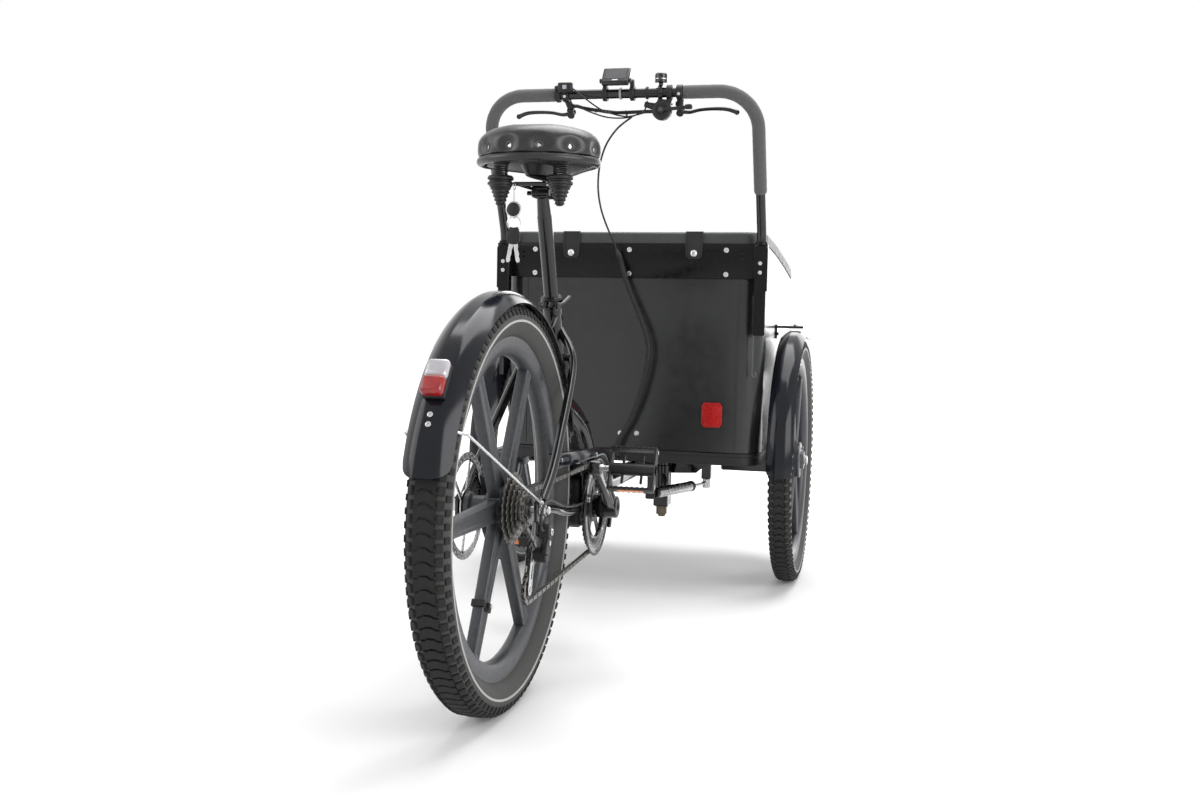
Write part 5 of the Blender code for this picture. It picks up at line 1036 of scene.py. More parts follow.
def makeGuardScrews():      # two on the rear guard's middle line, below the lamp
    screws = []
    for turn in (150.6, 153.0):
        outward = aimed(turn)
        screws.append(socketBolt("guard_screw", 0.0044, rearHub + outward * 0.3586, outward, 0.0030))
    return joined("rear_guard_screws", screws)


def makeStay():
    outward = aimed(153.0)
    foot = spot(0.0743, -0.008, 0.3525)
    clear = foot + Vector((0.0, -0.015, 0.006))
    arch = [(0.04808, 0.32713), (0.03958, 0.33013), (0.03383, 0.33569), (0.02315, 0.34601), (0.00817, 0.3530)]
    right = [foot, clear] + [rearHub + outward * reach + Vector((x, 0.0, 0.0)) for x, reach in arch]
    left = [Vector((-here.x, here.y, here.z)) for here in reversed(right)]
    items = [hose("stay_wire", right + left, 0.0024, 4)]
    for side in (-1.0, 1.0):
        eye = Vector((side * foot.x, foot.y, foot.z))
        items.append(spun("stay_eye", [(0.0024, -0.0016), (0.0060, -0.0016), (0.0060, 0.0016),
                                       (0.0024, 0.0016)], eye, "X", 24, closed=True))
        items.append(bolt("stay_screw", 0.0042, eye + sideways * side * 0.0012, (side, 0.0, 0.0), 0.0026))
    return joined("mudguard_stay_wire", items)


def makeCaliper():
    at = spot(-0.0650, 0.0890, 0.3625)
    case = box("caliper_case", (0.042, 0.044, 0.040), at, rounding=0.006, segments=3)
    cut(case, [box("rotor_slot", (0.0042, 0.060, 0.060), spot(-0.0588, 0.0790, 0.3625))])
    items = [smooth(case)]
    items.append(spun("piston_cover", [(0.0, -0.0026), (0.0085, -0.0026), (0.0105, -0.0012), (0.0120, 0.0),
                                       (0.0120, 0.002), (0.0, 0.002)], at - sideways * 0.0210, "X", 40))
    for y in (0.012, -0.012):
        items.append(socketBolt("caliper_bolt", 0.0045, at + Vector((-0.004, y, 0.0200)), upward, 0.0035))
    return joined("caliper_body", items)


fitted(makeFrame(), glossPaint, "rear_frame", "black_paint", "frame")
clampRing, clampEars = makeSeatClamp()
fitted(clampRing, glossPaint, "rear_frame", "bright_steel", "seat_clamp")
fitted(makeSeatLever(clampEars), glossPaint, "seat_lever", "bright_steel", "seat_lever")
fitted(makeMotor(), blackPlastic, "rear_frame", "black_plastic", "motor")
fitted(makeRearAxle(), brightSteel, "rear_frame", "bright_steel", "rear_axle")
fitted(makeGuard("rear_mudguard_shell", guards["rear"], rearHub), guardGloss, "rear_frame", "mudguard",
       "rear_mudguard")
lampBase, lampRed, lampClear = makeTailLight()
fitted(lampBase, blackPlastic, "rear_frame", "black_plastic")
fitted(makeGuardScrews(), brightSteel, "rear_frame", "bright_steel")
fitted(lampRed, redLens, "rear_frame", "red_lens", "tail_light")
fitted(lampClear, clearLens, "rear_frame", "red_lens")
fitted(makeStay(), brightSteel, "rear_frame", "bright_steel", "mudguard_stay")
fitted(makeCaliper(), blackPlastic, "rear_frame", "black_plastic", "brake_caliper")
for side, sideName in bothSides:
    hub = frontHub(side)
    guard = makeGuard("front_mudguard_shell_" + sideName, guards["front"], hub)
    fitted(guard, guardGloss, "front_carrier", "mudguard", "front_mudguard_" + sideName)
    top = hub.z + guards["front"]["radius"]
    inner, outer = 0.3133, 0.382
    arm = box("guard_arm", (outer - inner, 0.030, 0.0060),
              spot(side * (inner + outer) / 2.0, trike["wheelbase"], top + 0.0078), rounding=0.002)
    foot = box("guard_foot", (0.004, 0.034, 0.036),
               spot(side * (inner + 0.002), trike["wheelbase"], top - 0.004), rounding=0.0012)
    pieces = [arm, foot]
    for dy in (-0.009, 0.009):
        pieces.append(bolt("foot_bolt", 0.0042,
                           spot(side * (inner + 0.004), trike["wheelbase"] + dy, top - 0.010),
                           (side, 0.0, 0.0), 0.003))
    fitted(joined("guard_bracket_" + sideName, pieces), glossPaint, "front_carrier", "black_paint")
    screw = bolt("guard_screw_" + sideName, 0.0058,
                 spot(side * trike["halfTrack"], trike["wheelbase"], top + 0.0106), (0.0, 0.0, 1.0), 0.0038,
                 20)
    fitted(screw, brightSteel, "front_carrier", "bright_steel")
print("frame and mudguards made")


# Drive

pitch = 0.0127
chainX = 0.0495
teethOf = {"chainring": 42, "cassette": (30, 26, 22, 18, 15, 13), "driven": 15, "jockey": 11}
jockeys = {"jockey_upper": (0.018, 0.262), "jockey_lower": (0.002, 0.2055)}


def pitchRadius(teeth):
    return teeth * pitch / (2.0 * pi)


def toothed(name, teeth, thickness, at, bore, rise=0.0042):     # a sprocket seen from the side
    outline = []
    root = pitchRadius(teeth) - 0.0036
    for index in range(teeth):
        middle = 2.0 * pi * index / teeth
        half = pi / teeth
        for turn, reach in ((-0.94 * half, root), (-0.52 * half, root + 0.35 * rise),
                            (-0.24 * half, root + rise), (0.24 * half, root + rise),
                            (0.52 * half, root + 0.35 * rise)):
            outline.append((reach * cos(middle + turn), reach * sin(middle + turn)))
    wheel = slab(name, outline, thickness, at, sideOn)
    if bore:
        cut(wheel, [rod("bore", bore, Vector(at) - sideways * 0.02, Vector(at) + sideways * 0.02, 32)])
    return smooth(wheel)


def tangents(first, second):
    (c0, r0, s0), (c1, r1, s1) = first, second
    run = Vector((c1[0] - c0[0], c1[1] - c0[1]))
    away = run.length
    base = atan2(run.y, run.x)
    turn = acos(max(-1.0, min(1.0, (s0 * r0 - s1 * r1) / away)))
    angle = base - turn
    normal = Vector((cos(angle), sin(angle)))
    return Vector(c0) + normal * (s0 * r0), Vector(c1) + normal * (s1 * r1)


def chainLoop():
    jockeyRadius = pitchRadius(teethOf["jockey"])
    wheels = [((trike["crankY"], trike["crankZ"]), pitchRadius(teethOf["chainring"]), 1.0),
              ((0.0, trike["rearRadius"]), pitchRadius(teethOf["driven"]), 1.0),
              (jockeys["jockey_upper"], jockeyRadius, -1.0), (jockeys["jockey_lower"], jockeyRadius, 1.0)]
    touches = [tangents(wheels[index], wheels[(index + 1) % 4]) for index in range(4)]
    route = []
    for index in range(4):
        (centre, radius, sense) = wheels[index]
        arrive = touches[index - 1][1] - Vector(centre)
        leave = touches[index][0] - Vector(centre)
        start = atan2(arrive.y, arrive.x)
        end = atan2(leave.y, leave.x)
        sweep = (end - start) % (2.0 * pi)
        if sense < 0.0:
            sweep -= 2.0 * pi
        steps = max(2, int(abs(sweep) / 0.05))
        for step in range(steps + 1):
            turn = start + sweep * step / steps
            route.append(Vector(centre) + radius * Vector((cos(turn), sin(turn))))
    return [spot(chainX, here.x, here.y) for here in route + route[:1]]


def linkPlate(name, x, thick, waist):
    outline = []
    for end in (1.0, -1.0):
        for step in range(7):
            turn = pi * (step / 6.0 - 0.5)
            outline.append((end * (pitch / 2.0 + 0.0041 * cos(turn)), end * 0.0041 * sin(turn)))
        outline.append((0.0, end * waist))
    return slab(name, outline, thick, (x, 0.0, 0.0), sideOn)


def makeLink(outer):
    x = 0.0029 if outer else 0.0018
    items = [linkPlate("link_plate", x, 0.0009, 0.0028), linkPlate("link_plate", -x, 0.0009, 0.0028)]
    pin, roller = ("link_pin", 0.0017, 0.0036, 8), ("link_roller", 0.0036, 0.0014, 10)
    name, radius, half, sides = pin if outer else roller
    for y in (-pitch / 2.0, pitch / 2.0):
        items.append(rod(name, radius, (-half, y, 0.0), (half, y, 0.0), sides))
    return joined("link", items)


def makeChain():
    route = chainLoop()
    total = sum((b - a).length for a, b in zip(route, route[1:]))
    count = 2 * round(total / pitch / 2.0)
    joints = evenly(route, total / count)[:count]
    links = {True: makeLink(True), False: makeLink(False)}
    pieces = []
    for index, here in enumerate(joints):
        after = joints[(index + 1) % count]
        link = links[index % 2 == 0]
        twin = link.copy()
        twin.data = link.data.copy()
        bpy.context.scene.collection.objects.link(twin)
        run = after - here
        twin.location = (here + after) / 2.0
        twin.rotation_euler = (atan2(run.z, run.y), 0.0, 0.0)
        pieces.append(twin)
    for link in links.values():
        bpy.data.objects.remove(link)
    chain = joined("chain_links", pieces)
    return smooth(settle(chain)), total, count


def makeChainring():
    at = spot(chainX, trike["crankY"], trike["crankZ"])
    ring = toothed("chainring_teeth", teethOf["chainring"], 0.0028, at, 0.066)
    spider = [ring, spun("spider_hub", [(0.0224, -0.0030), (0.0310, -0.0030), (0.0310, 0.0030),
                                        (0.0224, 0.0030)], at, "X", 48, closed=True)]
    arm = box("spider_arm", (0.0036, 0.0150, 0.0430), at + Vector((0.0, 0.0, 0.0500)), rounding=0.0012)
    spider.append(ringOf(arm, 5, crankSpot))
    return joined("chainring_wheel", spider)


def makeGuardRing():
    at = spot(chainX + 0.0075, trike["crankY"], trike["crankZ"])
    profile = [(0.0600, -0.0010), (0.0615, -0.0016), (0.0930, -0.0016), (0.0972, -0.0008), (0.0980, 0.0006),
               (0.0972, 0.0022), (0.0940, 0.0026), (0.0900, 0.0016), (0.0855, 0.0006), (0.0700, 0.0004),
               (0.0650, 0.0014), (0.0625, 0.0014), (0.0602, 0.0008)]
    dark = [spun("guard_ring", profile, at, "X", 112, closed=True)]
    spacer = rod("ring_spacer", 0.0042, at + Vector((-0.0075, 0.0, 0.0665)), at + Vector((0.0, 0.0, 0.0665)),
                 12)
    dark.append(ringOf(spacer, 5, at))
    screw = socketBolt("ring_screw", 0.0048, at + Vector((0.0004, 0.0, 0.0665)), (1.0, 0.0, 0.0), 0.0028)
    # The thin bright steel line on the ring's face is a painted highlight, the white streak along the ring's
    # step
    line = spun("ring_highlight_line", [(0.0846, 0.0002), (0.0858, 0.0002), (0.0860, 0.0011), (0.0846, 0.0009)], at,
                "X", 112, closed=True)
    return joined("guard_ring_dark", dark), joined("guard_ring_screws", [ringOf(screw, 5, at), line])


def makeCassette():
    items = []
    for index, teeth in enumerate(teethOf["cassette"]):
        beyond = 0.0045 if teeth == 13 else 0.0
        x = 0.0240 + 0.0052 * index if teeth > teethOf["driven"] else chainX + beyond
        items.append(toothed("sprocket", teeth, 0.0018, rearHub + sideways * x, 0.0, 0.0040))
    body = [(0.0066, 0.0217), (0.0300, 0.0217), (0.0300, 0.0238), (0.0215, 0.0245), (0.0215, 0.0540),
            (0.0150, 0.0560), (0.0066, 0.0560)]
    items.append(spun("cassette_core", body, rearHub, "X", 40, closed=True))
    return joined("cassette_sprockets", items)


def makeJockey(name, place):
    at = spot(chainX, *place)
    wheel = toothed(name, teethOf["jockey"], 0.0036, at, 0.0034, 0.0036)
    holes = rod("jockey_hole", 0.0028, at + Vector((-0.01, 0.0, 0.0105)), at + Vector((0.01, 0.0, 0.0105)),
                12)
    return smooth(cut(wheel, [ringOf(holes, 5, at)]))


def makeDerailleur():
    upper, lower = [spot(0.0, *place) for place in jockeys.values()]
    run = (lower - upper).normalized()
    cage = []
    for x in (chainX - 0.0049, chainX + 0.0049):
        outline = []
        for place, sense in ((upper, -1.0), (lower, 1.0)):
            base = atan2(run.z * sense, run.y * sense)
            for step in range(7):
                turn = base + pi * (step / 6.0 - 0.5)
                outline.append((place.y + 0.0100 * cos(turn), place.z + 0.0100 * sin(turn)))
        side = slab("cage_side", outline, 0.0014, (x, 0.0, 0.0), sideOn, 0.0003)
        window = [upper.lerp(lower, 0.30), upper.lerp(lower, 0.70)]
        middle = (window[0] + window[1]) / 2.0
        hole = box("cage_window", (0.02, 0.0060, (window[1] - window[0]).length),
                   Vector((x, middle.y, middle.z)), (atan2(run.z, run.y) - pi / 2.0, 0.0, 0.0), 0.0025)
        cage.append(smooth(cut(side, [hole])))
    for place in (upper, lower):
        cage.append(rod("cage_pin", 0.0029, place + sideways * (chainX - 0.0066),
                        place + sideways * (chainX + 0.0066), 16))
        cage.append(socketBolt("cage_screw", 0.0042, place + sideways * (chainX + 0.0056), (1.0, 0.0, 0.0),
                               0.0022))
    top = spot(0.0720, 0.0, 0.3045)
    bottom = spot(0.0575, 0.018, 0.262)
    body = [rod("hanger_knuckle", 0.0128, top, top + sideways * 0.018, 32, None, 0.0022, 3),
            rod("cage_knuckle", 0.0128, bottom, bottom + sideways * 0.022, 32, None, 0.0022, 3)]
    for shift in (-0.0052, 0.0052):
        start = top + Vector((0.009, shift, 0.0))
        end = bottom + Vector((0.012, shift, 0.0))
        middle = (start + end) / 2.0
        reach = end - start
        body.append(box("link_arm", (0.0130, 0.0034, reach.length), middle,
                        reach.to_track_quat("Z", "X").to_euler(), 0.0010))
    body.append(box("link_cover", (0.0060, 0.0220, 0.0380), (top + bottom) / 2.0 + sideways * 0.0165,
                    (radians(-23.0), 0.0, 0.0), 0.0018))
    body.append(rod("cable_stop", 0.0036, top + Vector((0.010, -0.0100, 0.002)),
                    top + Vector((0.010, -0.0190, 0.0045)), 16))
    bolts = [socketBolt("knuckle_bolt", 0.0060, top + sideways * 0.0178, (1.0, 0.0, 0.0), 0.0030),
             bolt("cable_anchor", 0.0046, (top + bottom) / 2.0 + sideways * 0.0192, (1.0, 0.0, 0.0), 0.0030)]
    plates, knuckles = joined("derailleur_cage_plates", cage), joined("derailleur_knuckles", body)
    return plates, knuckles, joined("derailleur_bolts", bolts)


def makeShiftCable():       # from the chainstay's end round to the derailleur, and its run along the stay
    knots = [(0.0560, 0.330, 0.3055), (0.0655, 0.230, 0.3140), (0.0755, 0.130, 0.3285),
             (0.0800, 0.070, 0.3420), (0.0835, 0.010, 0.3560), (0.0850, -0.030, 0.3500),
             (0.0845, -0.042, 0.3320), (0.0830, -0.034, 0.3150), (0.0822, -0.018, 0.3085)]
    line = curveThrough([spot(*knot) for knot in knots], 6)
    items = [hose("shift_housing", line, 0.0024, 4)]
    for x, y, z in ((0.0655, 0.230, 0.3140), (0.0755, 0.130, 0.3285)):
        items.append(rod("stay_clip", 0.0036, spot(x, y - 0.004, z - 0.0006), spot(x, y + 0.004, z + 0.0006),
                         16, None, 0.0006))
    return joined("shift_cable", items)


def makeChainGuard():
    x, inner = 0.0622, 0.102
    outer = inner + 0.014
    def arc(radius, *angles):       # round the crank's axis
        return [(trike["crankY"] + radius * cos(radians(angle)),
                 trike["crankZ"] + radius * sin(radians(angle))) for angle in range(*angles)]
    bow, back = arc(outer, 84, -31, -6), arc(inner, -30, 100, 6)
    band = [(0.128, 0.392), (0.1245, 0.396), (0.1220, 0.4165), (0.1250, 0.4205)]
    shield = slab("guard_shield", band + bow + back, 0.0025, spot(x, 0.0, 0.0), sideOn, 0.0007)
    lip = [spot(x - 0.0035, y, z) for y, z in [(0.1245, 0.4195)] + bow[2:]]
    top = [(0.1245, 0.4205)] + bow      # the flange that turns in over the chain
    under = arc(outer - 0.0022, -30, 85, 6) + [(0.1245, 0.4183)]
    flange = slab("guard_flange", top + under, 0.0160, spot(x - 0.0070, 0.0, 0.0), sideOn, 0.0006)
    items = [shield, flange, hose("guard_lip", lip, 0.0021, 3)]
    seatZ = 0.383
    seatY = trike["crankY"] - (seatZ - trike["crankZ"]) * cos(seatAngle) / sin(seatAngle)
    reach = 0.0161
    items.append(box("guard_tab", (x - reach, 0.012, 0.0070), spot((x + reach) / 2.0, seatY, seatZ),
                     rounding=0.0012))
    screws = [socketBolt("guard_screw", 0.0038, spot(x + 0.0012, y, z), sideways, 0.0022)
              for y, z in ((seatY, seatZ + 0.0085), (0.150, 0.4060))]
    return joined("chain_guard_shield", items), joined("chain_guard_screws", screws)


crank = {"length": 0.170, "angle": 146.6, "armX": 0.0900, "thick": 0.0190}


def makeCrank(name, side):
    reach = aimed(crank["angle"]) * crank["length"] * side
    end = crankSpot + reach
    turn = atan2(reach.z, reach.y)
    middle = crankSpot + reach / 2.0 + sideways * side * crank["armX"]
    arm = box("crank_arm", (crank["thick"], crank["length"], 0.0250), middle, (turn, 0.0, 0.0))
    direction = reach.normalized()
    selectFaces(arm, lambda at, normal: normal.dot(direction) > 0.9)
    bpy.ops.transform.resize(value=(0.82, 0.86, 0.86), center_override=end + sideways * side * crank["armX"])
    leaveEdit()
    selectFaces(arm, lambda at, normal: normal.dot(-direction) > 0.9)
    bpy.ops.transform.resize(value=(1.0, 1.18, 1.18),
                             center_override=crankSpot + sideways * side * crank["armX"])
    leaveEdit()
    selectFaces(arm, lambda at, normal: normal.x * side > 0.9)
    bpy.ops.mesh.inset(thickness=0.0055, depth=-0.0018)
    leaveEdit()
    rounded(arm, 0.0030, 3, 40.0)
    outer = crank["armX"] + crank["thick"] / 2.0
    inner = crank["armX"] - crank["thick"] / 2.0
    eye = spun("crank_eye", [(0.0, inner), (0.0128, inner), (0.0143, inner + 0.002), (0.0143, outer - 0.002),
                             (0.0128, outer + 0.0004), (0.0, outer + 0.0004)],
               (0.0, end.y, end.z), "X", 36)
    boss = [(0.0125, 0.0480), (0.0220, 0.0480), (0.0220, inner + 0.002), (0.0214, outer - 0.001),
            (0.0190, outer + 0.0008), (0.0100, outer + 0.0008), (0.0092, outer - 0.0015),
            (0.0, outer - 0.0015)]
    if side < 0.0:
        eye = mirrored(eye, "crank_eye_left")
        bpy.data.objects.remove(bpy.data.objects["crank_eye"])
    hub = spun("crank_hub", [(out, along * side) for out, along in boss], crankSpot, "X", 48)
    axle = rod("pedal_axle", 0.005, end + sideways * side * (outer - 0.004), end + sideways * side * 0.198,
               20, None, 0.0006)
    flat = rod("axle_flat", 0.0068, end + sideways * side * outer, end + sideways * side * (outer + 0.0045),
               6)
    return joined(name, [smooth(arm), eye, hub]), joined(name + "_axle", [axle, flat])


def makePedal(name, side, tilt):
    at = crankSpot + aimed(crank["angle"]) * crank["length"] * side + sideways * side * 0.160
    wide, long, tall, wall = 0.088, 0.084, 0.020, 0.0055
    items = []
    for sign in (-1.0, 1.0):
        rail = box("pedal_rail", (wide, wall, tall), at + Vector((0.0, sign * (long - wall) / 2.0, 0.0)),
                   rounding=0.0016)
        items.append(rail)
        for top in (-1.0, 1.0):     # grip teeth along both edges
            tooth = box("pedal_tooth", (0.0052, wall, 0.0030),
                        at + Vector((-wide / 2.0 + 0.009, sign * (long - wall) / 2.0,
                                     top * (tall / 2.0 + 0.0006))), rounding=0.0008)
            items.append(rowOf(tooth, 8, (0.0100, 0.0, 0.0)))
        items.append(box("pedal_end", (wall - 0.001, long - 0.001, tall - 0.001),
                         at + Vector((sign * (wide - wall) / 2.0, 0.0, 0.0)), rounding=0.0016))
    items.append(rod("pedal_barrel", 0.0115, at - sideways * 0.0435, at + sideways * 0.0435, 32, None,
                     0.0012))
    for sign in (-1.0, 1.0):
        items.append(box("pedal_web", (0.0050, 0.056, 0.0065), at + sideways * sign * 0.018, rounding=0.0016))
    screws = []
    for sign in (-1.0, 1.0):
        for shift in (-0.034, 0.034):
            screws.append(socketBolt("pedal_screw", 0.0030, at + Vector((sign * 0.0440, shift, 0.0)),
                                     (sign, 0.0, 0.0), 0.0018))
    cage, screws = joined(name, items), joined(name + "_screws", screws)
    reflectors = []
    for sign in (-1.0, 1.0):
        reflectors.append(box("pedal_reflector", (0.050, 0.0040, 0.0105),
                              at + Vector((0.0, sign * (long / 2.0 - 0.0008), 0.0)), rounding=0.0014))
    reflector = joined(name + "_reflectors", reflectors)
    for item in (cage, screws, reflector):
        item.matrix_world = turnAbout(at, tilt, "X")
        settle(item)
    return smooth(cage), screws, reflector


chainPiece, chainLength, linkCount = makeChain()
fitted(chainPiece, chainSteel, "rear_frame", "bright_steel", "chain")
print("chain of", linkCount, "links,", round(chainLength, 3), "m")
fitted(makeChainring(), darkAlloy, "crankset", "bright_steel")
guardRing, ringScrews = makeGuardRing()
fitted(guardRing, blackCase, "crankset", "bright_steel", "chainring")
fitted(ringScrews, brightSteel, "crankset", "bright_steel")
fitted(makeCassette(), chainSteel, "cassette", "bright_steel", "cassette")
for jockey, place in jockeys.items():
    fitted(makeJockey(jockey + "_wheel", place), blackPlastic, jockey, "black_plastic", jockey)
cagePlates, knuckles, knuckleBolts = makeDerailleur()
fitted(cagePlates, brightSteel, "rear_frame", "bright_steel", "derailleur_cage")
fitted(knuckles, blackPlastic, "rear_frame", "black_plastic", "derailleur_body")
fitted(knuckleBolts, brightSteel, "rear_frame", "bright_steel")
fitted(makeShiftCable(), blackPlastic, "rear_frame", "black_plastic")
guardShield, guardScrews = makeChainGuard()
fitted(guardShield, guardGloss, "rear_frame", "black_plastic", "chain_guard")
fitted(guardScrews, brightSteel, "rear_frame", "bright_steel")
for side, sideName, tilt in ((1.0, "right", 65.0), (-1.0, "left", 10.0)):
    arm, axle = makeCrank("crank_arm_" + sideName, side)
    fitted(arm, glossPaint, "crankset", "black_paint", "crank_" + sideName)
    fitted(axle, brightSteel, "crankset", "bright_steel")
    cage, screws, reflector = makePedal("pedal_cage_" + sideName, side, tilt)
    fitted(cage, blackPlastic, "pedal_" + sideName, "black_plastic", "pedal_" + sideName)
    fitted(screws, brightSteel, "pedal_" + sideName, "bright_steel")
    fitted(reflector, orangeReflector, "pedal_" + sideName, "red_lens")
spindle = rod("bottom_spindle", 0.0118, crankSpot - sideways * 0.090, crankSpot + sideways * 0.086, 32)
fitted(spindle, brightSteel, "crankset", "bright_steel")
print("drive made")


# Saddle

saddle = {"rearY": 0.094, "length": 0.266, "rear": 0.239, "nose": 0.075, "rimZ": 0.926, "bulge": 0.023,
          "low": 0.030, "high": 0.050, "tufts": 6, "step": 27.0}


def saddleHalf(along):
    blend = 1.0 / (1.0 + (along / 0.62) ** 5.0)
    return saddle["nose"] / 2.0 + (saddle["rear"] - saddle["nose"]) / 2.0 * blend


def tuftAngle(index):
    return -pi / 2.0 + radians(saddle["step"]) * (index - (saddle["tufts"] - 1) / 2.0)


def makeCushion():
    shape = ball("saddle_cushion_cover", 1.0, (0.0, 0.0, 0.0), sides=144, rings=72)
    size = saddle
    middle = size["rearY"] + size["length"] / 2.0
    base = size["rimZ"] + size["bulge"]
    for vert in shape.data.vertices:
        east, north, up = vert.co
        reach = hypot(east, north)
        flat = reach ** 0.55 / reach if reach > 0.0001 else 1.0
        along = 0.5 + 0.5 * north * flat
        rise = abs(up) ** 0.80 * (1.0 if up > 0.0 else -1.0)
        x = east * flat * saddleHalf(along) * 1.02
        y = middle + north * flat * size["length"] / 2.0
        z = base + rise * (size["high"] if rise > 0.0 else size["low"]) - 0.016 * along * max(0.0, rise)
        for index in range(size["tufts"]):
            angle = tuftAngle(index)
            apart = hypot(hypot(east * flat - cos(angle), north * flat - sin(angle)) / 0.205,
                          (up - 0.02) / 0.40)
            dent = 0.5 + 0.5 * cos(pi * min(1.0, apart))
            x -= cos(angle) * 0.0080 * dent
            y -= sin(angle) * 0.0080 * dent
        # the sewn joint above the lip
        seam = max(0.0, 1.0 - abs(up + 0.30) / 0.05) * (1.0 if reach > 0.6 else 0.0)
        x -= east * 0.0022 * seam
        y -= north * 0.0022 * seam
        hollow = max(0.0, 1.0 - (x / 0.030) ** 2) * max(0.0, rise) * min(1.0, 2.2 * along) * 0.0045
        z = max(z - hollow, size["rimZ"] - 0.0005)
        vert.co = spot(x, y, z)
    piping = []
    for step in range(120):
        turn = 2.0 * pi * step / 120.0
        east, north = cos(turn), sin(turn)
        flat = 0.955
        along = 0.5 + 0.5 * north * flat
        piping.append(spot(east * flat * saddleHalf(along), middle + north * flat * size["length"] / 2.0,
                           size["rimZ"] + 0.0042))
    lip = hose("saddle_lip", piping, 0.0080, 7, True)
    return smooth(joined("saddle_cushion_cover", [shape, lip]), 60.0)


def makeEyelets():
    rings, cups = [], []
    size = saddle
    middle = size["rearY"] + size["length"] / 2.0
    for index in range(size["tufts"]):
        angle = tuftAngle(index)
        along = 0.5 + 0.5 * sin(angle)
        back = 0.0078
        at = spot(cos(angle) * (saddleHalf(along) * 1.02 - back),
                  middle + sin(angle) * (size["length"] / 2.0 - back), size["rimZ"] + 0.0245)
        out = Vector((cos(angle) / size["rear"] * 2.0, sin(angle) / size["length"] * 2.0,
                      0.06 / 0.13)).normalized()
        turn = out.to_track_quat("Z", "Y").to_euler()
        ring = spun("eyelet", [(0.0042, -0.003), (0.0074, -0.003), (0.0076, 0.0008), (0.0064, 0.0020),
                               (0.0048, 0.0014), (0.0042, 0.0002)], (0.0, 0.0, 0.0), "Z", 28, closed=True)
        ring.rotation_euler, ring.location = turn, at
        rings.append(settle(ring))
        cups.append(rod("eyelet_cup", 0.0044, at - out * 0.004, at + out * 0.0001, 16))
    return joined("saddle_eyelets", rings), joined("saddle_eyelet_cups", cups)


def makePan():
    # The dished plate under the cushion, its outline drawn and given depth
    size = saddle
    middle = size["rearY"] + size["length"] / 2.0
    outline = []
    for step in range(64):
        turn = 2.0 * pi * step / 64.0
        along = 0.5 + 0.5 * sin(turn)
        outline.append((cos(turn) * (saddleHalf(along) - 0.016),
                        middle + axleY + sin(turn) * (size["length"] / 2.0 - 0.014)))
    pan = slab("saddle_pan_plate", outline, 0.0034, (0.0, 0.0, size["rimZ"] - 0.0012), rounding=0.0012)
    keel = []       # the hollow boss along the middle that carries the rails' nose
    for step in range(48):
        turn = 2.0 * pi * step / 48.0
        keel.append((0.031 * cos(turn) * (1.0 - 0.22 * sin(turn)), axleY + 0.222 + 0.082 * sin(turn)))
    boss = slab("pan_keel", keel, 0.0180, (0.0, 0.0, size["rimZ"] - 0.0110))
    selectFaces(boss, lambda at, normal: normal.z < -0.9)
    bpy.ops.transform.resize(value=(0.70, 0.88, 1.0), center_override=spot(0.0, 0.222, size["rimZ"]))
    bpy.ops.mesh.inset(thickness=0.0035, depth=0.0)
    bpy.ops.mesh.extrude_region_move(TRANSFORM_OT_translate={"value": (0.0, 0.0, 0.0150)})
    leaveEdit()
    rounded(boss, 0.0012, 2, 40.0)
    plate = [smooth(pan), smooth(boss)]
    for side in (-1.0, 1.0):
        plate.append(spun("spring_seat",
                          [(0.0, 0.0), (0.0160, 0.0), (0.0166, -0.0010), (0.0160, -0.0020), (0.0, -0.0020)],
                          spot(side * 0.054, 0.142, size["rimZ"] - 0.0016), "Z", 36))
    return joined("saddle_pan_plate", plate)


def makeRails():
    high = saddle["rimZ"] - 0.0128
    noseY = saddle["rearY"] + 0.8 * saddle["length"]
    items = []
    for side in (-1.0, 1.0):
        knots = [(side * 0.016, noseY + 0.020, high), (side * 0.018, noseY - 0.004, high - 0.002),
                 (side * 0.022, noseY - 0.050, 0.893), (side * 0.022, 0.230, 0.889),
                 (side * 0.022, 0.162, 0.888), (side * 0.022, 0.140, 0.888)]
        items.append(hose("rail", curveThrough([spot(*knot) for knot in knots], 5), 0.0035, 4))
    items.append(rod("nose_bar", 0.0035, spot(-0.018, noseY + 0.019, high), spot(0.018, noseY + 0.019, high),
                     16))
    items.append(rod("rear_bar", 0.0037, spot(-0.0302, 0.142, 0.888), spot(0.0302, 0.142, 0.888), 16))
    return joined("saddle_rail_wires", items)


def makeSpring(name, side):
    at = Vector((side * 0.054, spot(0.0, 0.142, 0.0).y, 0.0))
    curls, perCurl, low, top = 5, 20, 0.9035, 0.9230
    wire = []
    for index in range(curls * perCurl + 1):
        turn = 2.0 * pi * index / perCurl
        share = index / (curls * perCurl)
        radius = 0.0125 - 0.0015 * (1.0 - share)
        wire.append(at + Vector((side * radius * cos(turn), radius * sin(turn), low + (top - low) * share)))
    coil = hose("spring_coil", wire, 0.0014, 3)
    profile = [(0.0, 0.9035), (0.0150, 0.9035), (0.0205, 0.9022)]
    depth = 0.9000
    for _ in range(2):
        profile += [(0.0226, depth - 0.0006), (0.0232, depth - 0.0025), (0.0226, depth - 0.0044),
                    (0.0197, depth - 0.0060), (0.0197, depth - 0.0078)]
        depth -= 0.009
    for index in range(5):
        radius = 0.0176 - 0.0094 * index / 4.0
        profile += [(radius, depth - 0.0008), (radius + 0.0006, depth - 0.0022),
                    (radius - 0.0004, depth - 0.0036), (radius - 0.0026, depth - 0.0046),
                    (radius - 0.0026, depth - 0.0058)]
        depth -= 0.0066
    profile += [(0.0, depth)]
    cone = spun("spring_cone", profile, (at.x, at.y, 0.0), "Z", 40)
    return joined(name, [coil, cone])


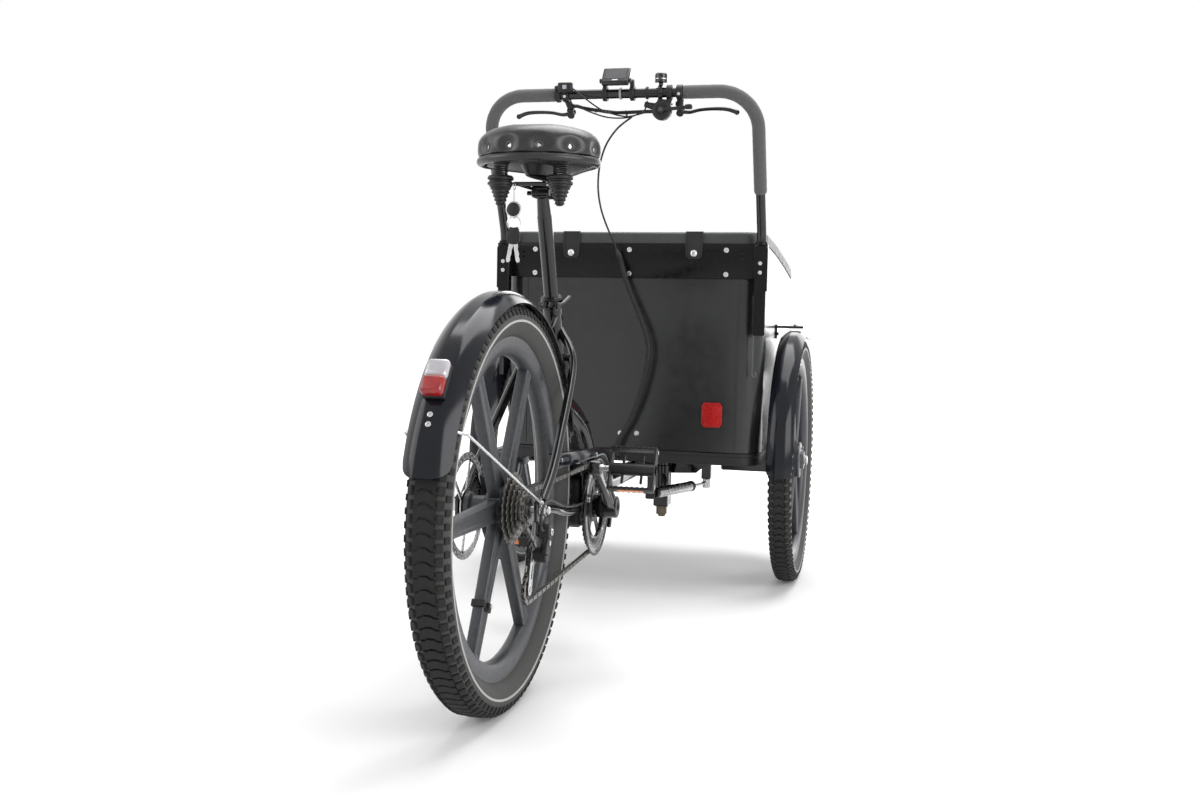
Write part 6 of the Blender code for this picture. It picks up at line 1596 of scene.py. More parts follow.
def makeSeatpost():
    foot = seatTop - seatUp * 0.17
    neck = crankSpot + seatUp * 0.590
    top = crankSpot + seatUp * 0.625
    items = [rod("post", 0.0136, foot, neck, 40),
             rod("post_neck", 0.0131, neck - seatUp * 0.001, top, 40, 0.011)]
    items.append(box("post_head", (0.0364, 0.040, 0.022), spot(0.0, 0.224, 0.881), rounding=0.005,
                     segments=3))
    items.append(box("head_cap", (0.0364, 0.036, 0.006), spot(0.0, 0.224, 0.8935), rounding=0.002))
    items.append(rod("head_bolt", 0.0042, spot(-0.0305, 0.224, 0.8800), spot(0.0305, 0.224, 0.8800), 6, None,
                     0.0006))
    items.append(spun("post_mark", [(0.0134, -0.0003), (0.01375, -0.0003), (0.01375, 0.0003),
                                    (0.0134, 0.0003)], (0.0, 0.0, 0.0), "Z", 40, closed=True))
    items[-1].rotation_euler, items[-1].location = (pi / 2.0 - seatAngle, 0.0, 0.0), seatTop + seatUp * 0.06
    settle(items[-1])
    return joined("seatpost_tube", items)


def makeKeyRing():      # bead chain, snap hook, split ring and two keys on the saddle's left rail
    at = spot(-0.0255, 0.1320, 0.8830)

    def ringAt(name, radius, wire, middle, axis):
        return spun(name, [(radius + wire * cos(turn), wire * sin(turn)) for turn in
                           [2.0 * pi * step / 8.0 for step in range(8)]], middle, axis, 32, closed=True)
    items = [ringAt("rail_loop", 0.0060, 0.0008, at, "X")]
    bead = ball("chain_bead", 0.0014, at - upward * 0.0075, sides=12, rings=8)
    items.append(rowOf(bead, 7, (0.0, 0.0, -0.0029)))
    hook = [(0.0, -0.026), (-0.0050, -0.031), (-0.0058, -0.044), (-0.0030, -0.053), (0.0030, -0.053),
            (0.0058, -0.044), (0.0050, -0.031), (0.0, -0.026)]
    items.append(hose("snap_hook", curveThrough([at + Vector((x, 0.0, z)) for x, z in hook], 5), 0.0014, 3))
    items.append(ringAt("split_ring", 0.0120, 0.0009, at - upward * 0.0640, "Y"))
    items.append(ringAt("fob_rim", 0.0128, 0.0014, at - upward * 0.0400 - onward * 0.003, "Y"))
    dark = [ball("fob", 0.0124, at - upward * 0.0400 - onward * 0.003, (1.0, 0.36, 1.0), 28, 16)]
    for lean, reach in ((-9.0, 0.0), (11.0, 0.002)):
        blade = [(-0.0038, 0.0), (-0.0038, -0.030), (-0.0020, -0.034), (0.0020, -0.034), (0.0038, -0.030),
                 (0.0026, -0.024), (0.0038, -0.018), (0.0026, -0.012), (0.0038, -0.006), (0.0038, 0.0)]
        bow = [(-0.0085, 0.004), (-0.0105, -0.008), (-0.0085, -0.020), (-0.0040, -0.025), (0.0040, -0.025),
               (0.0085, -0.020), (0.0105, -0.008), (0.0085, 0.004)]
        foot = at + Vector((0.0, reach, -0.0755))
        turn = (pi / 2.0, radians(lean), 0.0)
        down = Vector((sin(radians(-lean)), 0.0, -cos(radians(lean))))
        items.append(slab("key_blade", blade, 0.0016, foot + down * 0.0230, turn, 0.0003))
        dark.append(slab("key_bow", bow, 0.0044, foot, turn, 0.0010))
    return joined("key_ring", items), joined("key_bows", dark)


cushion = makeCushion()
fitted(cushion, saddleVinyl, "saddle", "black_vinyl", "saddle_cushion")
eyelets, cups = makeEyelets()
fitted(eyelets, darkAlloy, "saddle", "bright_steel")
fitted(cups, brightSteel, "saddle", "bright_steel")
fitted(makePan(), blackPlastic, "saddle", "black_plastic", "saddle_pan")
fitted(makeRails(), glossPaint, "saddle", "bright_steel", "saddle_rails")
for side, sideName in bothSides:
    fitted(makeSpring("saddle_spring_coil_" + sideName, side), blackPlastic, "saddle", "black_plastic",
           "saddle_spring_" + sideName)
fitted(makeSeatpost(), glossPaint, "saddle", "black_paint", "seatpost")
keyRing, keyBows = makeKeyRing()
fitted(keyRing, brightSteel, "saddle", "bright_steel")
fitted(keyBows, blackPlastic, "saddle", "black_plastic")
print("saddle made")


# Cargo box

cargo = {"half": 0.313, "rearY": trike["boxRear"], "length": 0.665, "corner": 0.055, "wall": 0.004,
         "topRear": 0.845, "topFront": 0.780, "floor": 0.317}


def boxTop(along):
    share = min(1.0, max(0.0, along / cargo["length"]))
    return cargo["topRear"] - (cargo["topRear"] - cargo["topFront"]) * share ** 1.5


def boxRing(inset, count=10, sideSteps=16):        # the box's plan, all the way round
    half = cargo["half"] - inset
    rear, front = cargo["rearY"] + inset, cargo["rearY"] + cargo["length"] - inset
    radius = max(0.004, cargo["corner"] - inset)
    right = [(half * share, rear) for share in (0.0, 0.25, 0.5, 0.72)]
    right += [(half - radius + radius * sin(turn), rear + radius - radius * cos(turn))
              for turn in [pi / 2.0 * step / count for step in range(count + 1)]]
    right += [(half, rear + radius + (front - rear - 2.0 * radius) * step / sideSteps)
              for step in range(1, sideSteps)]
    right += [(half - radius + radius * cos(turn), front - radius + radius * sin(turn))
              for turn in [pi / 2.0 * step / count for step in range(count + 1)]]
    right += [(half * share, front) for share in (0.72, 0.5, 0.25, 0.0)]
    return right + [(-x, y) for x, y in reversed(right[1:-1])]


def boxLoft(name, rings, capLow=True, capHigh=True):
    # One ring of the plan at each inset and height, skinned from ring to ring
    count = len(boxRing(rings[0][0]))
    points, faces = [], []
    for inset, height in rings:
        points += [spot(x, y, height(y - cargo["rearY"])) for x, y in boxRing(inset)]
    for level in range(len(rings) - 1):
        for index in range(count):
            after = (index + 1) % count
            low = level * count
            faces.append((low + index, low + after, low + count + after, low + count + index))
    half = count // 2
    for wanted, low, flip in ((capLow, 0, True), (capHigh, (len(rings) - 1) * count, False)):
        for index in range(half if wanted else 0):
            near, far = low + index, low + index + 1
            other = [low + (count - index) % count, low + (count - index - 1) % count]
            corners = [near, far, other[1], other[0]]
            corners = [corner for place, corner in enumerate(corners) if corner not in corners[:place]]
            if len(corners) > 2:
                faces.append(tuple(reversed(corners)) if flip else tuple(corners))
    data = bpy.data.meshes.new(name)
    data.from_pydata(points, [], faces)
    item = bpy.data.objects.new(name, data)
    bpy.context.scene.collection.objects.link(item)
    pick(item)
    enterEdit()
    selectAll()
    bpy.ops.mesh.remove_doubles(threshold=weld / 2.0)
    return facesOut(item)


def level(height):
    return lambda along: height


def makeBoxShell():
    wall = cargo["wall"]
    rings = [(wall, level(0.3465)), (0.0012, level(0.3465)), (0.0, level(0.3475)), (0.0, level(0.352)),
             (0.0, level(0.60)), (0.0, lambda along: boxTop(along) - 0.004),
             (0.0008, lambda along: boxTop(along) - 0.0008), (0.0022, boxTop),
             (wall, lambda along: boxTop(along) - 0.001)]
    shell = boxLoft("cargo_box_panels", rings + rings[:1], False, False)
    items = [smooth(shell, 30.0)]
    for side in (-1.0, 1.0):        # the joints that close the wrapped panel
        x = side * (cargo["half"] - 0.058)
        items.append(box("panel_joint", (0.0036, 0.0018, 0.395), spot(x, 0.9542, 0.552), rounding=0.0006))
    return joined("cargo_box_panels", items)


def makeFloor():
    low, high = cargo["floor"], 0.3457
    rings = [(0.014, level(0.3297)), (0.014, level(low)), (0.0020, level(low)), (0.0006, level(low + 0.0015)),
             (0.0006, level(high - 0.0085)), (-0.0012, level(high - 0.0070)), (-0.0012, level(high - 0.0012)),
             (0.0006, level(high)), (0.020, level(high))]
    tray = smooth(boxLoft("cargo_floor_tray", rings), 30.0)
    gland = spot(-0.026, 0.960, 0.3315)
    boss = spun("floor_gland", [(0.0, -0.0086), (0.0090, -0.0086), (0.0104, -0.0070), (0.0104, 0.0),
                                (0.0, 0.0)], gland, "Y", 32)
    return joined("cargo_floor_tray", [tray, boss])


cover = {"hem": 0.0105, "thick": 0.0012, "tabTop": 0.0210, "tabFoot": 0.0170, "tabTall": 0.064,
         "tabs": (-0.146, 0.150)}


def makeCover():
    # One thin sheet: the hem hangs over the box's edge, turns over the rim and lies flat inside
    def over(rise):
        return lambda along: boxTop(along) + rise
    rings = [(-0.0017, over(-cover["hem"])), (-0.0018, over(-0.0060)), (-0.0018, over(0.0020)),
             (-0.0017, over(0.0085)), (-0.0008, over(0.0124)), (0.0016, over(0.0150)), (0.0056, over(0.0166)),
             (0.0120, over(0.0172)), (0.0200, over(0.0172)), (0.0400, over(0.0162)), (0.0900, over(0.0154)),
             (0.1600, over(0.0151)), (0.2300, over(0.0151))]
    cloth = boxLoft("cargo_cover_cloth", rings, capLow=False)
    for vert in cloth.data.vertices:        # shallow slack between the edges
        if vert.co.z > boxTop(vert.co.y - axleY - cargo["rearY"]) + 0.0125:
            away = (vert.co.x / 0.30) ** 2
            vert.co.z -= 0.0018 * (1.0 - away) * sin(9.0 * (vert.co.y - axleY)) ** 2
    return smooth(walled(cloth, cover["thick"]), 40.0)


def makeTab(name, x):       # trapezoid of cover cloth that snaps down over the band
    top, foot, tall = cover["tabTop"], cover["tabFoot"], cover["tabTall"]
    outline = [(-top, 0.0), (-0.93 * top, -0.10 * tall), (-foot - 0.0015, -0.80 * tall),
               (-foot, -0.93 * tall), (-0.78 * foot, -tall), (0.78 * foot, -tall), (foot, -0.93 * tall),
               (foot + 0.0015, -0.80 * tall), (0.93 * top, -0.10 * tall), (top, 0.0)]
    tab = slab(name, outline, 0.0013, spot(x, 0.9478, 0.8620), (pi / 2.0, 0.0, 0.0), 0.0004)
    selectFaces(tab, lambda at, normal: normal.y < -0.9)
    bpy.ops.mesh.inset(thickness=0.0030, depth=0.0)
    bpy.ops.mesh.inset(thickness=0.0008, depth=-0.0003)
    leaveEdit()
    for vert in tab.data.vertices:      # its root lies on the cover's turned edge
        if vert.co.z > 0.850:
            vert.co.y += 0.0046 * min(1.0, (vert.co.z - 0.850) / 0.008)
    snap = spun(name + "_snap", [(0.0, -0.0034), (0.0042, -0.0033), (0.0056, -0.0020), (0.0078, -0.0016),
                                 (0.0084, 0.0), (0.0, 0.0)], spot(x, 0.9471, 0.8110), "Y", 32)
    return smooth(tab), snap


carrier = {"thick": 0.005, "socketX": 0.308, "socketHalf": 0.0135, "bite": 0.001}     # band and bar sockets
socketBack = trike["boxRear"] - trike["gap"] - carrier["thick"] - carrier["socketHalf"] + carrier["bite"]


def makeBand():
    x, socketY = carrier["socketX"], socketBack
    bandY = trike["boxRear"] - trike["gap"] - carrier["thick"] / 2.0
    band = box("band", (0.616, 0.005, 0.080), spot(0.0, bandY, 0.793), rounding=0.0014)
    slots = [box("band_slot", (0.0110, 0.02, 0.0032), spot(side * 0.262, bandY, z), rounding=0.0012)
             for side in (-1.0, 1.0) for z in (0.812, 0.801)]
    items = [smooth(cut(band, slots))]
    for side in (-1.0, 1.0):
        at = spot(side * x, socketY, 0.0)
        items.append(box("bracket", (0.031, 0.0265, 0.079), at + Vector((0.0, 0.00225, 0.793)),
                         rounding=0.0022))
        items.append(box("socket", (0.027, 0.027, 0.206), at + Vector((0.0, 0.0, 0.726)), rounding=0.0026,
                         segments=3))
        items.append(box("flange", (0.0030, 0.0330, 0.098), at + Vector((side * 0.0150, 0.004, 0.774)),
                         rounding=0.0010))
        items.append(rod("socket_lip", 0.0142, at + Vector((0.0, 0.0, 0.829)), at + Vector((0.0, 0.0, 0.838)),
                         32, None, 0.0018))
    bolts = []
    for shift in (-0.235, -0.004, 0.226):
        for z in (0.8185, 0.7625):
            bolts.append(socketBolt("band_bolt", 0.0060, spot(shift, bandY - 0.0024, z), (0.0, -1.0, 0.0),
                                    0.0034))
    for side in (-1.0, 1.0):
        for z in (0.7880, 0.7670):
            bolts.append(socketBolt("socket_bolt", 0.0046, spot(side * x, socketY - 0.0132, z),
                                    (0.0, -1.0, 0.0), 0.0036))
    return joined("bar_carrier_band", items), joined("band_bolts", bolts)


def makeBattery():
    size = Vector((0.360, 0.090, 0.110))
    at = spot(0.0, cargo["rearY"] + cargo["wall"] + trike["gap"] + size.y / 2.0, 0.346 + size.z / 2.0)
    case = box("battery_case", size, at, rounding=0.010, segments=3)
    items = [smooth(case), box("battery_lid", (0.330, 0.070, 0.004), at + Vector((0.0, 0.0, 0.0562)),
                               rounding=0.0018)]
    items.append(box("battery_handle", (0.110, 0.016, 0.012), at + Vector((0.0, 0.0, 0.0620)),
                     rounding=0.004))
    return joined("battery_pack", items)


shell = makeBoxShell()
fitted(shell, panelMatt, "front_carrier", "panel", "box_shell")
fitted(makeFloor(), blackPlastic, "front_carrier", "black_plastic", "box_floor")
coverCloth = makeCover()
fitted(coverCloth, coverVinyl, "front_carrier", "black_vinyl", "box_cover")
for index, x in enumerate(cover["tabs"]):
    tab, snap = makeTab("cover_tab_" + str(index + 1), x)
    fitted(tab, webbing, "front_carrier", "black_vinyl")
    fitted(snap, brightSteel, "front_carrier", "bright_steel")
band, bandBolts = makeBand()
fitted(band, bandBlack, "front_carrier", "black_paint", "bar_carrier")
fitted(bandBolts, brightSteel, "front_carrier", "grey_alloy")
fitted(makeBattery(), blackPlastic, "front_carrier", "black_plastic", "battery")
mark = [(-0.0245, 0.020), (-0.0185, 0.029), (0.0185, 0.029), (0.0245, 0.020), (0.0245, -0.020),
        (0.0185, -0.029), (-0.0185, -0.029), (-0.0245, -0.020)]
lens = slab("box_reflector", mark, 0.0046, spot(0.2005, 0.9526, 0.4350), (pi / 2.0, 0.0, 0.0), 0.0010)
selectFaces(lens, lambda at, normal: normal.y < -0.9)
bpy.ops.mesh.inset(thickness=0.0040, depth=0.0)
bpy.ops.mesh.inset(thickness=0.0012, depth=0.0010)
leaveEdit()
fitted(lens, redReflector, "front_carrier", "red_lens")
screws = [socketBolt("panel_screw", 0.0060, spot(x, 0.9549, z), (0.0, -1.0, 0.0), 0.0030)
          for x, z in ((-0.0185, 0.384), (0.0215, 0.385), (-0.200, 0.384))]
fitted(joined("panel_screws", screws), brightSteel, "front_carrier", "bright_steel")
hookAt = spot(0.2935, 0.9420, 0.0)
hookLine = [hookAt + Vector((0.0, y, z)) for y,
            z in ((0.0, 0.626), (-0.001, 0.600), (0.0, 0.575), (0.001, 0.548))]
hook = hose("strap_hook_line", curveThrough(hookLine, 5), 0.0016, 3)
curl = hose("strap_hook", curveThrough([hookAt + Vector((x, 0.0, z)) for x, z in
                                        ((0.0, 0.550), (-0.0010, 0.538), (0.0020, 0.528), (0.0070, 0.527),
                                         (0.0085, 0.534), (0.0060, 0.538))], 5), 0.0017, 4)
fitted(joined("strap_hook_set", [hook, curl]), darkAlloy, "front_carrier", "grey_alloy")
print("cargo box made")


# Push bar and its controls

barEnd = spot(0.0, 0.795, 1.155)
barRadius = 0.0111
lean = [(carrier["socketX"], socketBack, 0.660), (carrier["socketX"], socketBack, 0.853),
        (carrier["socketX"], 0.795, 1.155)]
barLine = roundedCorners([spot(*corner) for corner in lean + [(-x, y, z) for x, y, z in reversed(lean)]],
                         0.085, 14)


def collar(x, width, radius=0.0165, name="bar_clamp"):      # a split clamp round the bar
    half = width / 2.0
    profile = [(barRadius + 0.0003, -half), (radius - 0.0012, -half), (radius, 0.0012 - half),
               (radius, half - 0.0012), (radius - 0.0012, half), (barRadius + 0.0003, half)]
    return spun(name, profile, barEnd + sideways * x, "X", 40, closed=True)


def makeGrip(side):
    kept = [here for here in barLine if here.x > 0.0 and here.z > 0.948]
    below = barLine[barLine.index(kept[0]) - 1]
    first = below.lerp(kept[0], (0.945 - below.z) / (kept[0].z - below.z))
    line = evenly([first] + kept + [barEnd + sideways * 0.1455], 0.0060)
    line = [Vector((side * here.x, here.y, here.z)) for here in line]
    thickness = [1.0 + 0.008 * sin(1.7 * index) for index in range(len(line))]
    thickness[0] = thickness[-1] = 0.93
    grip = hose("foam_grip", line, 0.0147, 7, False, thickness)
    start, run = line[0], (line[1] - line[0]).normalized()
    end = rod("grip_end", 0.0128, start - run * 0.0012, start + run * 0.004, 32, None, 0.0006)
    return joined("foam_grip_" + ("right" if side > 0.0 else "left"), [grip, end])


leverAhead = Vector((0.0, 0.0300, -0.0370))
leverHinge = Vector((0.0, 0.777, 0.629)).normalized()


def makeLeverBody(side, sideName, clampX):
    hub = barEnd + sideways * side * (clampX - 0.004) + leverAhead
    out = leverAhead.normalized()
    tilt = atan2(leverHinge.z, leverHinge.y)
    items = [collar(side * clampX, 0.014)]
    for sense in (-1.0, 1.0):
        items.append(rod("fork", 0.0085, hub + leverHinge * sense * 0.0052, hub + leverHinge * sense * 0.0095,
                         28, None, 0.0012))
    items.append(box("fork_back", (0.0150, 0.0070, 0.0190), hub - out * 0.0115, (tilt - pi / 2.0, 0.0, 0.0),
                     0.0016))
    items.append(rod("neck", 0.0080, barEnd + sideways * side * clampX + leverAhead * 0.25,
                     hub - leverAhead * 0.28, 28, 0.0072, 0.0010))
    gland = barEnd + leverAhead * 0.60 + sideways * side * clampX
    inward = -sideways * side
    items.append(rod("adjuster", 0.0051, gland, gland + inward * 0.0125, 20, None, 0.0006))
    items.append(rod("adjuster_ring", 0.0064, gland + inward * 0.0075, gland + inward * 0.0105, 12, None,
                     0.0006))
    screws = [socketBolt("clamp_screw", 0.0034, barEnd + Vector((side * clampX, -0.0160, -0.0060)),
                         (0.0, -1.0, -0.2), 0.0030),
              socketBolt("pivot_screw", 0.0048, hub + leverHinge * 0.0092, leverHinge, 0.0022)]
    return joined("lever_mount_" + sideName, items), joined("lever_screws_" + sideName, screws)


def makeLever(name, side, clampX):
    hub = barEnd + sideways * side * (clampX - 0.004) + leverAhead
    out = leverAhead.normalized()
    flow = [(0.000, 0.0), (0.012, 0.0018), (0.024, 0.002), (0.045, -0.003), (0.075, -0.005), (0.104, -0.003),
            (0.126, 0.005)]
    knots = [hub + sideways * side * reach + out * shift for reach, shift in flow]
    line = curveThrough(knots, 5)
    thickness = [1.10 - 0.25 * sin(pi * index / (len(line) - 1)) for index in range(len(line))]
    blade = hose("lever_blade", line, 0.0046, 5, False, thickness)
    items = [blade, ball("lever_tip", 0.0060, line[-1], sides=24, rings=14)]
    items.append(rod("lever_hub", 0.0065, hub - leverHinge * 0.0046, hub + leverHinge * 0.0046, 24, None,
                     0.0008))
    return joined(name, items)


def makeRemote():
    body = barEnd + Vector((-0.117, -0.0260, 0.0115))
    case = box("remote_case", (0.034, 0.016, 0.022), body, rounding=0.0044, segments=3)
    cut(case, [box("button_well", (0.0108, 0.0062, 0.0108), body - onward * 0.0080)])
    items = [smooth(case), collar(-0.139, 0.011)]
    items.append(box("remote_arm", (0.014, 0.020, 0.010), barEnd + Vector((-0.1365, -0.015, 0.012)),
                     rounding=0.003))
    button = box("remote_key", (0.0098, 0.0040, 0.0098), body - onward * 0.0066, rounding=0.0014)
    return joined("remote_switch_case", items), smooth(button)


def makeDisplay():
    tilt = radians(-36.0)
    at = barEnd + Vector((-0.003, -0.018, 0.0335))
    face = Matrix.Rotation(tilt, 3, "X") @ Vector((0.0, -1.0, 0.0))
    rise = Matrix.Rotation(tilt, 3, "X") @ Vector((0.0, 0.0, 1.0))
    case = smooth(box("display_case", (0.062, 0.0125, 0.046), at, (tilt, 0.0, 0.0), 0.0040, 4))
    bezel = box("display_bezel", (0.0560, 0.0020, 0.0400), at + face * 0.0060, (tilt, 0.0, 0.0), 0.0012)
    screen = box("display_glass", (0.0480, 0.0016, 0.0300), at + face * 0.0068 + rise * 0.0020,
                 (tilt, 0.0, 0.0), 0.0008)
    key = box("display_key", (0.0130, 0.0018, 0.0040), at + face * 0.0070 - rise * 0.0165, (tilt, 0.0, 0.0),
              0.0008)
    legs = [bezel]
    for side in (-1.0, 1.0):
        x = side * 0.0310
        legs.append(collar(x, 0.010))
        legs.append(box("display_leg", (0.0095, 0.012, 0.024), barEnd + Vector((x, -0.006, 0.0170)),
                        (radians(22.0), 0.0, 0.0), 0.0024))
        legs.append(rod("display_ear", 0.0052, at + sideways * side * 0.022 - rise * 0.012,
                        at + sideways * side * 0.0355 - rise * 0.012, 24, None, 0.0008))
    tag = spun("bar_clip", [(barRadius + 0.0002, -0.0020), (0.0130, -0.0020), (0.0134, 0.0), (0.0130, 0.0020),
                            (barRadius + 0.0002, 0.0020)], barEnd + sideways * 0.004, "X", 36, closed=True)
    return case, screen, joined("display_legs", legs), joined("display_key_piece", [key]), tag


def makeBell():
    post = barEnd + sideways * 0.0945
    dome = [(0.0, 0.0430), (0.0080, 0.0428), (0.0116, 0.0418), (0.0134, 0.0400), (0.0138, 0.0370),
            (0.0138, 0.0300), (0.0128, 0.0292), (0.0, 0.0290)]
    base = [(0.0, 0.0284), (0.0128, 0.0284), (0.0138, 0.0276), (0.0138, 0.0215), (0.0118, 0.0205),
            (0.0052, 0.0205), (0.0050, 0.0130), (0.0, 0.0130)]
    ring = spun("bell_ring", [(0.0126, 0.0283), (0.0143, 0.0283), (0.0143, 0.0295), (0.0126, 0.0295)], post,
                "Z", 48, closed=True)
    dark = [spun("bell_dome", dome, post, "Z", 48), collar(0.0945, 0.010),
            spun("bell_base", base, post, "Z", 48)]
    dark.append(box("bell_striker", (0.0044, 0.0050, 0.0130), post + Vector((0.0, -0.0146, 0.0290)),
                    rounding=0.0014))
    return ring, joined("bell_base_piece", dark)


def makeShifter():
    body = barEnd + Vector((0.0985, 0.0, -0.0395))
    drum = [(0.0, -0.0130), (0.0165, -0.0130), (0.0195, -0.0120), (0.0215, -0.0095), (0.0220, 0.0020),
            (0.0200, 0.0105), (0.0160, 0.0130), (0.0, 0.0130)]
    items = [collar(0.1145, 0.012), spun("shifter_drum", drum, body, "Y", 56)]
    items.append(rod("shifter_arm", 0.0062, barEnd + sideways * 0.1145 - upward * 0.013,
                     body + sideways * 0.006, 20, 0.0075, 0.0008))
    rim = [(0.0105, -0.0142), (0.0135, -0.0142), (0.0140, -0.0128), (0.0100, -0.0128)]
    items.append(spun("shifter_rim", rim, body, "Y", 48, closed=True))
    gland = body + Vector((-0.016, 0.001, 0.0090))
    items.append(rod("shifter_gland", 0.0088, gland + Vector((0.008, 0.0, -0.002)),
                     gland + Vector((-0.024, 0.0, 0.0060)), 28, 0.0060, 0.0010))
    items.append(box("shifter_lid", (0.030, 0.020, 0.012), body + Vector((0.004, -0.001, 0.0180)),
                     (0.0, radians(12.0), 0.0), 0.0040))
    pivot = body - onward * 0.0162
    lever = [rod("shift_boss", 0.0085, pivot - onward * 0.0035, pivot + onward * 0.0028, 28, None, 0.0010)]
    lever.append(box("shift_arm", (0.056, 0.0050, 0.0078), pivot + Vector((0.031, 0.0, 0.0020)),
                     (0.0, radians(-4.0), 0.0), 0.0020))
    lever.append(box("shift_pad", (0.0165, 0.0120, 0.0100), pivot + Vector((0.062, -0.003, 0.0040)),
                     rounding=0.0030, segments=3))
    groove = box("pad_rib", (0.0012, 0.0105, 0.0012), pivot + Vector((0.0570, -0.003, 0.0092)),
                 rounding=0.0003)
    lever.append(rowOf(groove, 5, (0.0026, 0.0, 0.0)))
    screw = socketBolt("shifter_screw", 0.0046, pivot - onward * 0.0034, (0.0, -1.0, 0.0), 0.0016)
    return joined("shifter_body", items), joined("shift_lever_piece", lever), screw


def makeThinLoops():        # the brake and motor wires that hang under the bar
    loops = [[(-0.1000, 0.8130, 1.1328), (-0.070, 0.800, 1.1180), (-0.025, 0.792, 1.1030),
              (0.020, 0.789, 1.1010), (0.052, 0.792, 1.1120),
              (0.060, 0.795, 1.1200), (0.064, 0.7955, 1.1380)],
             [(0.118, 0.8130, 1.1328), (0.098, 0.812, 1.1270), (0.072, 0.806, 1.1180), (0.040, 0.798, 1.1080),
              (0.020, 0.792, 1.1030)],
             [(-0.100, 0.771, 1.1640), (-0.080, 0.776, 1.1480), (-0.040, 0.786, 1.1200),
              (-0.006, 0.789, 1.1080), (0.018, 0.789, 1.1030)]]
    items = [hose("wire", curveThrough([spot(*knot) for knot in knots], 6), 0.0017, 3) for knots in loops]
    items.append(collar(0.064, 0.0060, 0.0140, "wire_clip"))
    items.append(rod("wire_tie", 0.0056, spot(0.0185, 0.7905, 1.1050), spot(0.0215, 0.7905, 1.1052), 16, None,
                     0.0006))
    return joined("bar_wires", items)


bar = joined("push_bar_tube", [hose("push_bar_tube", barLine, barRadius, 7)])
fitted(bar, glossPaint, "front_carrier", "black_paint", "push_bar")
for side, sideName, clampX in ((-1.0, "left", 0.121), (1.0, "right", 0.1375)):
    fitted(makeGrip(side), foamGrip, "front_carrier", "grip_foam", "grip_" + sideName)
    body, screws = makeLeverBody(side, sideName, clampX)
    fitted(body, blackPlastic, "front_carrier", "black_plastic", "lever_body_" + sideName)
    fitted(screws, brightSteel, "front_carrier", "bright_steel")
    lever = makeLever("lever_blade_" + sideName, side, clampX)
    fitted(lever, glossPaint, "brake_lever_" + sideName, "black_paint", "brake_lever_" + sideName)
remoteCase, remoteKey = makeRemote()
fitted(remoteCase, blackPlastic, "front_carrier", "black_plastic", "remote_switch")
fitted(remoteKey, caseGrey, "remote_button", "display_grey", "remote_button")
displayCase, displayWindow, displayLegs, displayKey, tag = makeDisplay()
fitted(displayCase, blackCase, "front_carrier", "display_grey", "display")
fitted(displayWindow, screenGrey, "front_carrier", "display_grey")
fitted(displayLegs, blackPlastic, "front_carrier", "black_plastic")
fitted(displayKey, caseGrey, "front_carrier", "black_plastic")
fitted(tag, whiteStripe, "front_carrier", "display_grey")
bellDome, bellBase = makeBell()
fitted(bellDome, brightSteel, "front_carrier", "bright_steel")
fitted(bellBase, blackCase, "front_carrier", "bright_steel", "bell")
shifterBody, shiftLever, shifterScrew = makeShifter()
fitted(shifterBody, blackPlastic, "front_carrier", "black_plastic", "shifter")
fitted(shiftLever, blackPlastic, "shift_lever", "black_plastic", "shift_lever")
fitted(shifterScrew, darkAlloy, "shift_lever", "bright_steel")
fitted(makeThinLoops(), blackPlastic, "front_carrier", "black_plastic")
print("push bar and controls made")


# Subframe, kingpin and steering damper

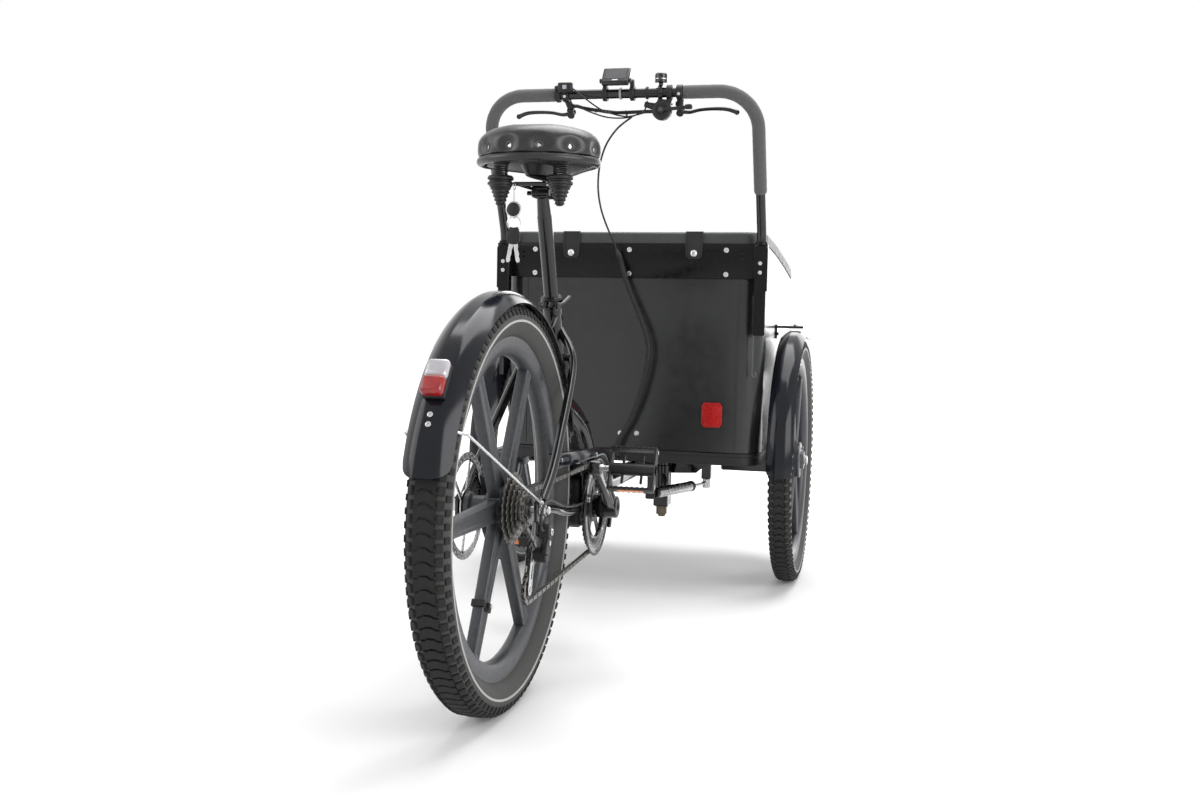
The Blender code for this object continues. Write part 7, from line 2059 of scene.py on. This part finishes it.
def makeSubframe():
    barLow, barHigh = 0.3161, 0.3294
    barZ, tall = (barLow + barHigh) / 2.0, barHigh - barLow
    items = []
    for side in (-1.0, 1.0):
        items.append(box("rail_bar", (0.030, 0.605, tall), spot(side * 0.200, 1.2875, barZ), rounding=0.0020))
    for y, width in ((1.005, 0.030), (1.25, 0.060), (1.43, 0.040), (1.570, 0.030)):
        items.append(box("cross_bar", (0.410, width, tall - 0.001), spot(0.0, y, barZ), rounding=0.0018))
    items.append(box("head_plate", (0.100, 0.240, tall - 0.0005), spot(0.0, 1.355, barZ), rounding=0.0018))
    footTop, footLow = 0.1794, 0.1504
    items.append(box("foot_plate", (0.0394, 0.0562, 0.029), spot(0.0, 1.3961, (footTop + footLow) / 2.0),
                     rounding=0.003))
    items.append(box("web", (0.0374, 0.0100, 0.1740), spot(0.0, 1.4187, 0.2404), rounding=0.002))
    gusset = [(0.0, 0.328), (0.113, 0.328), (0.113, 0.262), (0.088, 0.240), (0.0, 0.236)]
    items.append(slab("wing", gusset, 0.0080, spot(0.0, 1.4187, 0.0), (pi / 2.0, 0.0, 0.0), 0.0014))
    items.append(box("damper_bracket", (0.026, 0.026, 0.0953), spot(0.115, 1.43, 0.27245), rounding=0.0026))
    for x, y in ((-0.040, 1.25), (0.040, 1.25), (-0.040, 1.46), (0.040, 1.46)):
        items.append(bolt("plate_bolt", 0.0062, spot(x, y, barLow + 0.0004), (0.0, 0.0, -1.0), 0.0052))
    for side in (-1.0, 1.0):
        hub = frontHub(side)
        items.append(box("axle_end", (0.1415, 0.050, 0.0419), spot(side * 0.25475, 1.25, 0.29545),
                         rounding=0.004))
        items.append(box("axle_seat", (0.1075, 0.048, 0.0513), spot(side * 0.24225, 1.25, 0.30215),
                         rounding=0.003))
        plate = [(-0.040, -0.030), (-0.030, -0.0368), (0.030, -0.0368), (0.040, -0.030), (0.040, 0.024),
                 (0.024, 0.0368), (-0.024, 0.0368), (-0.040, 0.024)]
        items.append(slab("end_plate", plate, 0.008, spot(side * 0.3215, 1.25, 0.3117), sideOn, 0.0014))
        across = sideways * side
        items.append(rod("spacer", 0.014, hub - across * 0.0400, hub - across * 0.0268, 28, None, 0.0012))
        items.append(rod("stub_axle", 0.008, hub - across * 0.0400, hub + across * 0.0375, 24, None, 0.0010))
        for y, z in ((-0.028, 0.290), (0.028, 0.290), (-0.028, 0.330), (0.028, 0.330)):
            items.append(bolt("end_bolt", 0.0052, spot(side * 0.3250, 1.25 + y, z), (side, 0.0, 0.0), 0.0044))
    return joined("subframe_beams", items)


def makeStubNut(name, side):
    hub = frontHub(side)
    items = [rod("washer", 0.0135, hub + sideways * side * 0.0304, hub + sideways * side * 0.0320, 28, None,
                 0.0004), rod("stub_nut", 0.0118, hub + sideways * side * 0.0320,
                              hub + sideways * side * 0.0385, 6, None, 0.0010)]
    return joined(name, items)


def makeKingpin():
    at = spot(0.0, trike["kingpinY"], 0.0)
    pin = rod("pin", 0.010, at + upward * 0.121, at + upward * 0.3228, 32, None, 0.0014)
    head = rod("pin_head", 0.0170, at + upward * 0.3209, at + upward * 0.3279, 6, None, 0.0014)
    washer = rod("pin_washer", 0.0185, at + upward * 0.1478, at + upward * 0.1501, 36, None, 0.0005)
    nut = rod("pin_nut", 0.0160, at + upward * 0.1270, at + upward * 0.1478, 6, None, 0.0016)
    return joined("kingpin_bolt", [pin, head, washer, nut])


def makeDamper():
    fixed, moving = spot(0.0135, 1.165, 0.212), spot(0.115, 1.43, 0.212)
    run = (moving - fixed).normalized()
    tube = [rod("damper_tube", 0.0138, fixed + run * 0.018, fixed + run * 0.205, 40, None, 0.0008)]
    black = [rod("damper_eye", 0.0122, fixed - upward * 0.0123, fixed + upward * 0.0123, 36, None, 0.0014),
             rod("tube_neck", 0.0090, fixed + run * 0.006, fixed + run * 0.020, 28),
             rod("tube_cap", 0.0145, fixed + run * 0.016, fixed + run * 0.030, 40, None, 0.0012),
             rod("tube_cap", 0.0145, fixed + run * 0.192, fixed + run * 0.2050, 40, None, 0.0014)]
    shaft = [rod("rod_shaft", 0.0045, moving - run * 0.150, moving - run * 0.004, 28),
             rod("rod_eye", 0.011, moving - upward * 0.0123, moving + upward * 0.0123, 36, None, 0.0014),
             rod("rod_collar", 0.0066, moving - run * 0.020, moving - run * 0.009, 24, None, 0.0008)]
    return joined("damper_tube_piece", tube), joined("damper_caps", black), joined("damper_rod_piece", shaft)


fitted(makeSubframe(), glossPaint, "front_carrier", "black_paint", "subframe")
for side, sideName in bothSides:
    nut = makeStubNut("stub_nut_" + sideName, side)
    fitted(nut, brightSteel, "front_carrier", "bright_steel")
fitted(makeKingpin(), tanBolt, "front_carrier", "bright_steel", "kingpin")
damperTube, damperCaps, damperRod = makeDamper()
fitted(damperTube, brightSteel, "damper_cylinder", "bright_steel", "damper_cylinder")
fitted(damperCaps, blackPlastic, "damper_cylinder", "black_plastic")
fitted(damperRod, brightSteel, "damper_rod", "bright_steel", "damper_rod")
print("subframe and damper made")
